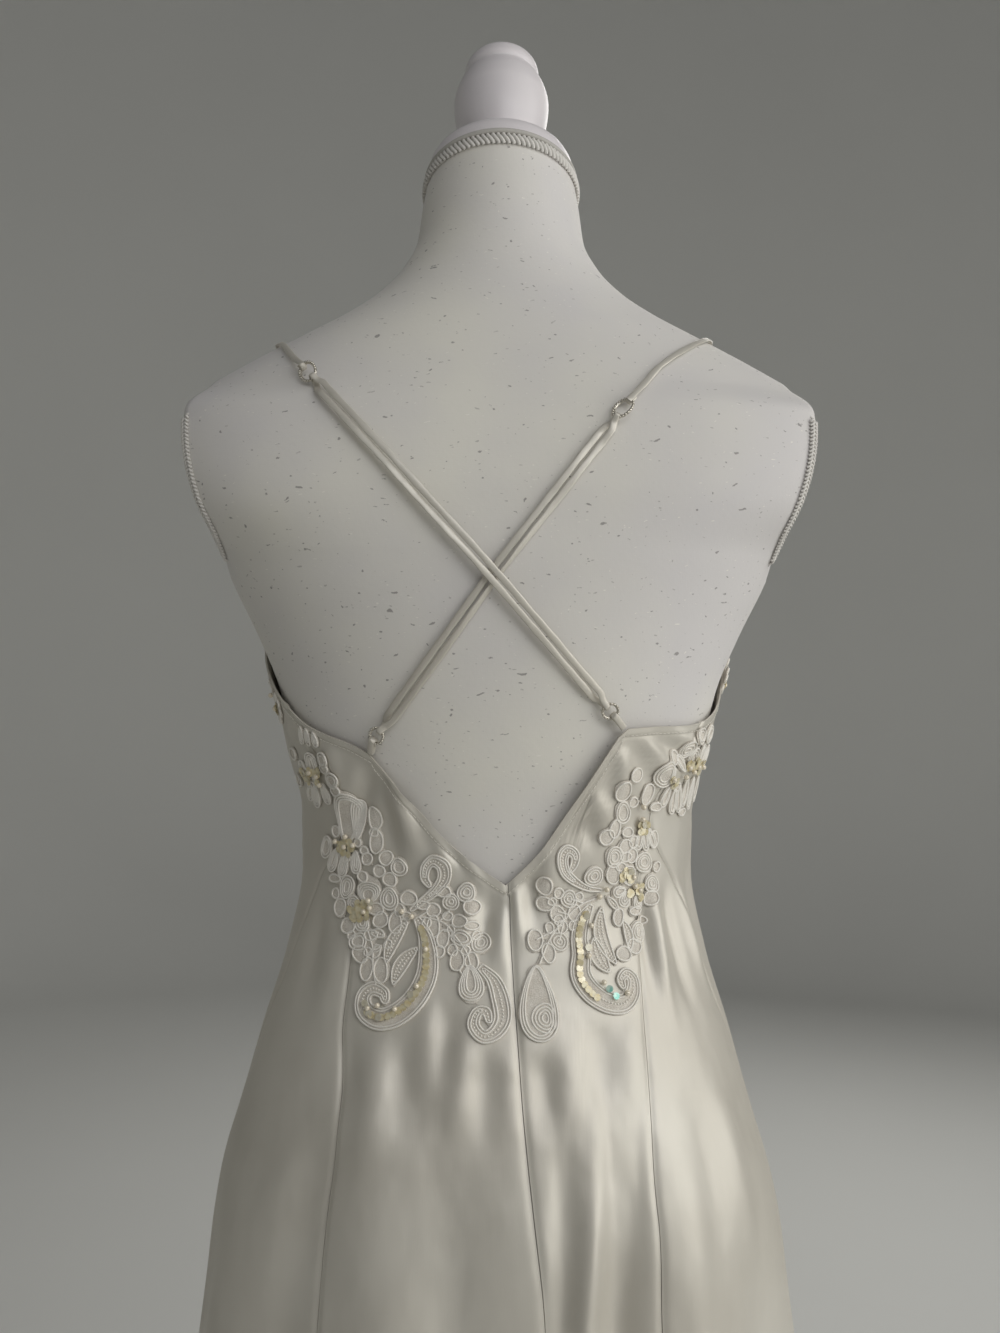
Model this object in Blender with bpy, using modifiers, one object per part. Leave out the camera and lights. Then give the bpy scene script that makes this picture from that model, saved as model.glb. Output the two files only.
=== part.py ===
"""A long satin slip dress with a deep V back, on the limbless dress form that carries it.

Metres. +Z is up, the wearer faces -Y, +X is the wearer's left. The origin is on the floor under the stand.

The dress is cut in seven panels: two back panels, two gores, two side fronts and a centre front.
Every panel is a stretch of one cloth surface, given by an angle round the body and a height.
The angle is 0 at centre back, 90 degrees at the wearer's left side, -90 at the right side and
180 at centre front.
"""

import math
from bisect import bisect_right
from collections import namedtuple

import bmesh
import bpy
from mathutils import Matrix, Vector

# ---------------------------------------------------------------- driving sizes
CLOTH = 0.0012  # thickness of the satin with its seam allowances
EASE = 0.0036  # outside of the cloth above the form where it lies close
SEAM_GAP = 0.0004  # between two panels at a seam
TOUCH_GAP = 0.0003  # between any two pieces that meet
HEM_HEIGHT = 0.130
SEAT_HEIGHT = 0.850  # below this the skirt falls free of the form
SEAT_BLEND = 0.100  # height over which the close cloth turns into the falling skirt

FormRing = namedtuple("FormRing", "height half_width back front squareness tilt")
FORM_RINGS = (
    FormRing(0.745, 0.1570, 0.1100, -0.0940, 2.20, 0.0),
    FormRing(0.800, 0.1630, 0.1190, -0.1010, 2.20, 0.0),
    FormRing(0.860, 0.1630, 0.1230, -0.1060, 2.20, 0.0),
    FormRing(0.905, 0.1525, 0.1160, -0.1080, 2.20, 0.0),
    FormRing(0.953, 0.1405, 0.0990, -0.1070, 2.20, 0.0),
    FormRing(1.000, 0.1268, 0.0810, -0.1020, 2.15, 0.0),
    FormRing(1.050, 0.1182, 0.0690, -0.0980, 2.10, 0.0),
    FormRing(1.080, 0.1185, 0.0690, -0.0980, 2.10, 0.0),
    FormRing(1.120, 0.1280, 0.0750, -0.1010, 2.15, 0.0),
    FormRing(1.158, 0.1362, 0.0830, -0.1060, 2.20, 0.0),
    FormRing(1.190, 0.1490, 0.0890, -0.1100, 2.20, 0.0),
    FormRing(1.217, 0.1620, 0.0925, -0.1110, 2.25, 0.0),
    FormRing(1.240, 0.1730, 0.0945, -0.1080, 2.30, 0.0),
    FormRing(1.270, 0.2030, 0.0945, -0.1010, 2.40, 0.0),
    FormRing(1.300, 0.2170, 0.0905, -0.0920, 2.40, 0.0),
    FormRing(1.322, 0.2190, 0.0845, -0.0840, 2.35, 0.0),
    FormRing(1.338, 0.1900, 0.0770, -0.0780, 2.20, 0.0),
    FormRing(1.350, 0.1700, 0.0710, -0.0740, 2.15, 0.0),
    FormRing(1.363, 0.1480, 0.0640, -0.0710, 2.10, 0.0),
    FormRing(1.376, 0.1240, 0.0570, -0.0690, 2.05, 1.0),
    FormRing(1.389, 0.1000, 0.0500, -0.0670, 2.00, 2.0),
    FormRing(1.402, 0.0800, 0.0430, -0.0660, 2.00, 4.0),
    FormRing(1.418, 0.0640, 0.0360, -0.0670, 2.00, 7.0),
    FormRing(1.437, 0.0535, 0.0310, -0.0700, 2.00, 12.0),
    FormRing(1.460, 0.0500, 0.0280, -0.0730, 2.00, 17.0),
    FormRing(1.481, 0.0462, 0.0240, -0.0710, 2.00, 20.0),
)
FORM_LEVELS = (
    0.745, 0.775, 0.810, 0.845, 0.880, 0.915, 0.950, 0.985, 1.020, 1.050, 1.080, 1.110, 1.140, 1.168, 1.192,
    1.212, 1.226, 1.238, 1.250, 1.264, 1.280, 1.298, 1.318, 1.328, 1.338, 1.350, 1.363, 1.376, 1.389, 1.402,
    1.418, 1.437, 1.460, 1.481,
)
FORM_WIDEST = 0.220
ARM_TOP_HEIGHT = 1.318
ARM_BOTTOM_HEIGHT = 1.232
ARM_TOP_X = 0.1830
ARM_CURVE = 3.5  # how strongly the cut end of the shoulder curves in below its top
ARM_CURVE_HEIGHT = 0.065  # below this depth it runs straight
ARM_SLOPE = 0.28  # how far it comes in there for each metre down
ARM_ROUNDING = 0.010  # how far the shoulder's end comes in over the height of its rounding
ARM_ROUNDING_HEIGHT = 0.020
ARM_FLAT_LEAST = 12.0  # degrees kept for the flat's columns above and below it
COLUMNS_BACK = 7
COLUMNS_ARM = 4
COLUMNS_FRONT = 7

Mound = namedtuple("Mound", "angle height spread_angle spread_height rise")
FORM_MOUNDS = (
    Mound(148.0, 1.222, 21.0, 0.046, 0.027),
    Mound(-148.0, 1.222, 21.0, 0.046, 0.027),
    Mound(38.0, 1.270, 24.0, 0.050, 0.004),
    Mound(-38.0, 1.270, 24.0, 0.050, 0.004),
)

SkirtRing = namedtuple("SkirtRing", "height half_width back front squareness")
SKIRT_RINGS = (
    SkirtRing(0.130, 0.2480, 0.2140, -0.2020, 2.05),
    SkirtRing(0.300, 0.2310, 0.1960, -0.1810, 2.05),
    SkirtRing(0.500, 0.2100, 0.1740, -0.1560, 2.10),
    SkirtRing(0.700, 0.1880, 0.1510, -0.1310, 2.15),
    SkirtRing(0.795, 0.1765, 0.1390, -0.1190, 2.20),
    SkirtRing(0.860, 0.1685, 0.1335, -0.1120, 2.20),
    SkirtRing(0.920, 0.1540, 0.1225, -0.1120, 2.20),
    SkirtRing(0.960, 0.1425, 0.1040, -0.1110, 2.20),
)

# A fold is a rounded ridge (+) or trough (-) that starts at a height, has one place, spread and depth at
# the seat and another at the hem, and runs smoothly between them.
Fold = namedtuple(
    "Fold", "start angle_start angle_seat angle_hem spread_seat spread_hem depth_seat depth_hem"
)
FOLDS = (
    Fold(0.985, -13.0, -10.6, -13.5, 2.3, 3.0, -0.0050, -0.012),
    Fold(0.965, -21.0, -13.9, -19.0, 2.7, 3.4, 0.0050, 0.013),
    Fold(0.995, -29.0, -20.5, -26.0, 3.9, 4.4, -0.0085, -0.018),
    Fold(0.960, -42.0, -36.0, -39.0, 7.0, 7.0, 0.0055, 0.015),
    Fold(0.920, -60.0, -58.0, -57.0, 8.0, 7.0, -0.0035, -0.016),
    Fold(0.900, -78.0, -77.0, -76.0, 9.0, 7.5, 0.0020, 0.014),
    Fold(0.860, -98.0, -97.0, -95.0, 9.0, 7.0, -0.0020, -0.016),
    Fold(0.860, -116.0, -115.0, -113.0, 9.0, 7.0, 0.0015, 0.014),
    Fold(0.840, -134.0, -133.0, -131.0, 8.0, 7.0, -0.0015, -0.016),
    Fold(0.850, -153.0, -152.0, -150.0, 8.0, 7.5, 0.0020, 0.015),
    Fold(0.860, -171.0, -170.0, -168.0, 8.0, 7.0, -0.0020, -0.014),
    Fold(0.840, 171.0, 172.0, 173.0, 8.0, 7.0, 0.0015, 0.014),
    Fold(0.850, 152.0, 153.0, 154.0, 8.0, 7.0, -0.0020, -0.016),
    Fold(0.850, 132.0, 133.0, 135.0, 8.0, 7.0, 0.0015, 0.015),
    Fold(0.850, 114.0, 115.0, 117.0, 8.0, 7.0, -0.0020, -0.016),
    Fold(0.870, 96.0, 97.0, 98.0, 9.0, 7.0, 0.0020, 0.014),
    Fold(0.900, 78.0, 78.0, 79.0, 9.0, 7.0, -0.0025, -0.015),
    Fold(0.920, 60.0, 59.0, 60.0, 8.0, 7.5, 0.0025, 0.014),
    Fold(0.960, 44.0, 39.0, 40.0, 8.0, 7.0, -0.0040, -0.017),
    Fold(0.990, 27.0, 18.5, 20.0, 7.5, 7.5, 0.0050, 0.018),
    Fold(0.990, 9.0, 5.0, 3.5, 5.0, 6.0, -0.0040, -0.015),
)
FOLD_SEAT_HEIGHT = 0.830
# Places where the top of the cloth stands off the form.
LIFTS = (
    Mound(-24.0, 1.105, 17.0, 0.045, 0.0045),
    Mound(13.0, 1.070, 10.0, 0.020, 0.0015),
    Mound(180.0, 1.190, 26.0, 0.050, 0.0180),
    Mound(137.0, 1.245, 16.0, 0.040, 0.0025),
    Mound(-137.0, 1.245, 16.0, 0.040, 0.0025),
)

# Angles of the seams at each height, in degrees from centre back; a gore's column is its width at the side
# seam.
Seams = namedtuple("Seams", "height back side_left gore_left front_left side_right gore_right front_right")
SEAMS = (
    Seams(0.130, -10.0, 88.0, 57.0, 146.0, -88.0, 55.0, -146.0),
    Seams(0.500, -9.0, 88.0, 57.5, 147.0, -88.0, 57.0, -147.0),
    Seams(0.825, -7.5, 90.0, 59.0, 148.0, -89.0, 60.5, -148.0),
    Seams(0.880, -6.0, 90.0, 58.5, 148.0, -90.0, 60.0, -148.0),
    Seams(0.930, -4.7, 84.0, 51.0, 149.0, -84.0, 51.2, -149.0),
    Seams(0.972, -3.9, 75.0, 38.0, 150.0, -74.0, 38.3, -150.0),
    Seams(1.012, -3.3, 68.5, 29.0, 150.0, -68.5, 28.7, -150.0),
    Seams(1.045, -2.8, 60.5, 19.0, 150.0, -60.5, 19.0, -150.0),
    Seams(1.067, -2.1, 50.5, 6.5, 150.0, -50.5, 6.0, -150.0),
    Seams(1.085, -2.1, 46.5, 0.0, 150.0, -46.5, 0.0, -150.0),
    Seams(1.120, -2.1, 55.0, 0.0, 149.5, -55.0, 0.0, -149.5),
    Seams(1.160, -2.1, 70.0, 0.0, 149.0, -70.0, 0.0, -149.0),
    Seams(1.220, -2.1, 80.0, 0.0, 149.0, -80.0, 0.0, -149.0),
    Seams(1.284, -2.1, 88.0, 0.0, 152.0, -88.0, 0.0, -152.0),
)
GORE_TIP_WIDTH = 2.0  # degrees between the gore's seams where the gore begins

# The top edge, in stretches that meet at corners: the V, the strap points, the underarms and the front V.
EdgePoint = namedtuple("EdgePoint", "angle height")
TOP_EDGE = (
    (
        EdgePoint(-180.0, 1.1760), EdgePoint(-172.0, 1.1920), EdgePoint(-162.0, 1.2260),
        EdgePoint(-152.0, 1.2840),
    ),
    (
        EdgePoint(-152.0, 1.2840), EdgePoint(-143.0, 1.2620), EdgePoint(-130.0, 1.2320),
        EdgePoint(-115.0, 1.2080), EdgePoint(-103.0, 1.1880), EdgePoint(-90.0, 1.1630),
        EdgePoint(-80.0, 1.1510), EdgePoint(-72.2, 1.1451), EdgePoint(-63.6, 1.1407),
        EdgePoint(-55.0, 1.1390), EdgePoint(-42.6, 1.1390), EdgePoint(-29.8, 1.1379),
    ),
    (EdgePoint(-29.8, 1.1379), EdgePoint(-25.7, 1.1226), EdgePoint(-19.4, 1.0971), EdgePoint(-10.9, 1.0686),
     EdgePoint(-2.1, 1.0488)),
    (EdgePoint(-2.1, 1.0488), EdgePoint(3.8, 1.0585), EdgePoint(11.4, 1.0714), EdgePoint(20.6, 1.0920),
     EdgePoint(27.0, 1.1079), EdgePoint(32.0, 1.1221)),
    (
        EdgePoint(32.0, 1.1221), EdgePoint(38.7, 1.1281), EdgePoint(48.2, 1.1334), EdgePoint(55.7, 1.1382),
        EdgePoint(63.0, 1.1456), EdgePoint(69.7, 1.1525), EdgePoint(84.0, 1.1690),
        EdgePoint(100.0, 1.1890), EdgePoint(115.0, 1.2080), EdgePoint(130.0, 1.2320),
        EdgePoint(143.0, 1.2620), EdgePoint(152.0, 1.2840),
    ),
    (EdgePoint(152.0, 1.2840), EdgePoint(162.0, 1.2260), EdgePoint(172.0, 1.1920), EdgePoint(180.0, 1.1760)),
)

# Rows of every panel, as a share of the way from its top edge to the hem.
PANEL_ROWS = (
    0.0, 0.013, 0.027, 0.042, 0.058, 0.075, 0.093, 0.112, 0.132, 0.154, 0.180, 0.212, 0.250, 0.295, 0.345,
    0.400, 0.460, 0.525, 0.595, 0.670, 0.750, 0.832, 0.916, 1.0,
)
# Columns of each panel, as a share of the way from its first seam to its second; one falls on each strap
# point.
BACK_LEFT_COLUMNS = (0.0, 0.10, 0.20, 0.30, 0.395, 0.49, 0.59, 0.72, 0.86, 1.0)
BACK_RIGHT_COLUMNS = (0.0, 0.14, 0.28, 0.42, 0.538, 0.63, 0.72, 0.81, 0.905, 1.0)
GORE_COLUMNS = (0.0, 0.14, 0.28, 0.42, 0.57, 0.71, 0.85, 1.0)
SIDE_COLUMNS = (0.0, 0.12, 0.25, 0.38, 0.5, 0.62, 0.75, 0.88, 1.0)
FRONT_COLUMNS = (0.0, 0.10, 0.22, 0.36, 0.5, 0.64, 0.78, 0.90, 1.0)

# ---------------------------------------------------------------- lace
LACE_PITCH = 0.0078  # cell of the net that the back lace is cut from
LACE_FRONT_PITCH = 0.0105
LACE_LIFT = 0.0009  # underside of the lace above the cloth
LACE_BASE = 0.0010
FACET_SLACK = 0.001  # share of a facet by which a place on its edge may miss it
FACET_ANGLE = 5.0  # stretches of the cloth by which its facets are found
FACET_HEIGHT = 0.02
LACE_RELIEF = 0.0014  # extra height in the middle of a petal or cord
LACE_RELIEF_REACH = 0.004  # distance inside the outline at which it is reached
CHART_HEIGHT = 1.060  # girth distances are measured at this height
CHART_STEP = 0.25  # degrees between two places where the girth is measured
CHART_LAST_ANGLE = 150.0

# Each motif is a chain of stations: distance from centre back along the waist girth, height, and half width
# there.
Station = namedtuple("Station", "girth height radius")
LACE_BACK_LEFT = (
    (Station(0.1175, 1.1300, 0.0060), Station(0.1175, 1.1145, 0.0095), Station(0.1155, 1.0980, 0.0065),
     Station(0.1030, 1.0900, 0.0050), Station(0.0900, 1.0888, 0.0075), Station(0.0935, 1.0756, 0.0095),
     Station(0.0962, 1.0649, 0.0100)),
    (Station(0.0921, 1.0722, 0.0070), Station(0.0741, 1.0607, 0.0080), Station(0.0637, 1.0510, 0.0070)),
    (Station(0.0962, 1.0649, 0.0090), Station(0.0896, 1.0455, 0.0075), Station(0.0820, 1.0309, 0.0105)),
    (Station(0.0820, 1.0309, 0.0085), Station(0.0770, 1.0154, 0.0078), Station(0.0740, 1.0000, 0.0070)),
    (Station(0.0539, 1.0346, 0.0055), Station(0.0424, 1.0259, 0.0075), Station(0.0400, 1.0101, 0.0100),
     Station(0.0455, 0.9941, 0.0115), Station(0.0545, 0.9842, 0.0108), Station(0.0620, 0.9850, 0.0075)),
    (Station(0.0820, 1.0309, 0.0065), Station(0.0647, 1.0356, 0.0060), Station(0.0504, 1.0365, 0.0060),
     Station(0.0410, 1.0464, 0.0056), Station(0.0330, 1.0559, 0.0060), Station(0.0385, 1.0625, 0.0050)),
    (Station(0.0503, 1.0348, 0.0055), Station(0.0314, 1.0318, 0.0062), Station(0.0176, 1.0414, 0.0070)),
    (Station(0.0314, 1.0318, 0.0055), Station(0.0148, 1.0198, 0.0070), Station(0.0049, 1.0241, 0.0050)),
    (Station(0.0158, 1.0198, 0.0060), Station(0.0118, 1.0072, 0.0070), Station(0.0030, 0.9954, 0.0085),
     Station(0.0022, 0.9827, 0.0090), Station(0.0038, 0.9727, 0.0070), Station(0.0095, 0.9737, 0.0045)),
)
LACE_BACK_RIGHT = (
    (Station(0.1480, 1.1340, 0.0050), Station(0.1392, 1.1240, 0.0080), Station(0.1266, 1.1115, 0.0100),
     Station(0.1300, 1.0933, 0.0075), Station(0.1085, 1.0947, 0.0065), Station(0.0891, 1.0919, 0.0070),
     Station(0.0878, 1.0844, 0.0078)),
    (Station(0.1200, 1.1110, 0.0065), Station(0.0999, 1.1067, 0.0075)),
    (Station(0.0758, 1.1098, 0.0058), Station(0.0842, 1.0952, 0.0064), Station(0.0741, 1.0771, 0.0078),
     Station(0.0698, 1.0611, 0.0070), Station(0.0830, 1.0462, 0.0105)),
    (Station(0.0880, 1.0423, 0.0075), Station(0.0966, 1.0300, 0.0066), Station(0.0896, 1.0152, 0.0075),
     Station(0.0796, 1.0033, 0.0060), Station(0.0711, 0.9935, 0.0070)),
    (Station(0.0830, 1.0462, 0.0075), Station(0.0619, 1.0443, 0.0058), Station(0.0513, 1.0506, 0.0052),
     Station(0.0415, 1.0591, 0.0060), Station(0.0405, 1.0683, 0.0050)),
    (Station(0.0618, 1.0432, 0.0055), Station(0.0422, 1.0380, 0.0060), Station(0.0308, 1.0468, 0.0066)),
    (Station(0.0422, 1.0380, 0.0055), Station(0.0274, 1.0281, 0.0070), Station(0.0229, 1.0154, 0.0058),
     Station(0.0203, 1.0050, 0.0070), Station(0.0176, 0.9926, 0.0085), Station(0.0190, 0.9804, 0.0100),
     Station(0.0235, 0.9714, 0.0070)),
    (Station(0.0618, 1.0432, 0.0055), Station(0.0578, 1.0279, 0.0075), Station(0.0565, 1.0118, 0.0095),
     Station(0.0586, 0.9957, 0.0104), Station(0.0665, 0.9888, 0.0092)),
)
# The front lace is a chain of rounded scallops along the front armhole edge, on a chart of its own.
FRONT_CHART_RADIUS = 0.145
Scallop = namedtuple("Scallop", "angle height radius")
LACE_FRONT_LEFT_START = (
    Scallop(76.0, 1.1470, 0.0105),
    Scallop(84.0, 1.1550, 0.0110),
)
LACE_FRONT = (
    Scallop(92.0, 1.1630, 0.0115),
    Scallop(99.0, 1.1720, 0.0120),
    Scallop(109.0, 1.1860, 0.0140),
    Scallop(119.0, 1.2000, 0.0120),
    Scallop(128.0, 1.2160, 0.0140),
    Scallop(136.0, 1.2340, 0.0120),
    Scallop(143.0, 1.2500, 0.0105),
    Scallop(148.5, 1.2650, 0.0080),
)

# ---------------------------------------------------------------- straps and rings
STRAP_WIDTH = 0.0038
STRAP_THICK = 0.0016
STRAP_SIDES = 6
STRAP_SPACING = 0.0130  # length of one stretch of a strap's mesh
PAIR_SPREAD = 0.0024  # half the distance between the two runs of a doubled strap
RING_WIRE = 0.0009
RING_STEPS = 14
RING_SIDES = 5
RING_RISE = 0.0014  # middle of a ring's wire above the middle of the strap's line
SLIDER_LONG = 0.0068
SLIDER_SHORT = 0.0050
RING_LONG = 0.0044
RING_SHORT = 0.0044
STRAP_LEAVES_RING = 0.007  # from where on the single strap runs straight to the ring
STRAP_TAIL = 0.0045  # end of the strap that is sewn down behind the ring
# The two runs of a doubled strap part again after they have passed round a ring: distance from the wire,
# share of the full spread, and height above or below the strap's line.
Parting = namedtuple("Parting", "distance spread level")
PARTINGS = (
    Parting(0.0035, 0.30, 0.0019),
    Parting(0.0075, 0.95, 0.0014),
    Parting(0.0125, 1.00, 0.0004),
)
# Each strap's way over the shoulder: angle, height, and the distance of its middle above the form.
Place = namedtuple("Place", "angle height above")
SHOULDER_LEFT = (
    Place(152.0, 1.2860, 0.0030),
    Place(150.9, 1.3050, 0.0019),
    Place(147.1, 1.3250, 0.0019),
    Place(136.2, 1.3430, 0.0019),
    Place(123.7, 1.3560, 0.0019),
    Place(110.0, 1.3640, 0.0019),
    Place(88.0, 1.3690, 0.0019),
    Place(72.0, 1.3670, 0.0019),
    Place(59.1, 1.3627, 0.0019),
    Place(43.0, 1.3500, 0.0030),
    Place(34.5, 1.3405, 0.0036),
)
SHOULDER_RIGHT = (
    Place(-152.0, 1.2860, 0.0030),
    Place(-150.9, 1.3050, 0.0019),
    Place(-147.1, 1.3250, 0.0019),
    Place(-136.2, 1.3430, 0.0019),
    Place(-123.7, 1.3560, 0.0019),
    Place(-110.0, 1.3650, 0.0019),
    Place(-88.0, 1.3725, 0.0019),
    Place(-72.0, 1.3710, 0.0019),
    Place(-57.0, 1.3665, 0.0019),
    Place(-35.5, 1.3518, 0.0026),
    Place(-25.0, 1.3385, 0.0028),
    Place(-17.0, 1.3235, 0.0032),
)
# Each doubled strap's straight way across the back: distance from the middle, height, and distance above
# the form.
Crossing = namedtuple("Crossing", "x height above")
BACK_FROM_LEFT = (
    Crossing(0.1082, 1.3369, 0.0034),
    Crossing(0.0033, 1.2246, 0.0062),
    Crossing(-0.0621, 1.1493, 0.0032),
)
BACK_FROM_RIGHT = (
    Crossing(-0.0683, 1.3152, 0.0030),
    Crossing(0.0003, 1.2268, 0.0026),
    Crossing(0.0672, 1.1343, 0.0032),
)

# ---------------------------------------------------------------- stand and neck
CAP_RADIUS = 0.0465
CAP_THICK = 0.0170
NECK_BRAID_WIDTH = 0.0056
NECK_BRAID_THICK = 0.0028
NECK_BRAID_DROP = 0.0034  # middle of the braid below the top of the neck
NECK_BRAID_STEPS = 30
ARM_BRAID_RADIUS = 0.0026
ARM_BRAID_GAP = 0.0010
ARM_BRAID_LEAN = 0.10  # how far the braid leans out over the flat end of the shoulder
ARM_BRAID_TOP_RISE = 0.0065  # how far it rises over the shoulder's end
ARM_BRAID_TOP_SHARES = (0.18, 0.40, 0.60, 0.82)
POLE_RADIUS = 0.0160
COLLAR_HEIGHT = 0.055
PLATE_THICK = 0.009
BASE_RADIUS = 0.170
BASE_THICK = 0.014


# ---------------------------------------------------------------- reading the tables
def smooth_step(value):
    value = min(1.0, max(0.0, value))
    return value * value * (3.0 - 2.0 * value)


def slope_at(rows, keys, column, index):
    """Slope of a smooth curve through the rows: the mean on its two sides, 0 at a turning point."""
    if index in (0, len(rows) - 1):
        other = 1 if index == 0 else index - 1
        return (getattr(rows[other], column) - getattr(rows[index], column)) / (keys[other] - keys[index])
    values = [getattr(row, column) for row in rows[index - 1:index + 2]]
    before = (values[1] - values[0]) / (keys[index] - keys[index - 1])
    after = (values[2] - values[1]) / (keys[index + 1] - keys[index])
    if before * after <= 0.0:
        return 0.0
    return 2.0 * before * after / (before + after)


def read(rows, column, at, key="height"):
    """One column of a table at any height (or angle), on a smooth curve through the rows."""
    keys = [getattr(row, key) for row in rows]
    at = min(keys[-1], max(keys[0], at))
    index = min(len(rows) - 2, max(0, bisect_right(keys, at) - 1))
    span = keys[index + 1] - keys[index]
    t = (at - keys[index]) / span
    start = getattr(rows[index], column)
    end = getattr(rows[index + 1], column)
    start_slope = slope_at(rows, keys, column, index) * span
    end_slope = slope_at(rows, keys, column, index + 1) * span
    return (
        start * (1 + 2 * t) * (1 - t) ** 2
        + start_slope * t * (1 - t) ** 2
        + end * t * t * (3 - 2 * t)
        - end_slope * t * t * (1 - t)
    )


def turn_between(angle, other):
    """Smallest turn from one angle to another, in degrees."""
    return (angle - other + 180.0) % 360.0 - 180.0


def bell(angle, height, mound):
    """How strongly a mound acts at a place: 1 at its middle, 0 far away."""
    across = turn_between(angle, mound.angle) / mound.spread_angle
    along = (height - mound.height) / mound.spread_height
    return math.exp(-across * across - along * along)


# ---------------------------------------------------------------- the form's surface
def ring_point(angle, half_width, back, front, squareness):
    """Point of a closed section, round like an ellipse with its corners filled a little."""
    power = 2.0 / squareness
    side = math.sin(math.radians(angle))
    depth = math.cos(math.radians(angle))
    middle = (back + front) / 2.0
    half_depth = (back - front) / 2.0
    x = half_width * math.copysign(abs(side) ** power, side)
    y = middle + half_depth * math.copysign(abs(depth) ** power, depth)
    return Vector((x, y))


def outward(angle, half_width, half_depth):
    """Horizontal direction straight out of a section."""
    side = math.sin(math.radians(angle)) / half_width
    depth = math.cos(math.radians(angle)) / half_depth
    return Vector((side, depth)).normalized()


def form_point(angle, height, above=0.0):
    """Point of the form's surface, or of a surface at a distance above it."""
    half_width = read(FORM_RINGS, "half_width", height)
    back = read(FORM_RINGS, "back", height)
    front = read(FORM_RINGS, "front", height)
    squareness = read(FORM_RINGS, "squareness", height)
    tilt = math.tan(math.radians(read(FORM_RINGS, "tilt", height)))
    flat = ring_point(angle, half_width, back, front, squareness)
    rise = above
    for mound in FORM_MOUNDS:
        rise += mound.rise * bell(angle, height, mound)
    flat += outward(angle, half_width, (back - front) / 2.0) * rise
    return Vector((flat.x, flat.y, height + tilt * (flat.y - (back + front) / 2.0)))


def form_normal(angle, height):
    """Direction straight out of the form, before its shoulders are cut off."""
    across = form_point(angle + 0.5, height) - form_point(angle - 0.5, height)
    along = form_point(angle, height + 0.002) - form_point(angle, height - 0.002)
    return along.cross(across).normalized()


def arm_plane(height):
    """Distance from the middle to the flat cut end of the shoulder, which is rounded above."""
    if height < ARM_BOTTOM_HEIGHT or height > ARM_TOP_HEIGHT + ARM_ROUNDING_HEIGHT:
        return FORM_WIDEST
    if height > ARM_TOP_HEIGHT:
        return ARM_TOP_X - ARM_ROUNDING * ((height - ARM_TOP_HEIGHT) / ARM_ROUNDING_HEIGHT) ** 2
    depth = ARM_TOP_HEIGHT - height
    curved = min(depth, ARM_CURVE_HEIGHT)
    return ARM_TOP_X - ARM_CURVE * curved ** 2 - ARM_SLOPE * (depth - curved)


def flat_start(height, front_side):
    """Angle at which the form's section reaches the flat of the arm."""
    low = 0.0
    high = 90.0 - ARM_FLAT_LEAST / 2.0
    for _ in range(24):
        middle = (low + high) / 2.0
        angle = 180.0 - middle if front_side else middle
        if form_point(angle, height).x < arm_plane(height):
            low = middle
        else:
            high = middle
    return low


def form_angles(height):
    """Angles of one ring's points, with columns that follow the edge of the arm's flat."""
    back_edge = flat_start(height, False)
    front_edge = 180.0 - flat_start(height, True)
    half = [back_edge * i / COLUMNS_BACK for i in range(COLUMNS_BACK)]
    half += [back_edge + (front_edge - back_edge) * i / COLUMNS_ARM for i in range(COLUMNS_ARM)]
    half += [front_edge + (180.0 - front_edge) * i / COLUMNS_FRONT for i in range(COLUMNS_FRONT)]
    return half + [180.0] + [-angle for angle in reversed(half[1:])]


def clamped_form_point(angle, height):
    point = form_point(angle, height)
    limit = arm_plane(height)
    point.x = min(limit, max(-limit, point.x))
    return point


# ---------------------------------------------------------------- the cloth's surface
def fold_rise(angle, height):
    """Height of the skirt's folds at a place, over the cone that the skirt would be without them."""
    total = 0.0
    for fold in FOLDS:
        if height >= fold.start:
            continue
        if height > FOLD_SEAT_HEIGHT:
            share = (fold.start - height) / (fold.start - FOLD_SEAT_HEIGHT)
            middle = fold.angle_start + (fold.angle_seat - fold.angle_start) * share
            spread = fold.spread_seat
            depth = fold.depth_seat * smooth_step(share)
        else:
            share = (FOLD_SEAT_HEIGHT - height) / (FOLD_SEAT_HEIGHT - HEM_HEIGHT)
            middle = fold.angle_seat + (fold.angle_hem - fold.angle_seat) * smooth_step(share)
            spread = fold.spread_seat + (fold.spread_hem - fold.spread_seat) * share
            depth = fold.depth_seat + (fold.depth_hem - fold.depth_seat) * share
        across = turn_between(angle, middle) / spread
        total += depth * math.exp(-across * across)
    return total


def resting_rise(rise, clear):
    """A fold's height where its trough can go no deeper than the form; clear is the room under the cloth."""
    rounding = min(0.002, abs(rise) * 0.5)
    return (rise - clear + math.hypot(rise + clear, rounding)) / 2.0


def cloth_point(angle, height):
    """Point of the outside of the cloth."""
    close = form_point(angle, max(height, FORM_RINGS[0].height), EASE)
    close.z = height
    share = smooth_step((height - SEAT_HEIGHT) / SEAT_BLEND)
    half_width = read(SKIRT_RINGS, "half_width", height)
    back = read(SKIRT_RINGS, "back", height)
    front = read(SKIRT_RINGS, "front", height)
    squareness = read(SKIRT_RINGS, "squareness", height)
    free = ring_point(angle, half_width, back, front, squareness)
    flat = free.lerp(close.to_2d(), share)
    out = outward(angle, half_width, (back - front) / 2.0)
    rise = resting_rise(fold_rise(angle, height), (flat - close.to_2d()).dot(out))
    for lift in LIFTS:
        rise += lift.rise * bell(angle, height, lift)
    flat += out * rise
    return Vector((flat.x, flat.y, height))


def cloth_normal(angle, height):
    """Direction straight out of the cloth."""
    across = cloth_point(angle + 0.5, height) - cloth_point(angle - 0.5, height)
    along = cloth_point(angle, height + 0.002) - cloth_point(angle, height - 0.002)
    return along.cross(across).normalized()


def over_cloth(angle, height, above):
    return cloth_point(angle, height) + cloth_normal(angle, height) * above


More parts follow.
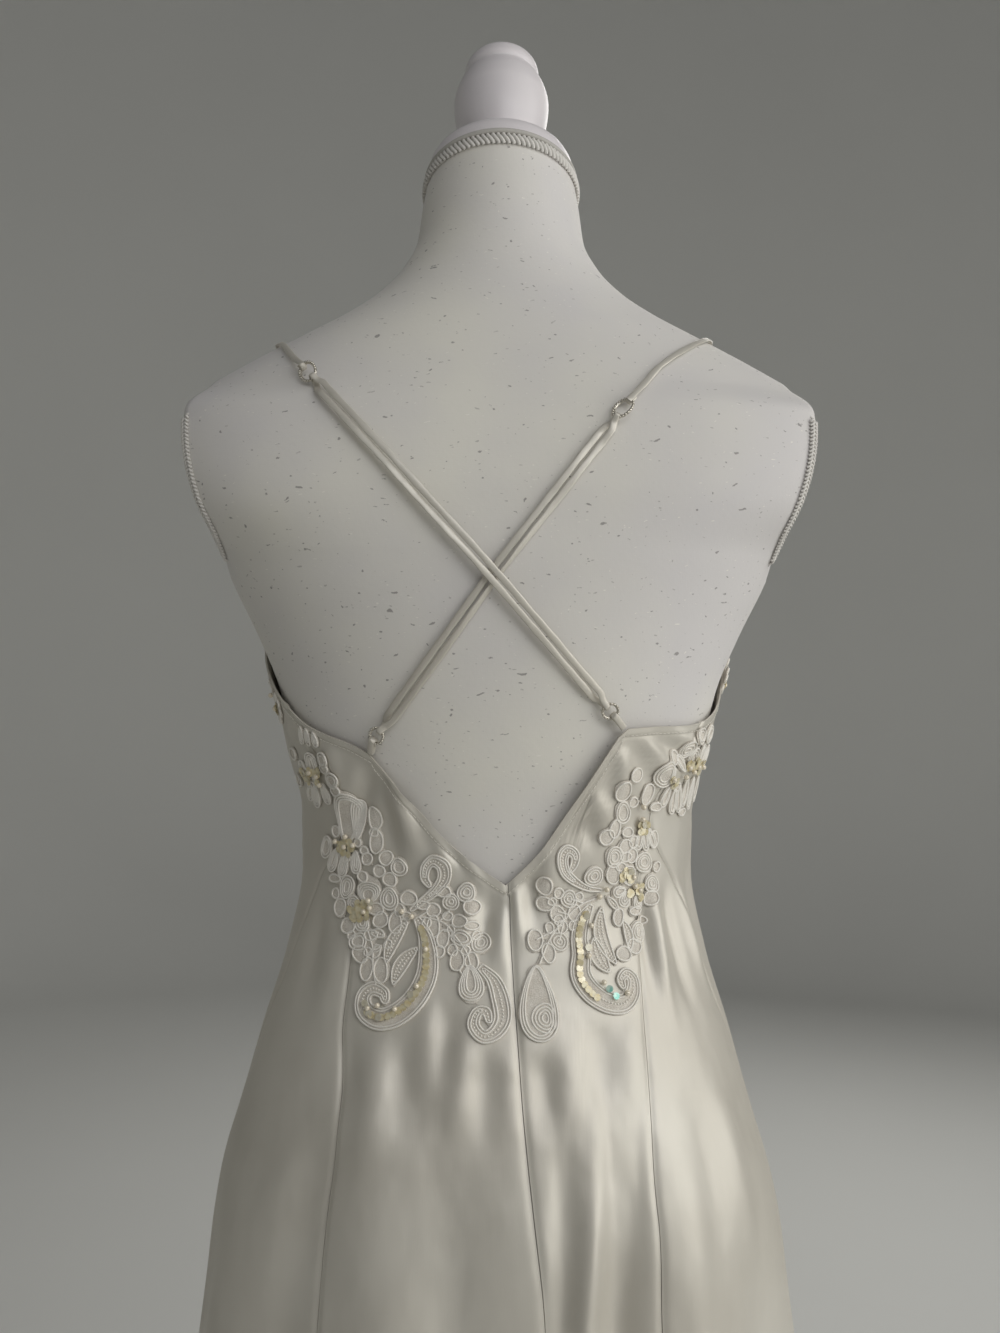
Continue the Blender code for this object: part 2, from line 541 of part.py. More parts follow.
def top_edge(angle):
    """Height of the dress's top edge at an angle."""
    angle = (angle + 180.0) % 360.0 - 180.0
    for stretch in TOP_EDGE:
        if stretch[0].angle <= angle <= stretch[-1].angle:
            return read(stretch, "height", angle, key="angle")
    return TOP_EDGE[0][0].height


# ---------------------------------------------------------------- meshes
def material(name, colour, roughness, metallic=0.0):
    made = bpy.data.materials.new(name)
    made.use_nodes = True
    shader = made.node_tree.nodes["Principled BSDF"]
    shader.inputs["Base Color"].default_value = (*colour, 1.0)
    shader.inputs["Roughness"].default_value = roughness
    shader.inputs["Metallic"].default_value = metallic
    return made


def add_object(name, mesh, finish, collection):
    made = bpy.data.objects.new(name, mesh)
    collection.objects.link(made)
    mesh.materials.append(finish)
    mesh.shade_smooth()
    mesh.set_sharp_from_angle(angle=math.radians(40.0))
    return made


def mesh_from(name, points, faces):
    mesh = bpy.data.meshes.new(name)
    mesh.from_pydata([tuple(point) for point in points], [], faces)
    mesh.update()
    return mesh


def outwards(mesh):
    """Turns a closed mesh so that its faces point out."""
    work = bmesh.new()
    work.from_mesh(mesh)
    bmesh.ops.recalc_face_normals(work, faces=work.faces)
    work.to_mesh(mesh)
    work.free()
    return mesh


def lofted_rings(name, rings):
    """Closed solid through rings of equal count, with a fan at each end."""
    count = len(rings[0])
    points = [point for ring in rings for point in ring]
    faces = []
    for row in range(len(rings) - 1):
        for column in range(count):
            after = (column + 1) % count
            start = row * count
            faces.append((start + column, start + after, start + count + after, start + count + column))
    faces.append(tuple(reversed(range(count))))
    faces.append(tuple(range(len(points) - count, len(points))))
    return outwards(mesh_from(name, points, faces))


def two_layers(name, lower, upper, cells):
    """Closed wall between two layers of the same cells."""
    count = len(lower)
    faces = []
    border = {}
    for cell in cells:
        faces.append(tuple(corner + count for corner in cell))
        faces.append(tuple(reversed(cell)))
        for start, end in zip(cell, cell[1:] + cell[:1]):
            if (end, start) in border:
                del border[end, start]
            else:
                border[start, end] = True
    for start, end in border:
        faces.append((start, end, end + count, start + count))
    return outwards(mesh_from(name, lower + upper, faces))


def swept(name, path, ups, half_width, half_thick, sides=STRAP_SIDES, closed=False):
    """Flat tube along a path: each place has a direction straight out of what it lies on."""
    count = len(path)
    rings = []
    for i, point in enumerate(path):
        before = path[(i - 1) % count] if closed or i else path[i]
        after = path[(i + 1) % count] if closed or i < count - 1 else path[i]
        forward = (after - before).normalized()
        side = forward.cross(ups[i]).normalized()
        up = side.cross(forward).normalized()
        ring = []
        for k in range(sides):
            turn = 2.0 * math.pi * (k + 0.5) / sides
            ring.append(point + side * half_width * math.cos(turn) + up * half_thick * math.sin(turn))
        rings.append(ring)
    if not closed:
        return lofted_rings(name, rings)
    points = [point for ring in rings for point in ring]
    faces = []
    for row in range(count):
        start = row * sides
        following = ((row + 1) % count) * sides
        for k in range(sides):
            after = (k + 1) % sides
            faces.append((start + k, start + after, following + after, following + k))
    return outwards(mesh_from(name, points, faces))


def turned(name, profile, steps, finish, collection, place):
    """Turned piece: a profile of (radius, height) from its top to its bottom, spun with a Screw modifier."""
    points = [(radius, 0.0, height) for radius, height in profile]
    edges = [(i, i + 1) for i in range(len(points) - 1)]
    mesh = bpy.data.meshes.new(name)
    mesh.from_pydata(points, edges, [])
    made = bpy.data.objects.new(name, mesh)
    collection.objects.link(made)
    mesh.materials.append(finish)
    screw = made.modifiers.new("Turn", "SCREW")
    screw.steps = steps
    screw.render_steps = steps
    screw.use_merge_vertices = True
    screw.merge_threshold = 0.0001
    screw.use_smooth_shade = True
    made.matrix_world = place
    return made


# ---------------------------------------------------------------- the form
def build_form(finishes, collection):
    rings = []
    for height in FORM_LEVELS:
        rings.append([clamped_form_point(angle, height) for angle in form_angles(height)])
    add_object("form_torso", lofted_rings("form_torso", rings), finishes["cover"], collection)

    neck = rings[-1]
    build_neck_braid(neck, finishes, collection)
    build_arm_braids(finishes, collection)
    build_neck_cap(neck, finishes, collection)
    build_base_plate(rings[0], finishes, collection)


def build_neck_braid(neck, finishes, collection):
    """Braid round the neck, just under its top edge."""
    centre = sum(neck, Vector()) / len(neck)
    path = []
    ups = []
    for i in range(NECK_BRAID_STEPS):
        angle = 360.0 * i / NECK_BRAID_STEPS
        point = form_point(angle, FORM_RINGS[-1].height - NECK_BRAID_DROP)
        out = Vector((point.x - centre.x, point.y - centre.y, 0.0)).normalized()
        path.append(point + out * (NECK_BRAID_THICK / 2.0 + TOUCH_GAP * 2.0))
        ups.append(out)
    mesh = swept("form_neck_braid", path, ups, NECK_BRAID_WIDTH / 2.0, NECK_BRAID_THICK / 2.0, 6, closed=True)
    add_object("form_neck_braid", mesh, finishes["braid"], collection)


def build_arm_braids(finishes, collection):
    """Braid round the flat cut end of each shoulder."""
    edges = []
    heights = [height for height in FORM_LEVELS if ARM_BOTTOM_HEIGHT < height <= ARM_TOP_HEIGHT]
    for column in (COLUMNS_BACK, COLUMNS_BACK + COLUMNS_ARM):
        edge = []
        for height in heights:
            angle = form_angles(height)[column]
            out = form_normal(angle, height) + Vector((ARM_BRAID_LEAN, 0.0, 0.0))
            edge.append((clamped_form_point(angle, height), out.normalized()))
        edges.append(edge)
    back, front = edges
    over_top = []
    for share in ARM_BRAID_TOP_SHARES:
        point = back[-1][0].lerp(front[-1][0], share)
        point.z = ARM_TOP_HEIGHT + ARM_BRAID_TOP_RISE
        point.x = arm_plane(point.z)
        slope = (arm_plane(point.z + 0.001) - arm_plane(point.z - 0.001)) / 0.002
        over_top.append((point, Vector((1.0, 0.0, -slope)).normalized()))
    outline = back + over_top + front[::-1]
    for name, mirror in (("form_arm_braid_left", 1.0), ("form_arm_braid_right", -1.0)):
        path = []
        ups = []
        for point, out in outline:
            place = point + out * (ARM_BRAID_RADIUS + ARM_BRAID_GAP)
            path.append(Vector((place.x * mirror, place.y, place.z)))
            ups.append(Vector((out.x * mirror, out.y, out.z)))
        mesh = swept(name, path, ups, ARM_BRAID_RADIUS, ARM_BRAID_RADIUS, 6, closed=True)
        add_object(name, mesh, finishes["braid"], collection)


def build_neck_cap(neck, finishes, collection):
    """White turned cap on the slanting top of the neck, with the knob on it."""
    centre = sum(neck, Vector()) / len(neck)
    tilt = math.radians(FORM_RINGS[-1].tilt)
    place = Matrix.Translation(centre) @ Matrix.Rotation(tilt, 4, "X")
    profile = (
        (0.0, CAP_THICK),
        (0.030, CAP_THICK),
        (0.038, CAP_THICK - 0.001),
        (CAP_RADIUS - 0.0035, CAP_THICK - 0.004),
        (CAP_RADIUS - 0.0005, CAP_THICK - 0.009),
        (CAP_RADIUS, CAP_THICK - 0.013),
        (CAP_RADIUS, TOUCH_GAP),
        (0.0, TOUCH_GAP),
    )
    turned("form_neck_cap", profile, 28, finishes["knob"], collection, place)

    foot = place @ Vector((0.0, 0.0, CAP_THICK + TOUCH_GAP))
    knob_place = Matrix.Translation(foot) @ Matrix.Rotation(tilt, 4, "X")
    profile = (
        (0.0, 0.0860),
        (0.0100, 0.0850),
        (0.0180, 0.0815),
        (0.0225, 0.0765),
        (0.0243, 0.0700),
        (0.0238, 0.0665),
        (0.0255, 0.0630),
        (0.0285, 0.0560),
        (0.0305, 0.0480),
        (0.0308, 0.0420),
        (0.0300, 0.0330),
        (0.0280, 0.0230),
        (0.0240, 0.0120),
        (0.0220, 0.0),
        (0.0, 0.0),
    )
    turned("form_neck_knob", profile, 24, finishes["knob"], collection, knob_place)


def build_base_plate(lowest, finishes, collection):
    """Painted board that closes the form below, with the collar, pole and round foot of the stand."""
    top = FORM_RINGS[0].height - TOUCH_GAP
    rings = []
    for height in (top - PLATE_THICK, top):
        rings.append([Vector((point.x * 0.93, point.y * 0.93, height)) for point in lowest])
    add_object("form_base_plate", lofted_rings("form_base_plate", rings), finishes["knob"], collection)

    collar_top = top - PLATE_THICK - TOUCH_GAP
    upright = Matrix.Identity(4)
    profile = (
        (0.0, collar_top),
        (0.045, collar_top),
        (0.045, collar_top - 0.005),
        (0.024, collar_top - 0.009),
        (0.022, collar_top - COLLAR_HEIGHT),
        (0.0, collar_top - COLLAR_HEIGHT),
    )
    turned("stand_collar", profile, 28, finishes["steel"], collection, upright)

    pole_top = collar_top - COLLAR_HEIGHT - TOUCH_GAP
    profile = (
        (0.0, pole_top),
        (POLE_RADIUS, pole_top),
        (POLE_RADIUS, BASE_THICK + TOUCH_GAP),
        (0.0, BASE_THICK + TOUCH_GAP),
    )
    turned("stand_pole", profile, 28, finishes["steel"], collection, upright)

    profile = (
        (0.0, BASE_THICK),
        (BASE_RADIUS - 0.012, BASE_THICK - 0.001),
        (BASE_RADIUS - 0.003, BASE_THICK - 0.004),
        (BASE_RADIUS, BASE_THICK - 0.008),
        (BASE_RADIUS, 0.0),
        (0.0, 0.0),
    )
    turned("stand_base", profile, 44, finishes["foot"], collection, upright)


# ---------------------------------------------------------------- panels
def panel_places(first, second, columns):
    """Grid of (angle, height) between two seams: columns across, rows from the top edge to the hem.

    Panels that share a seam have their rows at the same heights there, so the seam stays shut."""
    grid = []
    for share in columns:
        top = 1.10
        for _ in range(40):
            angle = first(top) + (second(top) - first(top)) * share
            top += (top_edge(angle) - top) * 0.5
        column = []
        for row in PANEL_ROWS:
            height = top + (HEM_HEIGHT - top) * row
            column.append((between_seams(first, second, share, height), height))
        grid.append(column)
    return grid


def gore_places(first, second, columns):
    """Grid of a gore, which begins where its two seams have parted, at the rows of its neighbours."""
    heights = []
    top = 1.10
    for _ in range(40):
        top += (top_edge(second(top)) - top) * 0.5
    for row in PANEL_ROWS:
        height = top + (HEM_HEIGHT - top) * row
        if abs(second(height) - first(height)) > GORE_TIP_WIDTH:
            heights.append(height)
    return [
        [(between_seams(first, second, share, height), height) for height in heights]
        for share in columns
    ]


def between_seams(first, second, share, height):
    """Angle at a share of the way between two seams, half a seam's gap inside each."""
    width = second(height) - first(height)
    half_gap = math.degrees(SEAM_GAP / 2.0 / read(SKIRT_RINGS, "half_width", height))
    inset = min(0.3, half_gap / abs(width))
    return first(height) + width * (inset + (1.0 - 2.0 * inset) * share)


def walled_panel(name, grid, finish, collection):
    """Panel of cloth: a wall between the cloth's outside and the same places one thickness further in.

    Each cell is split along its shorter diagonal. Gives the facets of the outside, for what is sewn on it."""
    rows = len(grid[0])
    places = [place for column in grid for place in column]
    outside = [cloth_point(angle, height) for angle, height in places]
    inside = [over_cloth(angle, height, -CLOTH) for angle, height in places]
    cells = []
    for column in range(len(grid) - 1):
        for row in range(rows - 1):
            start = column * rows + row
            corners = (start, start + 1, start + rows + 1, start + rows)
            rising = (outside[corners[0]] - outside[corners[2]]).length
            falling = (outside[corners[1]] - outside[corners[3]]).length
            if rising > falling:
                corners = corners[1:] + corners[:1]
            cells.append(corners[:3])
            cells.append((corners[0], corners[2], corners[3]))
    add_object(name, two_layers(name, inside, outside, cells), finish, collection)
    return [tuple((*places[corner], outside[corner]) for corner in cell) for cell in cells]


def sorted_facets(facets):
    """Facets by the small stretches of angle and height that they reach into."""
    stretches = {}
    for facet in facets:
        low_angle, high_angle = (pick(corner[0] for corner in facet) for pick in (min, max))
        low_height, high_height = (pick(corner[1] for corner in facet) for pick in (min, max))
        for i in range(int(low_angle // FACET_ANGLE), int(high_angle // FACET_ANGLE) + 1):
            for k in range(int(low_height // FACET_HEIGHT), int(high_height // FACET_HEIGHT) + 1):
                stretches.setdefault((i, k), []).append(facet)
    return stretches


def on_facets(stretches, angle, height):
    """Point of the panels' own facets at a place of the cloth, for what is sewn on top of them."""
    for first, second, third in stretches.get((int(angle // FACET_ANGLE), int(height // FACET_HEIGHT)), ()):
        ahead = second[0] - first[0], second[1] - first[1]
        aside = third[0] - first[0], third[1] - first[1]
        here = angle - first[0], height - first[1]
        size = ahead[0] * aside[1] - ahead[1] * aside[0]
        u = (here[0] * aside[1] - here[1] * aside[0]) / size
        v = (ahead[0] * here[1] - ahead[1] * here[0]) / size
        if min(u, v, 1.0 - u - v) > -FACET_SLACK:
            return first[2] + (second[2] - first[2]) * u + (third[2] - first[2]) * v
    return cloth_point(angle, height)


def seam(column, turn=0.0):
    """Function that gives a seam's angle at a height."""
    return lambda height: read(SEAMS, column, height) + turn


def gore_seam(side, gore, hand):
    """Function that gives the angle of the seam between a back panel and its gore."""
    return lambda height: read(SEAMS, side, height) - hand * read(SEAMS, gore, height)


def build_dress(finishes, collection):
    satin = finishes["satin"]
    inner_left = gore_seam("side_left", "gore_left", 1.0)
    inner_right = gore_seam("side_right", "gore_right", -1.0)
    panels = (
        ("back_left", panel_places, seam("back"), inner_left, BACK_LEFT_COLUMNS),
        ("back_right", panel_places, inner_right, seam("back"), BACK_RIGHT_COLUMNS),
        ("gore_left", gore_places, inner_left, seam("side_left"), GORE_COLUMNS),
        ("gore_right", gore_places, inner_right, seam("side_right"), GORE_COLUMNS),
        ("side_front_left", panel_places, seam("side_left"), seam("front_left"), SIDE_COLUMNS),
        ("side_front_right", panel_places, seam("front_right"), seam("side_right"), SIDE_COLUMNS),
        ("front_centre", panel_places, seam("front_left"), seam("front_right", 360.0), FRONT_COLUMNS),
    )
    facets = []
    for name, places, first, second, columns in panels:
        facets += walled_panel(name, places(first, second, columns), satin, collection)
    return sorted_facets(facets)


# ---------------------------------------------------------------- lace
def girth_angles():
    """Angle at each millimetre of girth from centre back, at the chart's height."""
    angles = [0.0]
    angle = 0.0
    length = 0.0
    last = cloth_point(0.0, CHART_HEIGHT)
    while angle < CHART_LAST_ANGLE:
        angle += CHART_STEP
        point = cloth_point(angle, CHART_HEIGHT)
        length += (point - last).length
        last = point
        while length >= 0.001 * len(angles):
            angles.append(angle)
    return angles


def chain_discs(chain, hand):
    """Discs (girth, height, radius) close together along a chain of stations."""
    discs = []
    for start, end in zip(chain, chain[1:]):
        length = math.hypot(end.girth - start.girth, end.height - start.height)
        steps = max(1, round(length / (min(start.radius, end.radius) * 0.5)))
        for i in range(steps + 1):
            mixed = [a + (b - a) * i / steps for a, b in zip(start, end)]
            discs.append((mixed[0] * hand, mixed[1], mixed[2]))
    return discs


def front_chain(rows):
    """The front lace's scallops, with a narrow band that joins them."""
    stations = [Station(math.radians(row.angle) * FRONT_CHART_RADIUS, row.height, row.radius) for row in rows]
    band = [Station(row.girth, row.height, LACE_FRONT[-1].radius) for row in stations]
    return stations, band


def disc_distance(discs, girth, height):
    """Distance outside the nearest disc, negative inside."""
    return min(math.hypot(girth - disc[0], height - disc[1]) - disc[2] for disc in discs)


def lace_solid(name, discs, to_angle, pitch, facets, finish, collection):
    """Lace wall cut to the outline of its discs, plain inside and raised outside over each disc.

    The chart is covered with right-angled triangles, each cut where the outline crosses its edges."""
    low_girth = min(girth - radius for girth, _, radius in discs) - pitch
    high_girth = max(girth + radius for girth, _, radius in discs) + pitch
    low_height = min(height - radius for _, height, radius in discs) - pitch
    high_height = max(height + radius for _, height, radius in discs) + pitch
    columns = int((high_girth - low_girth) / pitch) + 1
    rows = int((high_height - low_height) / pitch) + 1
    distances = {}
    for i in range(columns + 1):
        for k in range(rows + 1):
            place = (low_girth + i * pitch, low_height + k * pitch)
            distances[i, k] = (disc_distance(discs, *place), place)

    flat = []
    index = {}

    def corner(key):
        if key not in index:
            index[key] = len(flat)
            flat.append(distances[key][1])
        return index[key]

    def cut(inner, outer):
        key = (inner, outer)
        if key not in index:
            inside, start = distances[inner]
            outside, end = distances[outer]
            share = min(0.8, max(0.2, inside / (inside - outside)))
            index[key] = len(flat)
            flat.append(tuple(a + (b - a) * share for a, b in zip(start, end)))
        return index[key]

    triangles = []
    for i in range(columns):
        for k in range(rows):
            square = ((i, k), (i + 1, k), (i + 1, k + 1), (i, k + 1))
            for three in ((square[0], square[1], square[2]), (square[0], square[2], square[3])):
                inside = [distances[key][0] < 0.0 for key in three]
                count = sum(inside)
                if count == 3:
                    triangles.append(tuple(corner(key) for key in three))
                elif count == 2:
                    out = inside.index(False)
                    first, second, outer = three[(out + 1) % 3], three[(out + 2) % 3], three[out]
                    triangles.append((corner(first), corner(second), cut(second, outer)))
                    triangles.append((corner(first), cut(second, outer), cut(first, outer)))
                elif count == 1:
                    keep = inside.index(True)
                    inner, first, second = three[keep], three[(keep + 1) % 3], three[(keep + 2) % 3]
                    triangles.append((corner(inner), cut(inner, first), cut(inner, second)))

    flat, triangles = largest_patch(flat, triangles)
    bases = [on_facets(facets, to_angle(girth), height) for girth, height in flat]
    outs = [cloth_normal(to_angle(girth), height) for girth, height in flat]
    lifts = clearing_lifts(flat, triangles, bases, outs, to_angle, facets)
    lower = []
    upper = []
    for place, base, out, lift in zip(flat, bases, outs, lifts):
        swell = LACE_RELIEF * math.sqrt(min(1.0, max(0.0, -disc_distance(discs, *place)) / LACE_RELIEF_REACH))
        lower.append(base + out * lift)
        upper.append(base + out * (lift + LACE_BASE + swell))
    mesh = two_layers(name, lower, upper, triangles)
    return add_object(name, mesh, finish, collection)


def clearing_lifts(flat, triangles, bases, outs, to_angle, facets):
    """Height of the lace's points over the panel, raised where the panel bulges between two of them."""
    lifts = [LACE_LIFT] * len(flat)
    for triangle in triangles:
        for start, end in zip(triangle, triangle[1:] + triangle[:1]):
            for share in (0.25, 0.5, 0.75):
                girth, height = (a + (b - a) * share for a, b in zip(flat[start], flat[end]))
                bulge = on_facets(facets, to_angle(girth), height) - bases[start].lerp(bases[end], share)
                lift = LACE_LIFT + bulge.dot(outs[start])
                lifts[start] = max(lifts[start], lift)
                lifts[end] = max(lifts[end], lift)
    return lifts


def largest_patch(flat, triangles):
    """Keeps the largest connected patch of triangles and drops its unused points."""
    owner = list(range(len(flat)))

    def root(i):
        while owner[i] != i:
            owner[i] = owner[owner[i]]
            i = owner[i]
        return i

    for a, b, c in triangles:
        owner[root(a)] = root(b)
        owner[root(b)] = root(c)
    sizes = {}
    for a, _, _ in triangles:
        sizes[root(a)] = sizes.get(root(a), 0) + 1
    best = max(sizes, key=sizes.get)
    kept = [three for three in triangles if root(three[0]) == best]
    used = sorted({i for three in kept for i in three})
    renumber = {old: new for new, old in enumerate(used)}
    return [flat[i] for i in used], [tuple(renumber[i] for i in three) for three in kept]


def build_lace(facets, finishes, collection):
    angles = girth_angles()

    def back_angle(girth):
        place = min(len(angles) - 1.001, abs(girth) * 1000.0)
        low = int(place)
        angle = angles[low] + (angles[low + 1] - angles[low]) * (place - low)
        return math.copysign(angle, girth)

    def front_angle(girth):
        return math.degrees(girth / FRONT_CHART_RADIUS)

    for side, hand, chains, rows in (
        ("left", 1.0, LACE_BACK_LEFT, LACE_FRONT_LEFT_START + LACE_FRONT),
        ("right", -1.0, LACE_BACK_RIGHT, LACE_FRONT),
    ):
        scallops, band = front_chain(rows)
        back = [disc for chain in chains for disc in chain_discs(chain, hand)]
        lace_solid("lace_back_" + side, back, back_angle, LACE_PITCH, facets, finishes["lace"], collection)
        front = chain_discs(band, hand) + [(row.girth * hand, row.height, row.radius) for row in scallops]
        lace_solid(
            "lace_front_" + side, front, front_angle, LACE_FRONT_PITCH, facets, finishes["lace"], collection
        )


# ---------------------------------------------------------------- straps
def over_form(place):
    """Point a distance straight out from the form, and that direction."""
    out = form_normal(place.angle, place.height)
    return form_point(place.angle, place.height) + out * place.above, out


def angle_at(x, height):
    """Angle at which the back of the form's section reaches a distance from the middle."""
    low = 0.0
    high = 89.9
    for _ in range(30):
        middle = (low + high) / 2.0
        if form_point(middle, height).x < abs(x):
            low = middle
        else:
            high = middle
    return math.copysign(low, x)


def across_back(route):
    """Places close together on a strap's way across the back, straight as seen from behind."""
    places = []
    for start, end in zip(route, route[1:]):
        for i in range(8):
            x, height, above = (a + (b - a) * i / 8.0 for a, b in zip(start, end))
            places.append(Place(angle_at(x, height), height, above))
    last = route[-1]
    return places + [Place(angle_at(last.x, last.height), last.height, last.above)]


def strap_line(route):
    """Even points and outward directions on a smooth curve over the form, through a route's places."""
    points = []
    outs = []
    for place in route:
        point, out = over_form(place)
        points.append(point)
        outs.append(out)
    return even_curve(points, outs)


def even_curve(points, outs):
    """Points at even distances on a smooth curve through given points, with their directions blended."""
    fine = []
    for i in range(len(points) - 1):
        before = points[max(0, i - 1)]
        start, end = points[i], points[i + 1]
        after = points[min(len(points) - 1, i + 2)]
        leave = (end - before) * 0.5
        arrive = (after - start) * 0.5
        for k in range(20):
            t = k / 20.0
            place = start * (1 + 2 * t) * (1 - t) ** 2 + leave * t * (1 - t) ** 2
            place += end * t * t * (3 - 2 * t) - arrive * t * t * (1 - t)
            fine.append((place, outs[i].lerp(outs[i + 1], t)))
    fine.append((points[-1], outs[-1]))
    length = sum((after[0] - before[0]).length for before, after in zip(fine, fine[1:]))
    steps = max(2, round(length / STRAP_SPACING))
    even = [fine[0]]
    walked = 0.0
    for start, end in zip(fine, fine[1:]):
        piece = (end[0] - start[0]).length
        while len(even) < steps and walked + piece >= length * len(even) / steps:
            share = (length * len(even) / steps - walked) / piece
            even.append((start[0].lerp(end[0], share), start[1].lerp(end[1], share)))
        walked += piece
    even.append(fine[-1])
    return [place for place, _ in even], [out.normalized() for _, out in even]


def wrap(wire, along, out):
    """Turn of a strap round a ring's wire, from its outside to its underside.

    The second list holds the directions away from the wire. along points back up the strap and out
    points away from the form."""
    reach = RING_WIRE + STRAP_THICK / 2.0 + TOUCH_GAP * 1.3
    places = []
    ups = []
    for turn in (0.0, 36.0, 72.0, 108.0, 144.0, 180.0):
        lean = math.radians(turn)
        direction = out * math.cos(lean) - along * math.sin(lean)
        places.append(wire + direction * reach)
        ups.append(direction)
    return places, ups


def ring_mesh(name, centre, along, out, long_half, short_half):
    """Closed oval wire, lying square to out."""
    across = along.cross(out).normalized()
    path = []
    for i in range(RING_STEPS):
        angle = 2.0 * math.pi * i / RING_STEPS
        path.append(centre + along * long_half * math.cos(angle) + across * short_half * math.sin(angle))
    return swept(name, path, [out] * RING_STEPS, RING_WIRE, RING_WIRE, RING_SIDES, closed=True)


def parted(wire, along, out, side, level, rows):
    """Places where one run of a doubled strap leaves a ring's wire, and the direction out of it there."""
    across = along.cross(out).normalized()
    low = out * -RING_RISE
    places = []
    for row in rows:
        aside = across * side * PAIR_SPREAD * row.spread
        places.append(wire + along * row.distance + low + aside + out * level * row.level)
    return places


def build_strap(side, shoulder, back, corner, finishes, collection):
    """One strap: single over the shoulder to the slider, then doubled across the back to the lower ring."""
    line, outs = strap_line(across_back(back))
    top_along = (line[0] - line[1]).normalized()
    low_along = (line[-2] - line[-1]).normalized()
    slider_centre = line[0] + outs[0] * RING_RISE
    ring_centre = line[-1] + outs[-1] * RING_RISE
    slider = ring_mesh("slider_" + side, slider_centre, top_along, outs[0], SLIDER_LONG, SLIDER_SHORT)
    add_object("slider_" + side, slider, finishes["metal"], collection)
    ring = ring_mesh("ring_" + side, ring_centre, low_along, outs[-1], RING_LONG, RING_SHORT)
    add_object("ring_" + side, ring, finishes["metal"], collection)

    low_wire = ring_centre + low_along * RING_LONG
    top_wire = slider_centre - top_along * SLIDER_LONG
    clear = PARTINGS[-1].distance + STRAP_SPACING * 0.5
    middle = [
        i for i in range(len(line))
        if (line[i] - low_wire).length > clear and (line[i] - top_wire).length > clear
        and (line[i] - line[0]).length > clear and (line[i] - line[-1]).length > clear
    ]
    runs = []
    for hand in (1.0, -1.0):
        run = parted(top_wire, -top_along, outs[0], -hand, hand, PARTINGS)
        ups = [outs[0] * hand] * len(run)
        for i in middle:
            across = (line[i - 1] - line[i + 1]).normalized().cross(outs[i]).normalized()
            run.append(line[i] + across * hand * PAIR_SPREAD)
            ups.append(outs[i] * hand)
        end = parted(low_wire, low_along, outs[-1], hand, hand, PARTINGS[::-1])
        runs.append((run + end, ups + [outs[-1] * hand] * len(end)))
    path, ups = runs[0]
    turn_places, turn_ups = wrap(low_wire, low_along, outs[-1])
    path = path + turn_places + runs[1][0][::-1]
    ups = ups + turn_ups + runs[1][1][::-1]
    turn_places, turn_ups = wrap(top_wire, -top_along, -outs[0])
    path += turn_places
    ups += turn_ups
    mesh = swept("strap_back_" + side, path, ups, STRAP_WIDTH / 2.0, STRAP_THICK / 2.0, closed=True)
    add_object("strap_back_" + side, mesh, finishes["satin"], collection)

    line, outs_shoulder = strap_line(shoulder)
    wire = slider_centre + top_along * SLIDER_LONG
    turn_places, turn_ups = wrap(wire, top_along, outs[0])
    near = [i for i in range(len(line)) if (line[i] - wire).length > STRAP_LEAVES_RING]
    tail = turn_places[-1] + top_along * STRAP_TAIL
    path = [line[i] for i in near] + turn_places + [tail]
    ups = [outs_shoulder[i] for i in near] + turn_ups + [turn_ups[-1]]
    mesh = swept("strap_front_" + side, path, ups, STRAP_WIDTH / 2.0, STRAP_THICK / 2.0)
    add_object("strap_front_" + side, mesh, finishes["satin"], collection)

    build_tab(side, ring_centre, low_along, outs[-1], corner, finishes, collection)


def build_tab(side, ring_centre, along, out, corner, finishes, collection):
    """Loop of rouleau that holds the lower ring to the strap point of the back."""
    foot = over_cloth(corner.angle, corner.height + TOUCH_GAP * 2.0, -CLOTH / 2.0)
    wire = ring_centre - along * RING_LONG
    places, ups = wrap(wire, -along, out)
    half = out * (STRAP_THICK / 2.0 + TOUCH_GAP / 2.0)
    path = [foot + half] + places + [foot - half]
    ups = [out] + ups + [-out]
    mesh = swept("tab_" + side, path, ups, STRAP_WIDTH / 2.0, STRAP_THICK / 2.0)
    add_object("tab_" + side, mesh, finishes["satin"], collection)


# ---------------------------------------------------------------- all together
def clear_scene():
    for old in list(bpy.data.objects):
        bpy.data.objects.remove(old, do_unlink=True)


def build():
    clear_scene()
    collection = bpy.data.collections.new("slip_dress_on_form")
    bpy.context.scene.collection.children.link(collection)
    finishes = {
        "satin": material("ivory satin", (0.74, 0.70, 0.60), 0.32),
        "lace": material("corded lace", (0.80, 0.76, 0.66), 0.60),
        "metal": material("ring metal", (0.75, 0.73, 0.68), 0.25, 1.0),
        "cover": material("flecked jersey cover", (0.62, 0.60, 0.55), 0.90),
        "braid": material("cover braid", (0.60, 0.58, 0.52), 0.80),
        "knob": material("white paint", (0.80, 0.79, 0.78), 0.40),
        "steel": material("white painted steel", (0.78, 0.77, 0.75), 0.35),
        "foot": material("white painted iron", (0.76, 0.75, 0.73), 0.45),
    }
    build_form(finishes, collection)
    facets = build_dress(finishes, collection)
    build_lace(facets, finishes, collection)
    build_strap("left", SHOULDER_LEFT, BACK_FROM_LEFT, TOP_EDGE[2][0], finishes, collection)
    build_strap("right", SHOULDER_RIGHT, BACK_FROM_RIGHT, TOP_EDGE[4][0], finishes, collection)


build()
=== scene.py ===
"""Looks of a long satin slip dress with corded lace, on the limbless dress form that carries it.

Metres, +Z up. The wearer faces -Y and the back is at +Y. The angle round the body is 0 at centre back,
90 degrees at the wearer's left and 180 at centre front.
"""

import math
from collections import namedtuple

import bmesh
import bpy
import numpy as np
from mathutils import Matrix, Vector


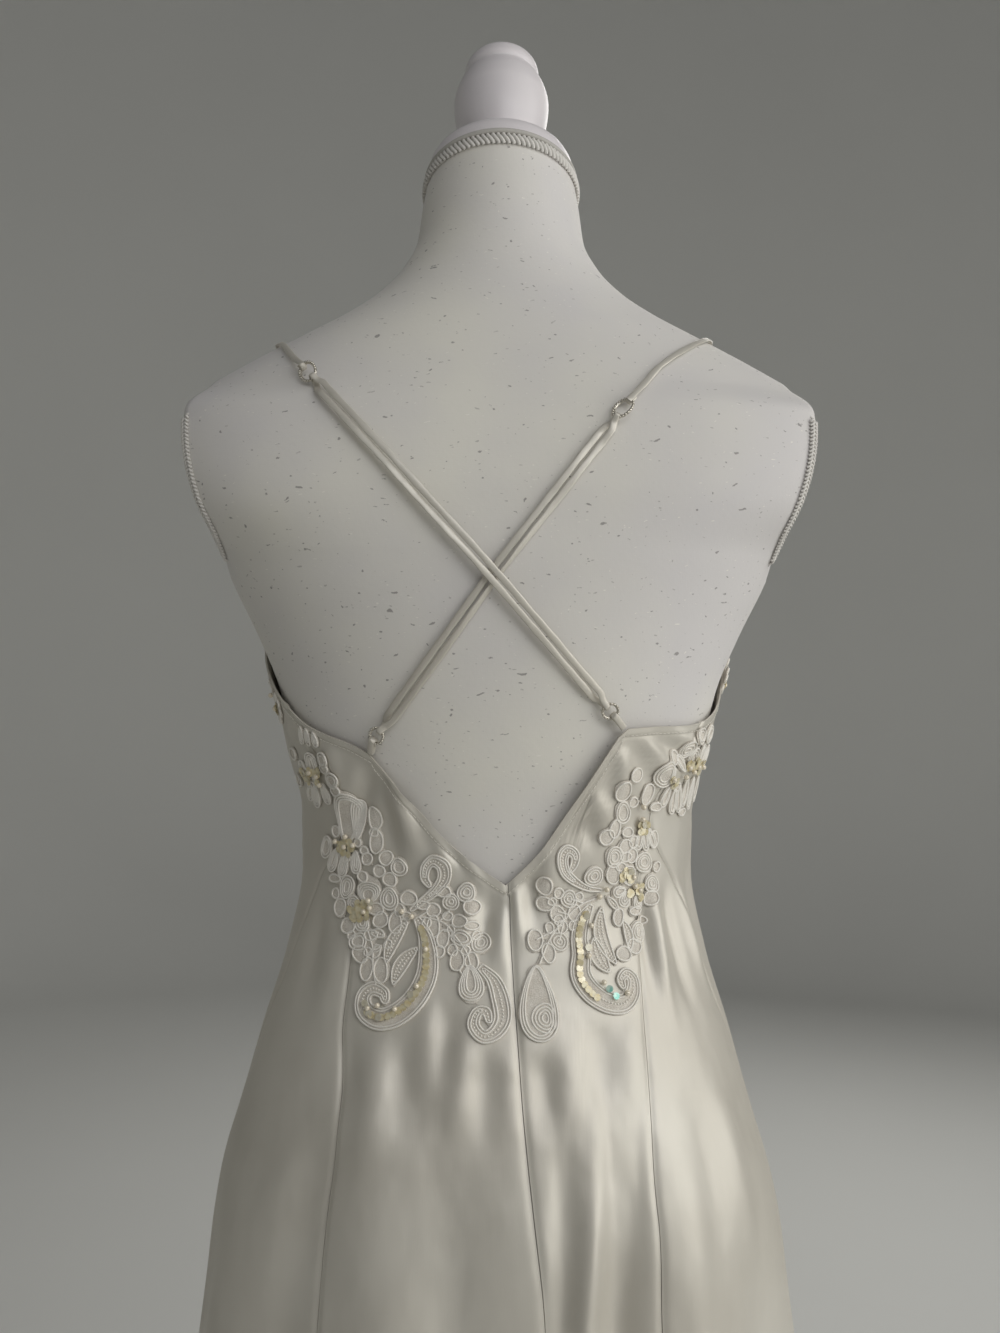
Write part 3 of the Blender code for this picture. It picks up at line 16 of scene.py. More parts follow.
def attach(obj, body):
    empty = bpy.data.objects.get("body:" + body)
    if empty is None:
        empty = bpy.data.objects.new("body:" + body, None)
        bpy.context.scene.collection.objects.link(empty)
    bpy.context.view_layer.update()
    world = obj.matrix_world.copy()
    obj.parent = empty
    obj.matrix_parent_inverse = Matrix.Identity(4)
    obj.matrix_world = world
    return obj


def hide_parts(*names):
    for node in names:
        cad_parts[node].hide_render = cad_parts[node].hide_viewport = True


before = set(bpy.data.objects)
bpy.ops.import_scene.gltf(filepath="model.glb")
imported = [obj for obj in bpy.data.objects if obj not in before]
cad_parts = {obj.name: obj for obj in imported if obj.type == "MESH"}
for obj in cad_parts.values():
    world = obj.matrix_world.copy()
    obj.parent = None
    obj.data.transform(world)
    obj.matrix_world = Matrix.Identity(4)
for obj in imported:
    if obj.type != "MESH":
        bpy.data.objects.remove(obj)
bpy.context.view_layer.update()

# ---------------------------------------------------------------- driving sizes
CLOTH = 0.0010  # satin with its seam allowances
EASE = 0.0036  # outside of the cloth above the form where it lies close
SEAM_GAP = 0.0004
HEM_HEIGHT = 0.130
SEAT_HEIGHT = 0.850
SEAT_BLEND = 0.100
EDGE_HEM = 0.0046  # width of the narrow turned hem along the top edge
EDGE_HEM_RISE = 0.0005
SKIRT_HEM = 0.0160
SEAM_DIP = 0.0009  # how far the cloth dives into a seam
SEAM_REACH = 0.0022  # over what distance it does

FormRing = namedtuple("FormRing", "height half_width back front squareness tilt")
FORM_RINGS = (
    FormRing(0.745, 0.1570, 0.1100, -0.0940, 2.20, 0.0),
    FormRing(0.800, 0.1630, 0.1190, -0.1010, 2.20, 0.0),
    FormRing(0.860, 0.1630, 0.1230, -0.1060, 2.20, 0.0),
    FormRing(0.905, 0.1525, 0.1160, -0.1080, 2.20, 0.0),
    FormRing(0.953, 0.1405, 0.0990, -0.1070, 2.20, 0.0),
    FormRing(1.000, 0.1268, 0.0810, -0.1020, 2.15, 0.0),
    FormRing(1.050, 0.1182, 0.0690, -0.0980, 2.10, 0.0),
    FormRing(1.080, 0.1185, 0.0690, -0.0980, 2.10, 0.0),
    FormRing(1.120, 0.1280, 0.0750, -0.1010, 2.15, 0.0),
    FormRing(1.158, 0.1362, 0.0830, -0.1060, 2.20, 0.0),
    FormRing(1.190, 0.1490, 0.0890, -0.1100, 2.20, 0.0),
    FormRing(1.217, 0.1620, 0.0925, -0.1110, 2.25, 0.0),
    FormRing(1.240, 0.1730, 0.0945, -0.1080, 2.30, 0.0),
    FormRing(1.270, 0.2030, 0.0945, -0.1010, 2.40, 0.0),
    FormRing(1.300, 0.2170, 0.0905, -0.0920, 2.40, 0.0),
    FormRing(1.322, 0.2190, 0.0845, -0.0840, 2.35, 0.0),
    FormRing(1.338, 0.1900, 0.0770, -0.0780, 2.20, 0.0),
    FormRing(1.350, 0.1700, 0.0710, -0.0740, 2.15, 0.0),
    FormRing(1.363, 0.1480, 0.0640, -0.0710, 2.10, 0.0),
    FormRing(1.376, 0.1240, 0.0570, -0.0690, 2.05, 1.0),
    FormRing(1.389, 0.1000, 0.0500, -0.0670, 2.00, 2.0),
    FormRing(1.402, 0.0800, 0.0430, -0.0660, 2.00, 4.0),
    FormRing(1.418, 0.0640, 0.0360, -0.0670, 2.00, 7.0),
    FormRing(1.437, 0.0535, 0.0310, -0.0700, 2.00, 12.0),
    FormRing(1.460, 0.0500, 0.0280, -0.0730, 2.00, 17.0),
    FormRing(1.481, 0.0462, 0.0240, -0.0710, 2.00, 20.0),
)
FORM_WIDEST = 0.220
ARM_TOP_HEIGHT = 1.318
ARM_BOTTOM_HEIGHT = 1.232
ARM_TOP_X = 0.1830
ARM_CURVE = 3.5  # how strongly the cut end of the shoulder curves in below its top
ARM_CURVE_HEIGHT = 0.065
ARM_SLOPE = 0.28
ARM_ROUNDING = 0.010
ARM_ROUNDING_HEIGHT = 0.020
ARM_SHOULDER_HEIGHT = 1.350
ARM_SHOULDER_SLOPE = 0.25
ARM_FLAT_LEAST = 12.0

Mound = namedtuple("Mound", "angle height spread_angle spread_height rise")
FORM_MOUNDS = (
    Mound(148.0, 1.222, 21.0, 0.046, 0.027),
    Mound(-148.0, 1.222, 21.0, 0.046, 0.027),
    Mound(38.0, 1.270, 24.0, 0.050, 0.004),
    Mound(-38.0, 1.270, 24.0, 0.050, 0.004),
)

SkirtRing = namedtuple("SkirtRing", "height half_width back front squareness")
SKIRT_RINGS = (
    SkirtRing(0.130, 0.2480, 0.2140, -0.2020, 2.05),
    SkirtRing(0.300, 0.2310, 0.1960, -0.1810, 2.05),
    SkirtRing(0.500, 0.2100, 0.1740, -0.1560, 2.10),
    SkirtRing(0.700, 0.1880, 0.1510, -0.1310, 2.15),
    SkirtRing(0.795, 0.1765, 0.1390, -0.1190, 2.20),
    SkirtRing(0.860, 0.1685, 0.1335, -0.1120, 2.20),
    SkirtRing(0.920, 0.1540, 0.1225, -0.1120, 2.20),
    SkirtRing(0.960, 0.1425, 0.1040, -0.1110, 2.20),
)

Fold = namedtuple(
    "Fold", "start angle_start angle_seat angle_hem spread_seat spread_hem depth_seat depth_hem"
)
FOLDS = (
    Fold(0.985, -13.0, -10.6, -13.5, 2.3, 3.0, -0.0050, -0.012),
    Fold(0.965, -21.0, -13.9, -19.0, 2.7, 3.4, 0.0050, 0.013),
    Fold(0.995, -29.0, -20.5, -26.0, 3.9, 4.4, -0.0085, -0.018),
    Fold(0.960, -42.0, -36.0, -39.0, 7.0, 7.0, 0.0055, 0.015),
    Fold(0.920, -60.0, -58.0, -57.0, 8.0, 7.0, -0.0035, -0.016),
    Fold(0.900, -78.0, -77.0, -76.0, 9.0, 7.5, 0.0020, 0.014),
    Fold(0.860, -98.0, -97.0, -95.0, 9.0, 7.0, -0.0020, -0.016),
    Fold(0.860, -116.0, -115.0, -113.0, 9.0, 7.0, 0.0015, 0.014),
    Fold(0.840, -134.0, -133.0, -131.0, 8.0, 7.0, -0.0015, -0.016),
    Fold(0.850, -153.0, -152.0, -150.0, 8.0, 7.5, 0.0020, 0.015),
    Fold(0.860, -171.0, -170.0, -168.0, 8.0, 7.0, -0.0020, -0.014),
    Fold(0.840, 171.0, 172.0, 173.0, 8.0, 7.0, 0.0015, 0.014),
    Fold(0.850, 152.0, 153.0, 154.0, 8.0, 7.0, -0.0020, -0.016),
    Fold(0.850, 132.0, 133.0, 135.0, 8.0, 7.0, 0.0015, 0.015),
    Fold(0.850, 114.0, 115.0, 117.0, 8.0, 7.0, -0.0020, -0.016),
    Fold(0.870, 96.0, 97.0, 98.0, 9.0, 7.0, 0.0020, 0.014),
    Fold(0.900, 78.0, 78.0, 79.0, 9.0, 7.0, -0.0025, -0.015),
    Fold(0.920, 60.0, 59.0, 60.0, 8.0, 7.5, 0.0025, 0.014),
    Fold(0.960, 44.0, 39.0, 40.0, 8.0, 7.0, -0.0040, -0.017),
    Fold(0.990, 27.0, 18.5, 20.0, 7.5, 7.5, 0.0050, 0.018),
    Fold(0.990, 9.0, 5.0, 3.5, 5.0, 6.0, -0.0040, -0.015),
)
FOLD_SEAT_HEIGHT = 0.830
LIFTS = (
    Mound(-24.0, 1.105, 17.0, 0.045, 0.0045),
    Mound(13.0, 1.070, 10.0, 0.020, 0.0015),
    Mound(180.0, 1.190, 26.0, 0.050, 0.0180),
    Mound(137.0, 1.245, 16.0, 0.040, 0.0025),
    Mound(-137.0, 1.245, 16.0, 0.040, 0.0025),
)

Seams = namedtuple("Seams", "height back side_left gore_left front_left side_right gore_right front_right")
SEAMS = (
    Seams(0.130, -10.0, 88.0, 57.0, 146.0, -88.0, 55.0, -146.0),
    Seams(0.500, -9.0, 88.0, 57.5, 147.0, -88.0, 57.0, -147.0),
    Seams(0.825, -7.5, 90.0, 59.0, 148.0, -89.0, 60.5, -148.0),
    Seams(0.880, -6.0, 90.0, 58.5, 148.0, -90.0, 60.0, -148.0),
    Seams(0.930, -4.7, 84.0, 51.0, 149.0, -84.0, 51.2, -149.0),
    Seams(0.972, -3.9, 75.0, 38.0, 150.0, -74.0, 38.3, -150.0),
    Seams(1.012, -3.3, 68.5, 29.0, 150.0, -68.5, 28.7, -150.0),
    Seams(1.045, -2.8, 60.5, 19.0, 150.0, -60.5, 19.0, -150.0),
    Seams(1.067, -2.1, 50.5, 6.5, 150.0, -50.5, 6.0, -150.0),
    Seams(1.085, -2.1, 46.5, 0.0, 150.0, -46.5, 0.0, -150.0),
    Seams(1.120, -2.1, 55.0, 0.0, 149.5, -55.0, 0.0, -149.5),
    Seams(1.160, -2.1, 70.0, 0.0, 149.0, -70.0, 0.0, -149.0),
    Seams(1.220, -2.1, 80.0, 0.0, 149.0, -80.0, 0.0, -149.0),
    Seams(1.284, -2.1, 88.0, 0.0, 152.0, -88.0, 0.0, -152.0),
)

# The rim between its corners. A separate script worked out many of the places on the back, from positions
# read by eye.
EdgePoint = namedtuple("EdgePoint", "angle height")
TOP_EDGE = (
    (
        EdgePoint(-180.0, 1.1760), EdgePoint(-172.0, 1.1920), EdgePoint(-162.0, 1.2260),
        EdgePoint(-152.0, 1.2840),
    ),
    (
        EdgePoint(-152.0, 1.2840), EdgePoint(-143.0, 1.2620), EdgePoint(-130.0, 1.2320),
        EdgePoint(-115.0, 1.2080), EdgePoint(-103.0, 1.1880), EdgePoint(-90.0, 1.1630),
        EdgePoint(-80.0, 1.1510), EdgePoint(-72.2, 1.1451), EdgePoint(-63.6, 1.1407),
        EdgePoint(-55.0, 1.1390), EdgePoint(-42.6, 1.1390), EdgePoint(-29.8, 1.1379),
    ),
    (EdgePoint(-29.8, 1.1379), EdgePoint(-25.7, 1.1226), EdgePoint(-19.4, 1.0971), EdgePoint(-10.9, 1.0686),
     EdgePoint(-2.1, 1.0488)),
    (EdgePoint(-2.1, 1.0488), EdgePoint(3.8, 1.0585), EdgePoint(11.4, 1.0714), EdgePoint(20.6, 1.0920),
     EdgePoint(27.0, 1.1079), EdgePoint(32.0, 1.1221)),
    (
        EdgePoint(32.0, 1.1221), EdgePoint(38.7, 1.1281), EdgePoint(48.2, 1.1334),
        EdgePoint(55.7, 1.1382), EdgePoint(63.0, 1.1456), EdgePoint(69.7, 1.1525),
        EdgePoint(84.0, 1.1690), EdgePoint(100.0, 1.1890), EdgePoint(115.0, 1.2080),
        EdgePoint(130.0, 1.2320), EdgePoint(143.0, 1.2620), EdgePoint(152.0, 1.2840),
    ),
    (EdgePoint(152.0, 1.2840), EdgePoint(162.0, 1.2260), EdgePoint(172.0, 1.1920), EdgePoint(180.0, 1.1760)),
)


# ---------------------------------------------------------------- reading the tables
def smooth_step(value):
    value = np.clip(value, 0.0, 1.0)
    return value * value * (3.0 - 2.0 * value)


def column_slopes(keys, values):
    """Slopes of a smooth curve through a column: flat at each turning point."""
    steps = np.diff(values) / np.diff(keys)
    slopes = np.empty(len(keys))
    slopes[0], slopes[-1] = steps[0], steps[-1]
    before, after = steps[:-1], steps[1:]
    same = before * after > 0.0
    total = np.where(same, before + after, 1.0)
    slopes[1:-1] = np.where(same, 2.0 * before * after / total, 0.0)
    return slopes


def read(rows, column, at, key="height"):
    """One column of a table at many heights (or angles), on a smooth curve through the rows."""
    keys = np.array([getattr(row, key) for row in rows])
    values = np.array([getattr(row, column) for row in rows])
    slopes = column_slopes(keys, values)
    at = np.clip(at, keys[0], keys[-1])
    index = np.clip(np.searchsorted(keys, at, side="right") - 1, 0, len(keys) - 2)
    span = keys[index + 1] - keys[index]
    t = (at - keys[index]) / span
    return (
        values[index] * (1 + 2 * t) * (1 - t) ** 2
        + slopes[index] * span * t * (1 - t) ** 2
        + values[index + 1] * t * t * (3 - 2 * t)
        - slopes[index + 1] * span * t * t * (1 - t)
    )


def turn_between(angle, other):
    return (angle - other + 180.0) % 360.0 - 180.0


def bell(angle, height, mound):
    across = turn_between(angle, mound.angle) / mound.spread_angle
    along = (height - mound.height) / mound.spread_height
    return np.exp(-across * across - along * along)


# ---------------------------------------------------------------- the form's and the cloth's surface
def ring_point(angle, half_width, back, front, squareness):
    power = 2.0 / squareness
    side = np.sin(np.radians(angle))
    depth = np.cos(np.radians(angle))
    x = half_width * np.sign(side) * np.abs(side) ** power
    y = (back + front) / 2.0 + (back - front) / 2.0 * np.sign(depth) * np.abs(depth) ** power
    return x, y


def outward(angle, half_width, half_depth):
    side = np.sin(np.radians(angle)) / half_width
    depth = np.cos(np.radians(angle)) / half_depth
    size = np.hypot(side, depth)
    return side / size, depth / size


def form_point(angle, height, above=0.0):
    """Points of the form's surface, or of a surface at a distance above it, as an array of rows x, y, z."""
    angle, height = np.broadcast_arrays(np.asarray(angle, float), np.asarray(height, float))
    half_width, back, front, squareness, tilt = (
        read(FORM_RINGS, column, height) for column in ("half_width", "back", "front", "squareness", "tilt")
    )
    x, y = ring_point(angle, half_width, back, front, squareness)
    out_x, out_y = outward(angle, half_width, (back - front) / 2.0)
    rise = above + sum(mound.rise * bell(angle, height, mound) for mound in FORM_MOUNDS)
    x, y = x + out_x * rise, y + out_y * rise
    z = height + np.tan(np.radians(tilt)) * (y - (back + front) / 2.0)
    return np.stack([x, y, z], axis=-1)


def fold_rise(angle, height):
    """Height of the skirt's folds over the cone that the skirt would be without them."""
    total = np.zeros(np.broadcast(angle, height).shape)
    for fold in FOLDS:
        high = (fold.start - height) / (fold.start - FOLD_SEAT_HEIGHT)
        low = (FOLD_SEAT_HEIGHT - height) / (FOLD_SEAT_HEIGHT - HEM_HEIGHT)
        above = height > FOLD_SEAT_HEIGHT
        middle = np.where(
            above,
            fold.angle_start + (fold.angle_seat - fold.angle_start) * high,
            fold.angle_seat + (fold.angle_hem - fold.angle_seat) * smooth_step(low),
        )
        lower_spread = fold.spread_seat + (fold.spread_hem - fold.spread_seat) * low
        spread = np.where(above, fold.spread_seat, lower_spread)
        depth = np.where(
            above,
            fold.depth_seat * smooth_step(high),
            fold.depth_seat + (fold.depth_hem - fold.depth_seat) * low,
        )
        across = turn_between(angle, middle) / spread
        total = total + np.where(height < fold.start, depth * np.exp(-across * across), 0.0)
    return total


# Small creases that only the finest cloth shows: a soft ridge (+) or trough (-) along a line from one place
# to another. A separate script worked out the ends of most of those on the back, from positions read by eye.
# Their widths and rises are mostly set one by one, and so is every crease of the front.
Crease = namedtuple("Crease", "angle height to_angle to_height width rise")
CREASES = (
    Crease(31.4, 1.118, 43.0, 1.073, 0.0050, -0.0023), Crease(34.8, 1.117, 53.2, 1.082, 0.0060, 0.0017),
    Crease(28.2, 1.111, 19.9, 1.058, 0.0110, 0.0046), Crease(30.8, 1.112, 26.6, 1.050, 0.0060, -0.0026),
    Crease(24.6, 1.102, 12.0, 1.056, 0.0050, -0.0019), Crease(21.0, 1.091, 8.4, 1.049, 0.0045, 0.0017),
    Crease(14.7, 1.075, 4.8, 1.052, 0.0035, -0.0014), Crease(10.1, 1.069, 1.8, 1.045, 0.0030, 0.0013),
    Crease(46.8, 1.131, 44.5, 1.095, 0.0060, 0.0019), Crease(54.1, 1.129, 54.9, 1.098, 0.0050, -0.0017),
    Crease(0.9, 1.049, 3.8, 1.006, 0.0050, -0.0022), Crease(-1.3, 1.040, -0.3, 0.998, 0.0040, 0.0019),
    Crease(6.3, 1.046, 7.5, 1.008, 0.0050, 0.0020), Crease(34.3, 0.974, 29.7, 0.916, 0.0090, -0.0022),
    Crease(26.9, 0.970, 21.5, 0.891, 0.0100, 0.0024), Crease(19.9, 0.976, 16.9, 0.915, 0.0090, -0.0020),
    Crease(14.4, 0.995, 12.2, 0.924, 0.0080, 0.0019), Crease(10.4, 0.992, 9.0, 0.929, 0.0060, -0.0020),
    Crease(6.2, 0.978, 5.5, 0.910, 0.0070, 0.0022), Crease(1.7, 0.968, 1.4, 0.901, 0.0060, -0.0016),
    Crease(-1.5, 0.973, -1.7, 0.911, 0.0050, 0.0012), Crease(45.3, 1.019, 42.2, 0.951, 0.0100, 0.0020),
    Crease(57.9, 1.034, 53.1, 0.968, 0.0090, -0.0026), Crease(-4.8, 1.052, -5.6, 1.008, 0.0040, 0.0020),
    Crease(-8.4, 1.062, -8.8, 1.019, 0.0050, -0.0019),
    Crease(-13.0, 1.075, -14.1, 1.037, 0.0050, 0.0017),
    Crease(-19.9, 1.090, -28.0, 1.068, 0.0060, -0.0022),
    Crease(-23.1, 1.103, -31.7, 1.076, 0.0050, 0.0020),
    Crease(-31.9, 1.133, -47.3, 1.094, 0.0050, -0.0022),
    Crease(-34.3, 1.135, -58.6, 1.098, 0.0045, 0.0022),
    Crease(-38.4, 1.136, -68.0, 1.108, 0.0045, -0.0019),
    Crease(-44.6, 1.136, -72.0, 1.122, 0.0040, 0.0017),
    Crease(-29.1, 1.130, -33.8, 1.096, 0.0045, 0.0019),
    Crease(-27.6, 1.124, -29.2, 1.088, 0.0045, -0.0016),
    Crease(-43.7, 1.048, -40.9, 0.977, 0.0050, -0.0032),
    Crease(-48.3, 1.053, -44.5, 0.961, 0.0060, 0.0035),
    Crease(-54.5, 1.051, -55.4, 0.962, 0.0050, -0.0026),
    Crease(-62.5, 1.053, -69.4, 0.968, 0.0060, 0.0023),
    Crease(-76.0, 1.066, -72.0, 1.006, 0.0060, -0.0020),
    Crease(-9.6, 0.967, -8.8, 0.915, 0.0060, -0.0018),
    Crease(-14.8, 0.977, -12.8, 0.905, 0.0080, 0.0020),
    Crease(-23.5, 0.979, -20.3, 0.928, 0.0070, -0.0018),
    Crease(-31.7, 0.982, -27.4, 0.926, 0.0060, 0.0016), Crease(44.1, 0.920, 45.7, 0.811, 0.0140, 0.0022),
    Crease(36.1, 0.933, 34.4, 0.818, 0.0120, -0.0020),
    Crease(-47.9, 0.949, -43.0, 0.814, 0.0120, -0.0024),
    Crease(-57.5, 0.945, -55.9, 0.802, 0.0100, 0.0020),
    Crease(150.0, 1.185, 163.0, 1.080, 0.0080, -0.0018),
    Crease(-150.0, 1.185, -164.0, 1.085, 0.0080, -0.0018),
    Crease(158.0, 1.195, 172.0, 1.100, 0.0070, 0.0016),
    Crease(-158.0, 1.195, -171.0, 1.095, 0.0070, 0.0016),
    Crease(132.0, 1.200, 118.0, 1.120, 0.0080, -0.0015),
    Crease(-131.0, 1.200, -119.0, 1.125, 0.0080, -0.0015),
    Crease(124.0, 1.205, 108.0, 1.130, 0.0070, 0.0020),
    Crease(-125.0, 1.205, -107.0, 1.130, 0.0070, 0.0020),
    Crease(96.0, 1.120, 92.0, 1.010, 0.0090, 0.0023), Crease(-97.0, 1.120, -92.0, 1.015, 0.0090, 0.0023),
    Crease(175.0, 1.110, 176.0, 0.960, 0.0100, 0.0018),
    Crease(-168.0, 1.080, -166.0, 0.930, 0.0100, -0.0018),
    Crease(142.0, 1.060, 140.0, 0.900, 0.0110, 0.0020),
    Crease(-141.0, 1.060, -138.0, 0.905, 0.0110, 0.0020),
    Crease(120.0, 1.040, 122.0, 0.890, 0.0100, -0.0026),
    Crease(-121.0, 1.040, -123.0, 0.900, 0.0100, -0.0026),
)


CREASE_DEPTH = 1.25  # times the rises in the table


def crease_rise(angle, height):
    """Height of the small creases at a place; each fades out at both its ends."""
    total = np.zeros(np.broadcast(angle, height).shape)
    for crease in CREASES:
        reach = 0.115 * math.pi / 180.0
        x, y = turn_between(angle, crease.angle) * reach, height - crease.height
        run_x, run_y = (crease.to_angle - crease.angle) * reach, crease.to_height - crease.height
        length = math.hypot(run_x, run_y)
        along = (x * run_x + y * run_y) / (length * length)
        across = (x * run_y - y * run_x) / length / crease.width
        ends = smooth_step(along * 3.0) * smooth_step((1.0 - along) * 2.0)
        total = total + crease.rise * ends * np.exp(-across * across)
    return CREASE_DEPTH * total


def cloth_point(angle, height, above=0.0):
    """Points of the outside of the cloth."""
    angle, height = np.broadcast_arrays(np.asarray(angle, float), np.asarray(height, float))
    close = form_point(angle, np.maximum(height, FORM_RINGS[0].height), EASE)
    share = smooth_step((height - SEAT_HEIGHT) / SEAT_BLEND)
    half_width, back, front, squareness = (
        read(SKIRT_RINGS, column, height) for column in ("half_width", "back", "front", "squareness")
    )
    x, y = ring_point(angle, half_width, back, front, squareness)
    x, y = x + (close[..., 0] - x) * share, y + (close[..., 1] - y) * share
    out_x, out_y = outward(angle, half_width, (back - front) / 2.0)
    clear = (x - close[..., 0]) * out_x + (y - close[..., 1]) * out_y
    rise = fold_rise(angle, height)
    rounding = np.minimum(0.002, np.abs(rise) * 0.5)
    rise = (rise - clear + np.hypot(rise + clear, rounding)) / 2.0
    rise = rise + sum(lift.rise * bell(angle, height, lift) for lift in LIFTS)
    rise = rise + crease_rise(angle, height)
    points = np.stack([x + out_x * rise, y + out_y * rise, height], axis=-1)
    if np.any(above):
        points = points + cloth_normal(angle, height) * np.asarray(above)[..., None]
    return points


def surface_normal(surface, angle, height):
    across = surface(angle + 0.25, height) - surface(angle - 0.25, height)
    along = surface(angle, height + 0.001) - surface(angle, height - 0.001)
    normal = np.cross(along, across)
    return normal / np.linalg.norm(normal, axis=-1, keepdims=True)


def cloth_normal(angle, height):
    return surface_normal(cloth_point, np.asarray(angle, float), np.asarray(height, float))


def top_edge(angle):
    """Height of the dress's top edge at many angles."""
    angle = turn_between(np.asarray(angle, float), 0.0)
    height = np.empty(angle.shape)
    for stretch in TOP_EDGE:
        inside = (angle >= stretch[0].angle) & (angle <= stretch[-1].angle)
        height[inside] = read(stretch, "height", angle[inside], key="angle")
    return height


# ---------------------------------------------------------------- meshes
def piece(name, points, faces, finish, smooth_angle=50.0):
    """Mesh object at the origin, made of points in metres and faces."""
    mesh = bpy.data.meshes.new(name)
    mesh.from_pydata([tuple(point) for point in np.asarray(points, float).tolist()], [], faces)
    mesh.update()
    mesh.shade_smooth()
    mesh.set_sharp_from_angle(angle=math.radians(smooth_angle))
    made = bpy.data.objects.new(name, mesh)
    bpy.context.scene.collection.objects.link(made)
    made.data.materials.append(finish)
    return made


def add_uv(made, places, name="cloth"):
    """UV map in metres: one place for each of the mesh's points."""
    layer = made.data.uv_layers.new(name=name)
    corners = np.empty(len(made.data.loops), int)
    made.data.loops.foreach_get("vertex_index", corners)
    layer.data.foreach_set("uv", np.asarray(places, float)[corners].ravel())


def walled_grid(outside, inside):
    """Points and faces of a closed wall between two grids of points (columns, rows, 3), faces outwards."""
    columns, rows = outside.shape[:2]
    points = np.concatenate([outside.reshape(-1, 3), inside.reshape(-1, 3)])
    index = np.arange(columns * rows).reshape(columns, rows)
    a, b = index[:-1, :-1].ravel(), index[:-1, 1:].ravel()
    c, d = index[1:, 1:].ravel(), index[1:, :-1].ravel()
    front = np.stack([a, b, c, d], axis=1)
    back = front[:, ::-1] + columns * rows
    rim = np.concatenate([index[0, ::-1], index[1:, 0], index[-1, 1:], index[-2:0:-1, -1]])
    after = np.roll(rim, -1)
    sides = np.stack([rim, after, after + columns * rows, rim + columns * rows], axis=1)
    return points, np.concatenate([front, back, sides]).tolist()


def outwards(made):
    """Turns a closed mesh so that its faces point out."""
    work = bmesh.new()
    work.from_mesh(made.data)
    bmesh.ops.recalc_face_normals(work, faces=work.faces)
    work.to_mesh(made.data)
    work.free()
    return made


# ---------------------------------------------------------------- node trees
def add(tree, kind, links=None, **settings):
    """Adds one node: settings are its properties; links are its inputs, each a socket or a plain value."""
    made = tree.nodes.new(kind)
    for name, value in settings.items():
        setattr(made, name, value)
    for name, value in (links or {}).items():
        socket = made.inputs[name]
        if isinstance(value, bpy.types.NodeSocket):
            tree.links.new(value, socket)
        else:
            socket.default_value = value
    return made


def srgb(code, alpha=1.0):
    """Linear colour of an sRGB hex value."""
    parts = [int(code[i:i + 2], 16) / 255.0 for i in (1, 3, 5)]
    linear = [part / 12.92 if part <= 0.04045 else ((part + 0.055) / 1.055) ** 2.4 for part in parts]
    return (*linear, alpha)


def new_material(name):
    """Empty material, and its node tree."""
    made = bpy.data.materials.new(name)
    made.use_nodes = True
    made.node_tree.nodes.clear()
    return made, made.node_tree


def closed_with(made, links):
    """Ends a material in a shader that has these inputs."""
    tree = made.node_tree
    shader = add(tree, "ShaderNodeBsdfPrincipled", links)
    add(tree, "ShaderNodeOutputMaterial", {"Surface": shader.outputs["BSDF"]})
    return made


# ---------------------------------------------------------------- materials
def bridal_satin():
    """Heavy polyester bridal satin: long warp floats give a silky gloss, wider across than along them."""
    made, tree = new_material("ivory bridal satin")
    cloth = add(tree, "ShaderNodeUVMap", uv_map="cloth").outputs["UV"]
    where = add(tree, "ShaderNodeTexCoord").outputs["Object"]
    tone = add(tree, "ShaderNodeTexNoise", {"Vector": where, "Scale": 9.0, "Detail": 3.0}).outputs["Fac"]
    share = add(tree, "ShaderNodeMapRange", {"Value": tone, "From Min": 0.35, "From Max": 0.65}).outputs[0]
    colour = add(tree, "ShaderNodeMix", {0: share, 6: srgb("#CFCABF"), 7: srgb("#DCD8CE")}, data_type="RGBA")
    # Warp floats: 0.25 mm threads, drawn 0.5 mm wide so that they show as a faint vertical grain.
    threads = add(tree, "ShaderNodeMapping", {"Vector": cloth, "Scale": (2000.0, 90.0, 1.0)}).outputs[0]
    grain = add(tree, "ShaderNodeTexNoise", {"Vector": threads, "Scale": 1.0}).outputs["Fac"]
    # Cockles of about 33 by 60 mm and ripples of about 12 by 26 mm, over all of the cloth.
    broad = add(tree, "ShaderNodeMapping", {"Vector": where, "Scale": (30.0, 30.0, 17.0)}).outputs[0]
    cockle = add(tree, "ShaderNodeTexNoise", {"Vector": broad, "Scale": 1.0, "Roughness": 0.45})
    close = add(tree, "ShaderNodeMapping", {"Vector": where, "Scale": (85.0, 85.0, 38.0)}).outputs[0]
    ripple = add(tree, "ShaderNodeTexNoise", {"Vector": close, "Scale": 1.0, "Detail": 1.0, "Roughness": 0.4})
    gloss = add(
        tree, "ShaderNodeMapRange",
        {"Value": grain, "From Min": 0.3, "From Max": 0.7, "To Min": 0.42, "To Max": 0.50},
    )
    soft = add(
        tree, "ShaderNodeBump", {"Height": cockle.outputs["Fac"], "Strength": 0.40, "Distance": 0.006}
    ).outputs[0]
    soft = add(
        tree, "ShaderNodeBump",
        {"Height": ripple.outputs["Fac"], "Strength": 0.16, "Distance": 0.0016, "Normal": soft},
    ).outputs[0]
    fine = add(
        tree, "ShaderNodeBump", {"Height": grain, "Strength": 0.12, "Distance": 0.0002, "Normal": soft}
    )
    tangent = add(tree, "ShaderNodeTangent", direction_type="UV_MAP", uv_map="cloth")
    return closed_with(
        made,
        {
            "Base Color": colour.outputs[2], "Roughness": gloss.outputs[0], "Normal": fine.outputs[0],
            "Tangent": tangent.outputs[0], "Metallic": 0.36, "Anisotropic": 0.35, "IOR": 1.55,
            "Sheen Weight": 0.12, "Sheen Roughness": 0.35, "Sheen Tint": srgb("#FFF6E6"),
        },
    )


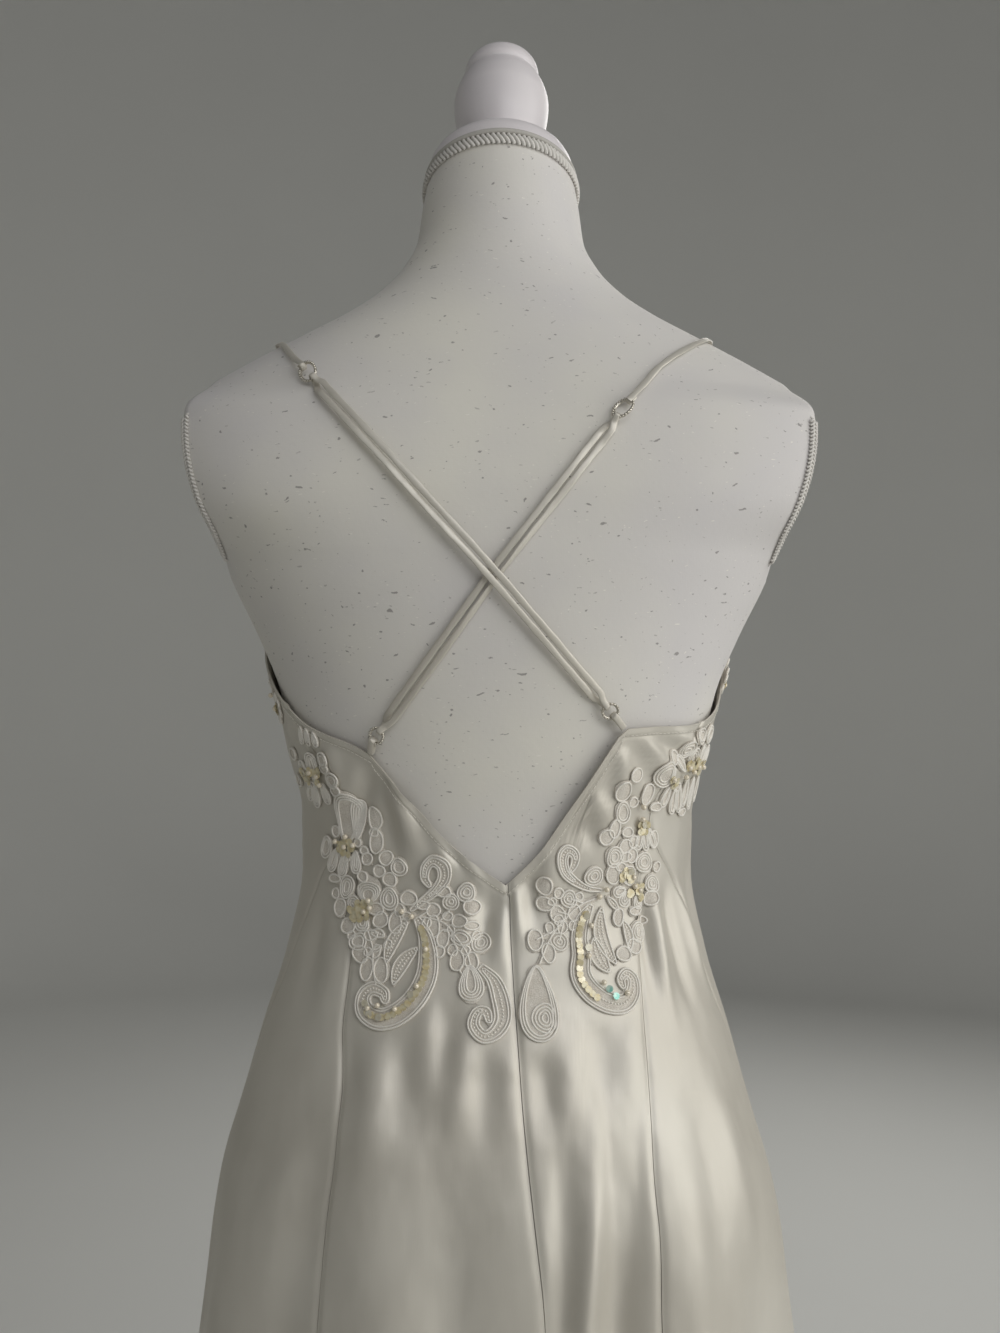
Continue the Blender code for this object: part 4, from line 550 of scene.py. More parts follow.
def lace_cord():
    """Satin rat-tail cord couched on net: round, soft gloss, with a slanting twist every 0.9 mm."""
    made, tree = new_material("ivory lace cord")
    along = add(tree, "ShaderNodeAttribute", attribute_name="along").outputs["Fac"]
    around = add(tree, "ShaderNodeAttribute", attribute_name="around").outputs["Fac"]
    down = add(tree, "ShaderNodeMath", {0: along, 1: 2.0 * math.pi / 0.0009}, operation="MULTIPLY").outputs[0]
    round_it = add(tree, "ShaderNodeMath", {0: around, 1: 2.0 * math.pi}, operation="MULTIPLY").outputs[0]
    turns = add(tree, "ShaderNodeMath", {0: down, 1: round_it}, operation="ADD").outputs[0]
    twist = add(tree, "ShaderNodeMath", {0: turns, 1: 0.0}, operation="SINE").outputs[0]
    where = add(tree, "ShaderNodeTexCoord").outputs["Object"]
    tone = add(tree, "ShaderNodeTexNoise", {"Vector": where, "Scale": 60.0}).outputs["Fac"]
    colour = add(tree, "ShaderNodeMix", {0: tone, 6: srgb("#F1ECE2"), 7: srgb("#FBF8F1")}, data_type="RGBA")
    relief = add(tree, "ShaderNodeBump", {"Height": twist, "Strength": 0.35, "Distance": 0.0002})
    return closed_with(
        made,
        {
            "Base Color": colour.outputs[2], "Normal": relief.outputs[0], "Roughness": 0.42,
            "Metallic": 0.15, "Sheen Weight": 0.3,
        },
    )


def lace_net():
    """Fine ivory net with flat stitched filling: matt, with 0.9 mm cells drawn as relief."""
    made, tree = new_material("ivory lace net")
    where = add(tree, "ShaderNodeTexCoord").outputs["Object"]
    cells = add(tree, "ShaderNodeTexVoronoi", {"Vector": where, "Scale": 1100.0}, feature="DISTANCE_TO_EDGE")
    threads = add(
        tree, "ShaderNodeMapRange",
        {
            "Value": cells.outputs["Distance"], "From Min": 0.02, "From Max": 0.16, "To Min": 1.0,
            "To Max": 0.0,
        },
    ).outputs[0]
    tone = add(tree, "ShaderNodeTexNoise", {"Vector": where, "Scale": 140.0, "Detail": 3.0}).outputs["Fac"]
    pale = add(
        tree, "ShaderNodeMapRange", {"Value": tone, "From Min": 0.4, "From Max": 0.6, "To Max": 0.35}
    ).outputs[0]
    colour = add(
        tree, "ShaderNodeMix", {0: threads, 6: srgb("#D2CABD"), 7: srgb("#EFE9DF")}, data_type="RGBA"
    )
    colour = add(tree, "ShaderNodeMix", {0: pale, 6: colour.outputs[2], 7: srgb("#F6F2E9")}, data_type="RGBA")
    relief = add(tree, "ShaderNodeBump", {"Height": threads, "Strength": 0.6, "Distance": 0.0002})
    return closed_with(
        made, {"Base Color": colour.outputs[2], "Normal": relief.outputs[0], "Roughness": 0.62}
    )


# Slubs in the form's cover: cells in a metre before they are stretched, largest size as a share of a cell,
# share of the cells left bare, strength and colour.
Slub = namedtuple("Slub", "density reach bare strength code")
SLUBS = (
    Slub(190.0, 0.22, 0.55, 0.62, "#6E6967"),
    Slub(260.0, 0.20, 0.40, 0.50, "#98938F"),
    Slub(280.0, 0.18, 0.40, 0.60, "#F8F5ED"),
)


def flecked_cover():
    """Cotton and linen cloth glued over the form: matt plain weave, with short dark and light slubs."""
    made, tree = new_material("flecked form cover")
    where = add(tree, "ShaderNodeTexCoord").outputs["Object"]
    tone = add(tree, "ShaderNodeTexNoise", {"Vector": where, "Scale": 7.0, "Detail": 3.0}).outputs["Fac"]
    share = add(tree, "ShaderNodeMapRange", {"Value": tone, "From Min": 0.35, "From Max": 0.65}).outputs[0]
    colour = add(
        tree, "ShaderNodeMix", {0: share, 6: srgb("#DAD7D6"), 7: srgb("#E7E4DB")}, data_type="RGBA"
    ).outputs[2]
    wobble = add(tree, "ShaderNodeTexNoise", {"Vector": where, "Scale": 95.0}).outputs["Color"]
    ragged = add(tree, "ShaderNodeTexNoise", {"Vector": where, "Scale": 1300.0, "Detail": 1.0})
    shift = add(tree, "ShaderNodeVectorMath", {0: wobble, "Scale": 2.6}, operation="SCALE").outputs[0]
    frayed = add(
        tree, "ShaderNodeVectorMath", {0: ragged.outputs["Color"], "Scale": 0.22}, operation="SCALE"
    ).outputs[0]
    shift = add(tree, "ShaderNodeVectorMath", {0: shift, 1: frayed}, operation="ADD").outputs[0]
    # Slubs lie along the weft: up to about 3 mm long, and less than half as high.
    for slub in SLUBS:
        stretch = (slub.density * 0.7, slub.density * 0.7, slub.density * 1.6)
        long_ways = add(tree, "ShaderNodeMapping", {"Vector": where, "Scale": stretch}).outputs[0]
        long_ways = add(tree, "ShaderNodeVectorMath", {0: long_ways, 1: shift}, operation="ADD").outputs[0]
        spots = add(tree, "ShaderNodeTexVoronoi", {"Vector": long_ways, "Scale": 1.0, "Randomness": 1.0})
        chance = add(tree, "ShaderNodeSeparateColor", {"Color": spots.outputs["Color"]}).outputs
        size = add(tree, "ShaderNodeMath", {0: chance[1], 1: slub.reach}, operation="MULTIPLY").outputs[0]
        depth = add(
            tree, "ShaderNodeMath", {0: spots.outputs["Distance"], 1: size}, operation="SUBTRACT"
        ).outputs[0]
        near = add(
            tree, "ShaderNodeMapRange",
            {"Value": depth, "From Min": -0.035, "From Max": 0.01, "To Min": slub.strength, "To Max": 0.0},
        ).outputs[0]
        kept = add(tree, "ShaderNodeMath", {0: chance[0], 1: slub.bare}, operation="GREATER_THAN").outputs[0]
        shown = add(tree, "ShaderNodeMath", {0: near, 1: kept}, operation="MULTIPLY").outputs[0]
        colour = add(
            tree, "ShaderNodeMix", {0: shown, 6: colour, 7: srgb(slub.code)}, data_type="RGBA"
        ).outputs[2]
    # Plain weave: 0.5 mm threads, drawn with one ridge each millimetre so that they show as a faint relief.
    bands = {"Vector": where, "Scale": 310.0, "Distortion": 3.0}
    weft = add(tree, "ShaderNodeTexWave", bands, bands_direction="Z").outputs["Fac"]
    warp = add(tree, "ShaderNodeTexWave", bands, bands_direction="X").outputs["Fac"]
    weave = add(tree, "ShaderNodeMath", {0: weft, 1: warp}, operation="MULTIPLY").outputs[0]
    weave = add(tree, "ShaderNodeMath", {0: weave, 1: 0.12}, operation="MULTIPLY").outputs[0]
    rough = add(tree, "ShaderNodeTexNoise", {"Vector": where, "Scale": 320.0, "Detail": 3.0}).outputs["Fac"]
    height = add(tree, "ShaderNodeMath", {0: weave, 1: rough}, operation="ADD").outputs[0]
    relief = add(tree, "ShaderNodeBump", {"Height": height, "Strength": 0.22, "Distance": 0.0004})
    return closed_with(
        made,
        {"Base Color": colour, "Normal": relief.outputs[0], "Roughness": 0.92, "Sheen Weight": 0.15},
    )


def braid_cotton():
    """Mercerised cotton braid: matt strands with a little gloss."""
    made, tree = new_material("braid cotton")
    where = add(tree, "ShaderNodeTexCoord").outputs["Object"]
    even = add(tree, "ShaderNodeMapping", {"Vector": where, "Scale": (900.0, 900.0, 900.0)}).outputs[0]
    fibre = add(tree, "ShaderNodeTexNoise", {"Vector": even, "Scale": 1.0}).outputs["Fac"]
    colour = add(tree, "ShaderNodeMix", {0: fibre, 6: srgb("#D2CFCA"), 7: srgb("#E8E5E0")}, data_type="RGBA")
    relief = add(tree, "ShaderNodeBump", {"Height": fibre, "Strength": 0.3, "Distance": 0.0002})
    return closed_with(
        made, {"Base Color": colour.outputs[2], "Normal": relief.outputs[0], "Roughness": 0.7}
    )


def painted(name, code, code_worn, roughness, orange_peel):
    """Sprayed paint: smooth, with faint orange peel and a slight change of gloss."""
    made, tree = new_material(name)
    where = add(tree, "ShaderNodeTexCoord").outputs["Object"]
    tone = add(tree, "ShaderNodeTexNoise", {"Vector": where, "Scale": 14.0, "Detail": 4.0}).outputs["Fac"]
    peel = add(tree, "ShaderNodeTexNoise", {"Vector": where, "Scale": 420.0}).outputs["Fac"]
    share = add(tree, "ShaderNodeMapRange", {"Value": tone, "From Min": 0.35, "From Max": 0.7}).outputs[0]
    colour = add(tree, "ShaderNodeMix", {0: share, 6: srgb(code), 7: srgb(code_worn)}, data_type="RGBA")
    gloss = add(
        tree, "ShaderNodeMapRange",
        {
            "Value": tone, "From Min": 0.3, "From Max": 0.7, "To Min": roughness - 0.05,
            "To Max": roughness + 0.08,
        },
    )
    relief = add(tree, "ShaderNodeBump", {"Height": peel, "Strength": orange_peel, "Distance": 0.0003})
    return closed_with(
        made,
        {
            "Base Color": colour.outputs[2], "Roughness": gloss.outputs[0], "Normal": relief.outputs[0],
            "Coat Weight": 0.15, "Coat Roughness": 0.2,
        },
    )


def ring_metal():
    """Nickel-plated cast ring with a beaded rim: bright, with dull grey in its hollows."""
    made, tree = new_material("nickel plate")
    where = add(tree, "ShaderNodeTexCoord").outputs["Object"]
    tone = add(tree, "ShaderNodeTexNoise", {"Vector": where, "Scale": 900.0}).outputs["Fac"]
    colour = add(tree, "ShaderNodeMix", {0: tone, 6: srgb("#B4AFA4"), 7: srgb("#E8E4DA")}, data_type="RGBA")
    gloss = add(
        tree, "ShaderNodeMapRange",
        {"Value": tone, "From Min": 0.3, "From Max": 0.7, "To Min": 0.16, "To Max": 0.34},
    )
    return closed_with(
        made, {"Base Color": colour.outputs[2], "Roughness": gloss.outputs[0], "Metallic": 1.0}
    )


def pearl_glaze():
    """Imitation pearl: cream lacquer over glass, with a clear coat that gives a small sharp highlight."""
    made, tree = new_material("cream pearl")
    where = add(tree, "ShaderNodeTexCoord").outputs["Object"]
    tone = add(tree, "ShaderNodeTexNoise", {"Vector": where, "Scale": 500.0}).outputs["Fac"]
    colour = add(tree, "ShaderNodeMix", {0: tone, 6: srgb("#E4D8BE"), 7: srgb("#F4ECDC")}, data_type="RGBA")
    return closed_with(
        made,
        {
            "Base Color": colour.outputs[2], "Roughness": 0.22, "Metallic": 0.15, "Coat Weight": 0.8,
            "Coat Roughness": 0.06,
        },
    )


def sequin_film(name, code, code_second, metallic):
    """Stamped film sequin: thin, glossy, with a flush of a second colour across it."""
    made, tree = new_material(name)
    where = add(tree, "ShaderNodeTexCoord").outputs["Object"]
    tone = add(tree, "ShaderNodeTexNoise", {"Vector": where, "Scale": 380.0, "Detail": 1.0}).outputs["Fac"]
    share = add(tree, "ShaderNodeMapRange", {"Value": tone, "From Min": 0.35, "From Max": 0.65}).outputs[0]
    colour = add(tree, "ShaderNodeMix", {0: share, 6: srgb(code), 7: srgb(code_second)}, data_type="RGBA")
    return closed_with(
        made,
        {
            "Base Color": colour.outputs[2], "Roughness": 0.16, "Metallic": metallic,
            "Transmission Weight": 0.25, "Coat Weight": 0.6,
        },
    )


SATIN = bridal_satin()
CORD = lace_cord()
NET = lace_net()
COVER = flecked_cover()
BRAID = braid_cotton()
PIPING = painted("grey neck piping", "#B4B1AB", "#C2BFB9", 0.6, 0.3)
WHITE_PAINT = painted("white turned wood", "#E0DBDE", "#E8E3E5", 0.42, 0.06)
WHITE_STEEL = painted("white powder-coated steel", "#D5D3CF", "#DEDCD8", 0.42, 0.22)
NICKEL = ring_metal()
PEARL = pearl_glaze()
GOLD_SEQUIN = sequin_film("golden film sequin", "#EADBAE", "#F8F0D2", 0.1)
CLEAR_SEQUIN = sequin_film("pearly film sequin", "#E6DFC8", "#F4F0E0", 0.2)
BLUE_SEQUIN = sequin_film("blue-green film sequin", "#9AE2D4", "#DDF6EC", 0.3)


# ---------------------------------------------------------------- panels of the dress
def seam(turn=0.0, **signs):
    """Function that gives a seam's angle at each height: columns of SEAMS, each with its sign, and a turn."""
    def angle(height):
        return turn + sum(sign * read(SEAMS, name, height) for name, sign in signs.items())

    return angle


back_seam = seam(back=1)
inner_left = seam(side_left=1, gore_left=-1)
inner_right = seam(side_right=1, gore_right=1)
side_left = seam(side_left=1)
side_right = seam(side_right=1)
front_left = seam(front_left=1)
front_right = seam(front_right=1)
front_right_round = seam(360.0, front_right=1)

TOP_ROWS = (
    0.0, 0.0005, 0.0012, 0.0022, 0.0033, 0.0042, 0.0048, 0.0056, 0.0067, 0.0080, 0.0094, 0.0108, 0.0124,
    0.0145,
)
GORE_TIP = 0.7  # degrees between the gore's seams where it begins


def seam_shares(count):
    """Shares of the way across a panel, close together at its seams."""
    even = np.linspace(0.0, 1.0, count)
    return even - 0.86 * np.sin(2.0 * math.pi * even) / (2.0 * math.pi)


def row_heights(top, rows):
    """Heights of the rows below each top: close together along the turned hem, wider down the skirt."""
    top = np.asarray(top)[:, None]
    near = top - np.array(TOP_ROWS)[None, :]
    start = top - TOP_ROWS[-1]
    share = np.linspace(0.0, 1.0, rows + 1)[1:][None, :] ** 1.12
    return np.concatenate([near, start + (HEM_HEIGHT - start) * share], axis=1)


def edge_slope(angle):
    """Cosine of the top edge's slope at many angles."""
    rise = (top_edge(angle + 0.4) - top_edge(angle - 0.4)) / (0.8 * math.pi / 180.0 * 0.105)
    return 1.0 / np.hypot(1.0, rise)


def panel_grid(first, second, columns, rows, gore=False):
    """Angles, heights and shares of a panel's grid, from its top edge to the hem."""
    shares = seam_shares(columns)
    if gore:
        heights = np.linspace(1.0849, HEM_HEIGHT, 4000)
        tip = heights[np.argmax(np.abs(second(heights) - first(heights)) > GORE_TIP)]
        top = np.full(columns, tip)
    else:
        top = np.full(columns, 1.10)
        for _ in range(50):
            angle = first(top) + (second(top) - first(top)) * shares
            top = top + (top_edge(angle) - top) * 0.5
    height = row_heights(top, rows)
    start, width = first(height), second(height) - first(height)
    half_gap = np.degrees(SEAM_GAP / 2.0 / read(SKIRT_RINGS, "half_width", height))
    inset = np.minimum(0.3, half_gap / np.abs(width))
    share = shares[:, None]
    angle = start + width * (inset + (1.0 - 2.0 * inset) * share)
    reach = np.abs(width) * math.pi / 180.0 * 0.135
    seam_distance = np.minimum(share, 1.0 - share) * reach
    return angle, height, seam_distance, top


def cloth_panel(name, first, second, columns, rows, gore=False):
    """One panel: a thin wall of satin that dives into its seams and is thicker along its turned hems."""
    angle, height, seam_distance, top = panel_grid(first, second, columns, rows, gore)
    above = -SEAM_DIP * np.exp(-((seam_distance / SEAM_REACH) ** 2))
    if not gore:
        from_edge = (top[:, None] - height) * edge_slope(angle[:, :1])
        turned = smooth_step((EDGE_HEM - from_edge) / 0.0009)
        groove = np.exp(-(((from_edge - EDGE_HEM - 0.0004) / 0.0007) ** 2))
        above = above + EDGE_HEM_RISE * turned - 0.0002 * groove
    from_hem = height - HEM_HEIGHT
    above = above + 0.0005 * smooth_step((SKIRT_HEM - from_hem) / 0.0015)
    outside = cloth_point(angle, height, above)
    inside = cloth_point(angle, height, above - CLOTH)
    points, faces = walled_grid(outside, inside)
    made = outwards(piece(name, points, faces, SATIN, 60.0))
    middle = (first(height) + second(height)) / 2.0
    across = (angle - middle) * math.pi / 180.0 * 0.13
    flat = np.stack([across, height], axis=-1).reshape(-1, 2)
    add_uv(made, np.concatenate([flat, flat]))
    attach(made, "root")
    return made


PANELS = (
    ("back_left", back_seam, inner_left, 66, 180, False),
    ("back_right", inner_right, back_seam, 66, 180, False),
    ("gore_left", inner_left, side_left, 40, 150, True),
    ("gore_right", inner_right, side_right, 40, 150, True),
    ("side_front_left", side_left, front_left, 46, 150, False),
    ("side_front_right", front_right, side_right, 46, 150, False),
    ("front_centre", front_left, front_right_round, 54, 150, False),
)
for name, first, second, columns, rows, gore in PANELS:
    made = cloth_panel("satin_" + name, first, second, columns, rows, gore)
    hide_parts(name)


# ---------------------------------------------------------------- the form
def arm_plane(height):
    """Distance from the middle to the flat cut end of the shoulder, which is rounded above."""
    above = np.clip((height - ARM_TOP_HEIGHT) / ARM_ROUNDING_HEIGHT, 0.0, 1.0)
    past = np.maximum(0.0, height - ARM_TOP_HEIGHT - ARM_ROUNDING_HEIGHT)
    depth = ARM_TOP_HEIGHT - height
    curved = np.minimum(depth, ARM_CURVE_HEIGHT)
    below = ARM_TOP_X - ARM_CURVE * curved ** 2 - ARM_SLOPE * (depth - curved)
    rounded = ARM_TOP_X - ARM_ROUNDING * above ** 2 - ARM_SHOULDER_SLOPE * past
    limit = np.where(height > ARM_TOP_HEIGHT, rounded, below)
    outside = (height < ARM_BOTTOM_HEIGHT) | (height > ARM_SHOULDER_HEIGHT)
    return np.where(outside, FORM_WIDEST, limit)


def flat_start(height, front_side):
    """Angle at which the form's section reaches the flat of the arm."""
    low = np.zeros_like(height)
    high = np.full_like(height, 90.0 - ARM_FLAT_LEAST / 2.0)
    for _ in range(24):
        middle = (low + high) / 2.0
        angle = 180.0 - middle if front_side else middle
        inside = form_point(angle, height)[..., 0] < arm_plane(height)
        low, high = np.where(inside, middle, low), np.where(inside, high, middle)
    return low


def form_rings(heights, back_columns, arm_columns, front_columns):
    """Rings of the form, with columns that follow the edge of each shoulder's flat end."""
    back_edge = flat_start(heights, False)[:, None]
    front_edge = 180.0 - flat_start(heights, True)[:, None]
    half = np.concatenate(
        [
            back_edge * np.linspace(0.0, 1.0, back_columns, endpoint=False),
            back_edge + (front_edge - back_edge) * np.linspace(0.0, 1.0, arm_columns, endpoint=False),
            front_edge + (180.0 - front_edge) * np.linspace(0.0, 1.0, front_columns),
        ],
        axis=1,
    )
    angle = np.concatenate([half, -half[:, -2:0:-1]], axis=1)
    points = form_point(angle, np.broadcast_to(heights[:, None], angle.shape))
    limit = arm_plane(heights)[:, None]
    points[..., 0] = np.clip(points[..., 0], -limit, limit)
    return points


def closed_rings(name, rings, finish, smooth_angle=50.0):
    """Closed solid through rings of equal count, with a flat end at each end."""
    rows, count = rings.shape[:2]
    index = np.arange(rows * count).reshape(rows, count)
    after = np.roll(index, -1, axis=1)
    sides = np.stack([index[:-1], after[:-1], after[1:], index[1:]], axis=-1).reshape(-1, 4)
    faces = sides.tolist() + [index[0, ::-1].tolist(), index[-1].tolist()]
    return outwards(piece(name, rings.reshape(-1, 3), faces, finish, smooth_angle))


def finished(made, slot, *nodes):
    """Puts a piece on the body and lets it stand for its solids."""
    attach(made, "root")
    if nodes:
        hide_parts(*nodes)
    return made


levels = np.concatenate(
    [
        np.linspace(0.745, 1.226, 71),
        np.linspace(1.238, 1.318, 32),
        np.linspace(1.3205, 1.349, 16),
        np.linspace(1.351, 1.481, 56),
    ]
)
torso_rings = form_rings(levels, 36, 14, 36)
finished(closed_rings("cover_torso", torso_rings, COVER, 70.0), "form_cover", "form_torso")


# ---------------------------------------------------------------- turned pieces
def smooth_profile(profile, fine=6):
    """Profile with extra points on a smooth curve through each run of its rounded points."""
    points = np.array(profile, float)
    made = []
    for i in range(len(points) - 1):
        before = points[max(0, i - 1)]
        after = points[min(len(points) - 1, i + 2)]
        start, end = points[i], points[i + 1]
        leave, arrive = (end - before) * 0.5, (after - start) * 0.5
        for t in np.linspace(0.0, 1.0, fine, endpoint=False):
            made.append(
                start * (1 + 2 * t) * (1 - t) ** 2 + leave * t * (1 - t) ** 2
                + end * t * t * (3 - 2 * t) - arrive * t * t * (1 - t)
            )
    made.append(points[-1])
    return np.array(made)


def turned(name, profile, steps, finish, place=Matrix.Identity(4), smooth_angle=35.0):
    """Turned solid: a profile of (radius, height), from its top to its bottom, spun round its axis."""
    profile = np.array([row for row in profile if row[0] > 1e-6])
    turn = np.linspace(0.0, 2.0 * math.pi, steps, endpoint=False)
    rings = np.stack(
        [
            profile[:, :1] * np.cos(turn),
            profile[:, :1] * np.sin(turn),
            np.broadcast_to(profile[:, 1:], (len(profile), steps)),
        ],
        axis=-1,
    )
    matrix = np.array(place)
    rings = rings @ matrix[:3, :3].T + matrix[:3, 3]
    return closed_rings(name, rings, finish, smooth_angle)


CAP_RADIUS = 0.0465
CAP_THICK = 0.0170
TOUCH_GAP = 0.0003
neck_ring = form_rings(np.array([1.481]), 7, 4, 7)[0]
neck_centre = Vector(neck_ring.mean(axis=0))
neck_tilt = math.radians(FORM_RINGS[-1].tilt)
cap_place = Matrix.Translation(neck_centre) @ Matrix.Rotation(neck_tilt, 4, "X")
cap_profile = (
    (0.001, CAP_THICK), (0.030, CAP_THICK), (0.0375, CAP_THICK - 0.0006), (0.0412, CAP_THICK - 0.0021),
    (0.0440, CAP_THICK - 0.0050), (0.0458, CAP_THICK - 0.0088), (CAP_RADIUS, CAP_THICK - 0.0130),
    (CAP_RADIUS, TOUCH_GAP + 0.0010), (CAP_RADIUS - 0.0008, TOUCH_GAP), (0.001, TOUCH_GAP),
)
finished(turned("turned_neck_cap", cap_profile, 96, WHITE_PAINT, cap_place), "white_paint", "form_neck_cap")
knob_foot = cap_place @ Vector((0.0, 0.0, CAP_THICK + TOUCH_GAP))
knob_place = Matrix.Translation(knob_foot) @ Matrix.Rotation(neck_tilt, 4, "X")
knob_profile = (
    (0.0010, 0.0860), (0.0060, 0.0857), (0.0120, 0.0844), (0.0180, 0.0815), (0.0225, 0.0765),
    (0.0243, 0.0715), (0.0243, 0.0685), (0.0236, 0.0668), (0.0238, 0.0656), (0.0257, 0.0625),
    (0.0285, 0.0560), (0.0305, 0.0480), (0.0308, 0.0420), (0.0300, 0.0330), (0.0280, 0.0230),
    (0.0240, 0.0120), (0.0220, 0.0),
)
knob = turned("turned_neck_knob", smooth_profile(knob_profile), 96, WHITE_PAINT, knob_place)
finished(knob, "white_paint", "form_neck_knob")

PLATE_THICK = 0.009
COLLAR_HEIGHT = 0.055
POLE_RADIUS = 0.016
BASE_RADIUS = 0.170
BASE_THICK = 0.014
plate_top = 0.745 - TOUCH_GAP
plate_ring = form_rings(np.array([0.745]), 36, 14, 36)[0] * (0.93, 0.93, 1.0)
plate_heights = (plate_top - PLATE_THICK, plate_top)
plate_rings = np.array([plate_ring - (0.0, 0.0, 0.745 - height) for height in plate_heights])
finished(closed_rings("painted_base_plate", plate_rings, WHITE_PAINT), "white_paint", "form_base_plate")
collar_top = plate_top - PLATE_THICK - TOUCH_GAP
collar_profile = (
    (0.001, collar_top), (0.0445, collar_top), (0.045, collar_top - 0.0006), (0.045, collar_top - 0.0044),
    (0.0440, collar_top - 0.0053), (0.0260, collar_top - 0.0078), (0.0240, collar_top - 0.0095),
    (0.0220, collar_top - COLLAR_HEIGHT + 0.001), (0.0212, collar_top - COLLAR_HEIGHT),
    (0.001, collar_top - COLLAR_HEIGHT),
)
finished(turned("steel_collar", collar_profile, 72, WHITE_STEEL), "stand_paint", "stand_collar")
pole_top = collar_top - COLLAR_HEIGHT - TOUCH_GAP
pole_profile = (
    (0.001, pole_top), (POLE_RADIUS, pole_top), (POLE_RADIUS, 0.400), (POLE_RADIUS, BASE_THICK + TOUCH_GAP),
    (0.001, BASE_THICK + TOUCH_GAP),
)
finished(turned("steel_pole", pole_profile, 64, WHITE_STEEL), "stand_paint", "stand_pole")
base_profile = (
    (0.001, BASE_THICK), (BASE_RADIUS - 0.0125, BASE_THICK - 0.0007),
    (BASE_RADIUS - 0.0060, BASE_THICK - 0.0022), (BASE_RADIUS - 0.0025, BASE_THICK - 0.0042),
    (BASE_RADIUS - 0.0004, BASE_THICK - 0.0072), (BASE_RADIUS, BASE_THICK - 0.0095),
    (BASE_RADIUS, 0.0008), (BASE_RADIUS - 0.0008, 0.0), (0.001, 0.0),
)
finished(turned("iron_foot", base_profile, 144, WHITE_STEEL), "stand_paint", "stand_base")


# ---------------------------------------------------------------- lace: its drawing
# Lace is drawn flat, in millimetres: girth from centre back along the waist, and height. Every motif is a
# formula between a few places, and gives strokes of cord, discs that the net must cover, and knots.
MM = 0.001
CHART_HEIGHT = 1.060
FRONT_CHART_RADIUS = 0.145
CORD_RADIUS = 0.00058
CORD_STEP = 1.3  # length of one stretch of a cord, in millimetres
CORD_ROW = 1.35  # between two cords that run side by side, in millimetres
FILLING_LINES = 1  # further loops of cord that fill every petal
FILLED_RING = 3.8  # rings from this radius up, in millimetres, hold one more loop
NET_MARGIN = 0.7  # net outside the outermost cord, in millimetres
NET_PITCH = 1.5
NET_LIFT = 0.0004  # underside of the net above the satin
NET_THICK = 0.0003
NET_SWELL = 0.0005  # extra height of the net in the middle of a padded petal
CORD_LIFT = 0.0013  # middle of a cord above the satin
RING_SWELL = 1.16  # loops lie against each other

Ring = namedtuple("Ring", "girth height wide high turn lines", defaults=(0, 1))
Petal = namedtuple("Petal", "girth height to_girth to_height width lines")
Leaf = namedtuple("Leaf", "girth height to_girth to_height width bend")
Stop = namedtuple("Stop", "girth height half_width")
Patch = namedtuple("Patch", "girth height wide high count")
Pearl = namedtuple("Pearl", "girth height")
Drawing = namedtuple("Drawing", "strokes discs knots")
Stroke = namedtuple("Stroke", "points closed share")


def spaced(points, closed=False, step=CORD_STEP):
    """Even places along a line; columns after the third, such as a direction, are carried along."""
    if closed:
        points = np.concatenate([points, points[:1]])
    lengths = np.concatenate([[0.0], np.cumsum(np.linalg.norm(np.diff(points[:, :3], axis=0), axis=1))])
    count = max(4, round(lengths[-1] / step))
    at = np.linspace(0.0, lengths[-1], count + 1)
    even = np.stack([np.interp(at, lengths, column) for column in points.T], axis=1)
    return even[:-1] if closed else even


def smooth_line(stops, fine=8):
    """Smooth curve through a few stops, with every column carried along."""
    stops = np.array(stops, float)
    padded = np.concatenate([2 * stops[:1] - stops[1:2], stops, 2 * stops[-1:] - stops[-2:-1]])
    made = []
    for i in range(1, len(padded) - 2):
        start, end = padded[i], padded[i + 1]
        leave, arrive = (end - padded[i - 1]) / 2.0, (padded[i + 2] - start) / 2.0
        t = np.linspace(0.0, 1.0, fine, endpoint=False)[:, None]
        made.append(
            start * (1 + 2 * t) * (1 - t) ** 2 + leave * t * (1 - t) ** 2
            + end * t * t * (3 - 2 * t) - arrive * t * t * (1 - t)
        )
    return np.concatenate(made + [stops[-1:]])


def draw_ring(ring):
    """Loop of cord, with further loops inside it."""
    turn = math.radians(ring.turn)
    around = np.linspace(0.0, 2.0 * math.pi, 40, endpoint=False)
    uneven = RING_SWELL * (
        1.0 + 0.10 * np.sin(around + ring.height) + 0.06 * np.sin(2.0 * around + ring.girth)
    )
    uneven = uneven + 0.05 * np.sin(3.0 * around + ring.height)
    strokes, middle = [], np.array([ring.girth, ring.height])
    for line in range(ring.lines + (min(ring.wide, ring.high) > FILLED_RING)):
        wide, high = ring.wide - CORD_ROW * line, ring.high - CORD_ROW * line
        if min(wide, high) < 1.0:
            break
        x, y = wide * np.cos(around) * uneven, high * np.sin(around) * uneven
        flat = np.stack(
            [x * math.cos(turn) - y * math.sin(turn), x * math.sin(turn) + y * math.cos(turn)], axis=1
        )
        strokes.append(Stroke(spaced(middle + flat, True), True, 1.0 if line == 0 else 0.72))
    small, large = sorted((ring.wide, ring.high))
    axis = np.array(
        [math.cos(turn), math.sin(turn)] if ring.wide > ring.high else [-math.sin(turn), math.cos(turn)]
    )
    discs = [(*(middle + axis * share * (large - small)), small * RING_SWELL) for share in (-1.0, 0.0, 1.0)]
    return Drawing(strokes, discs, [])


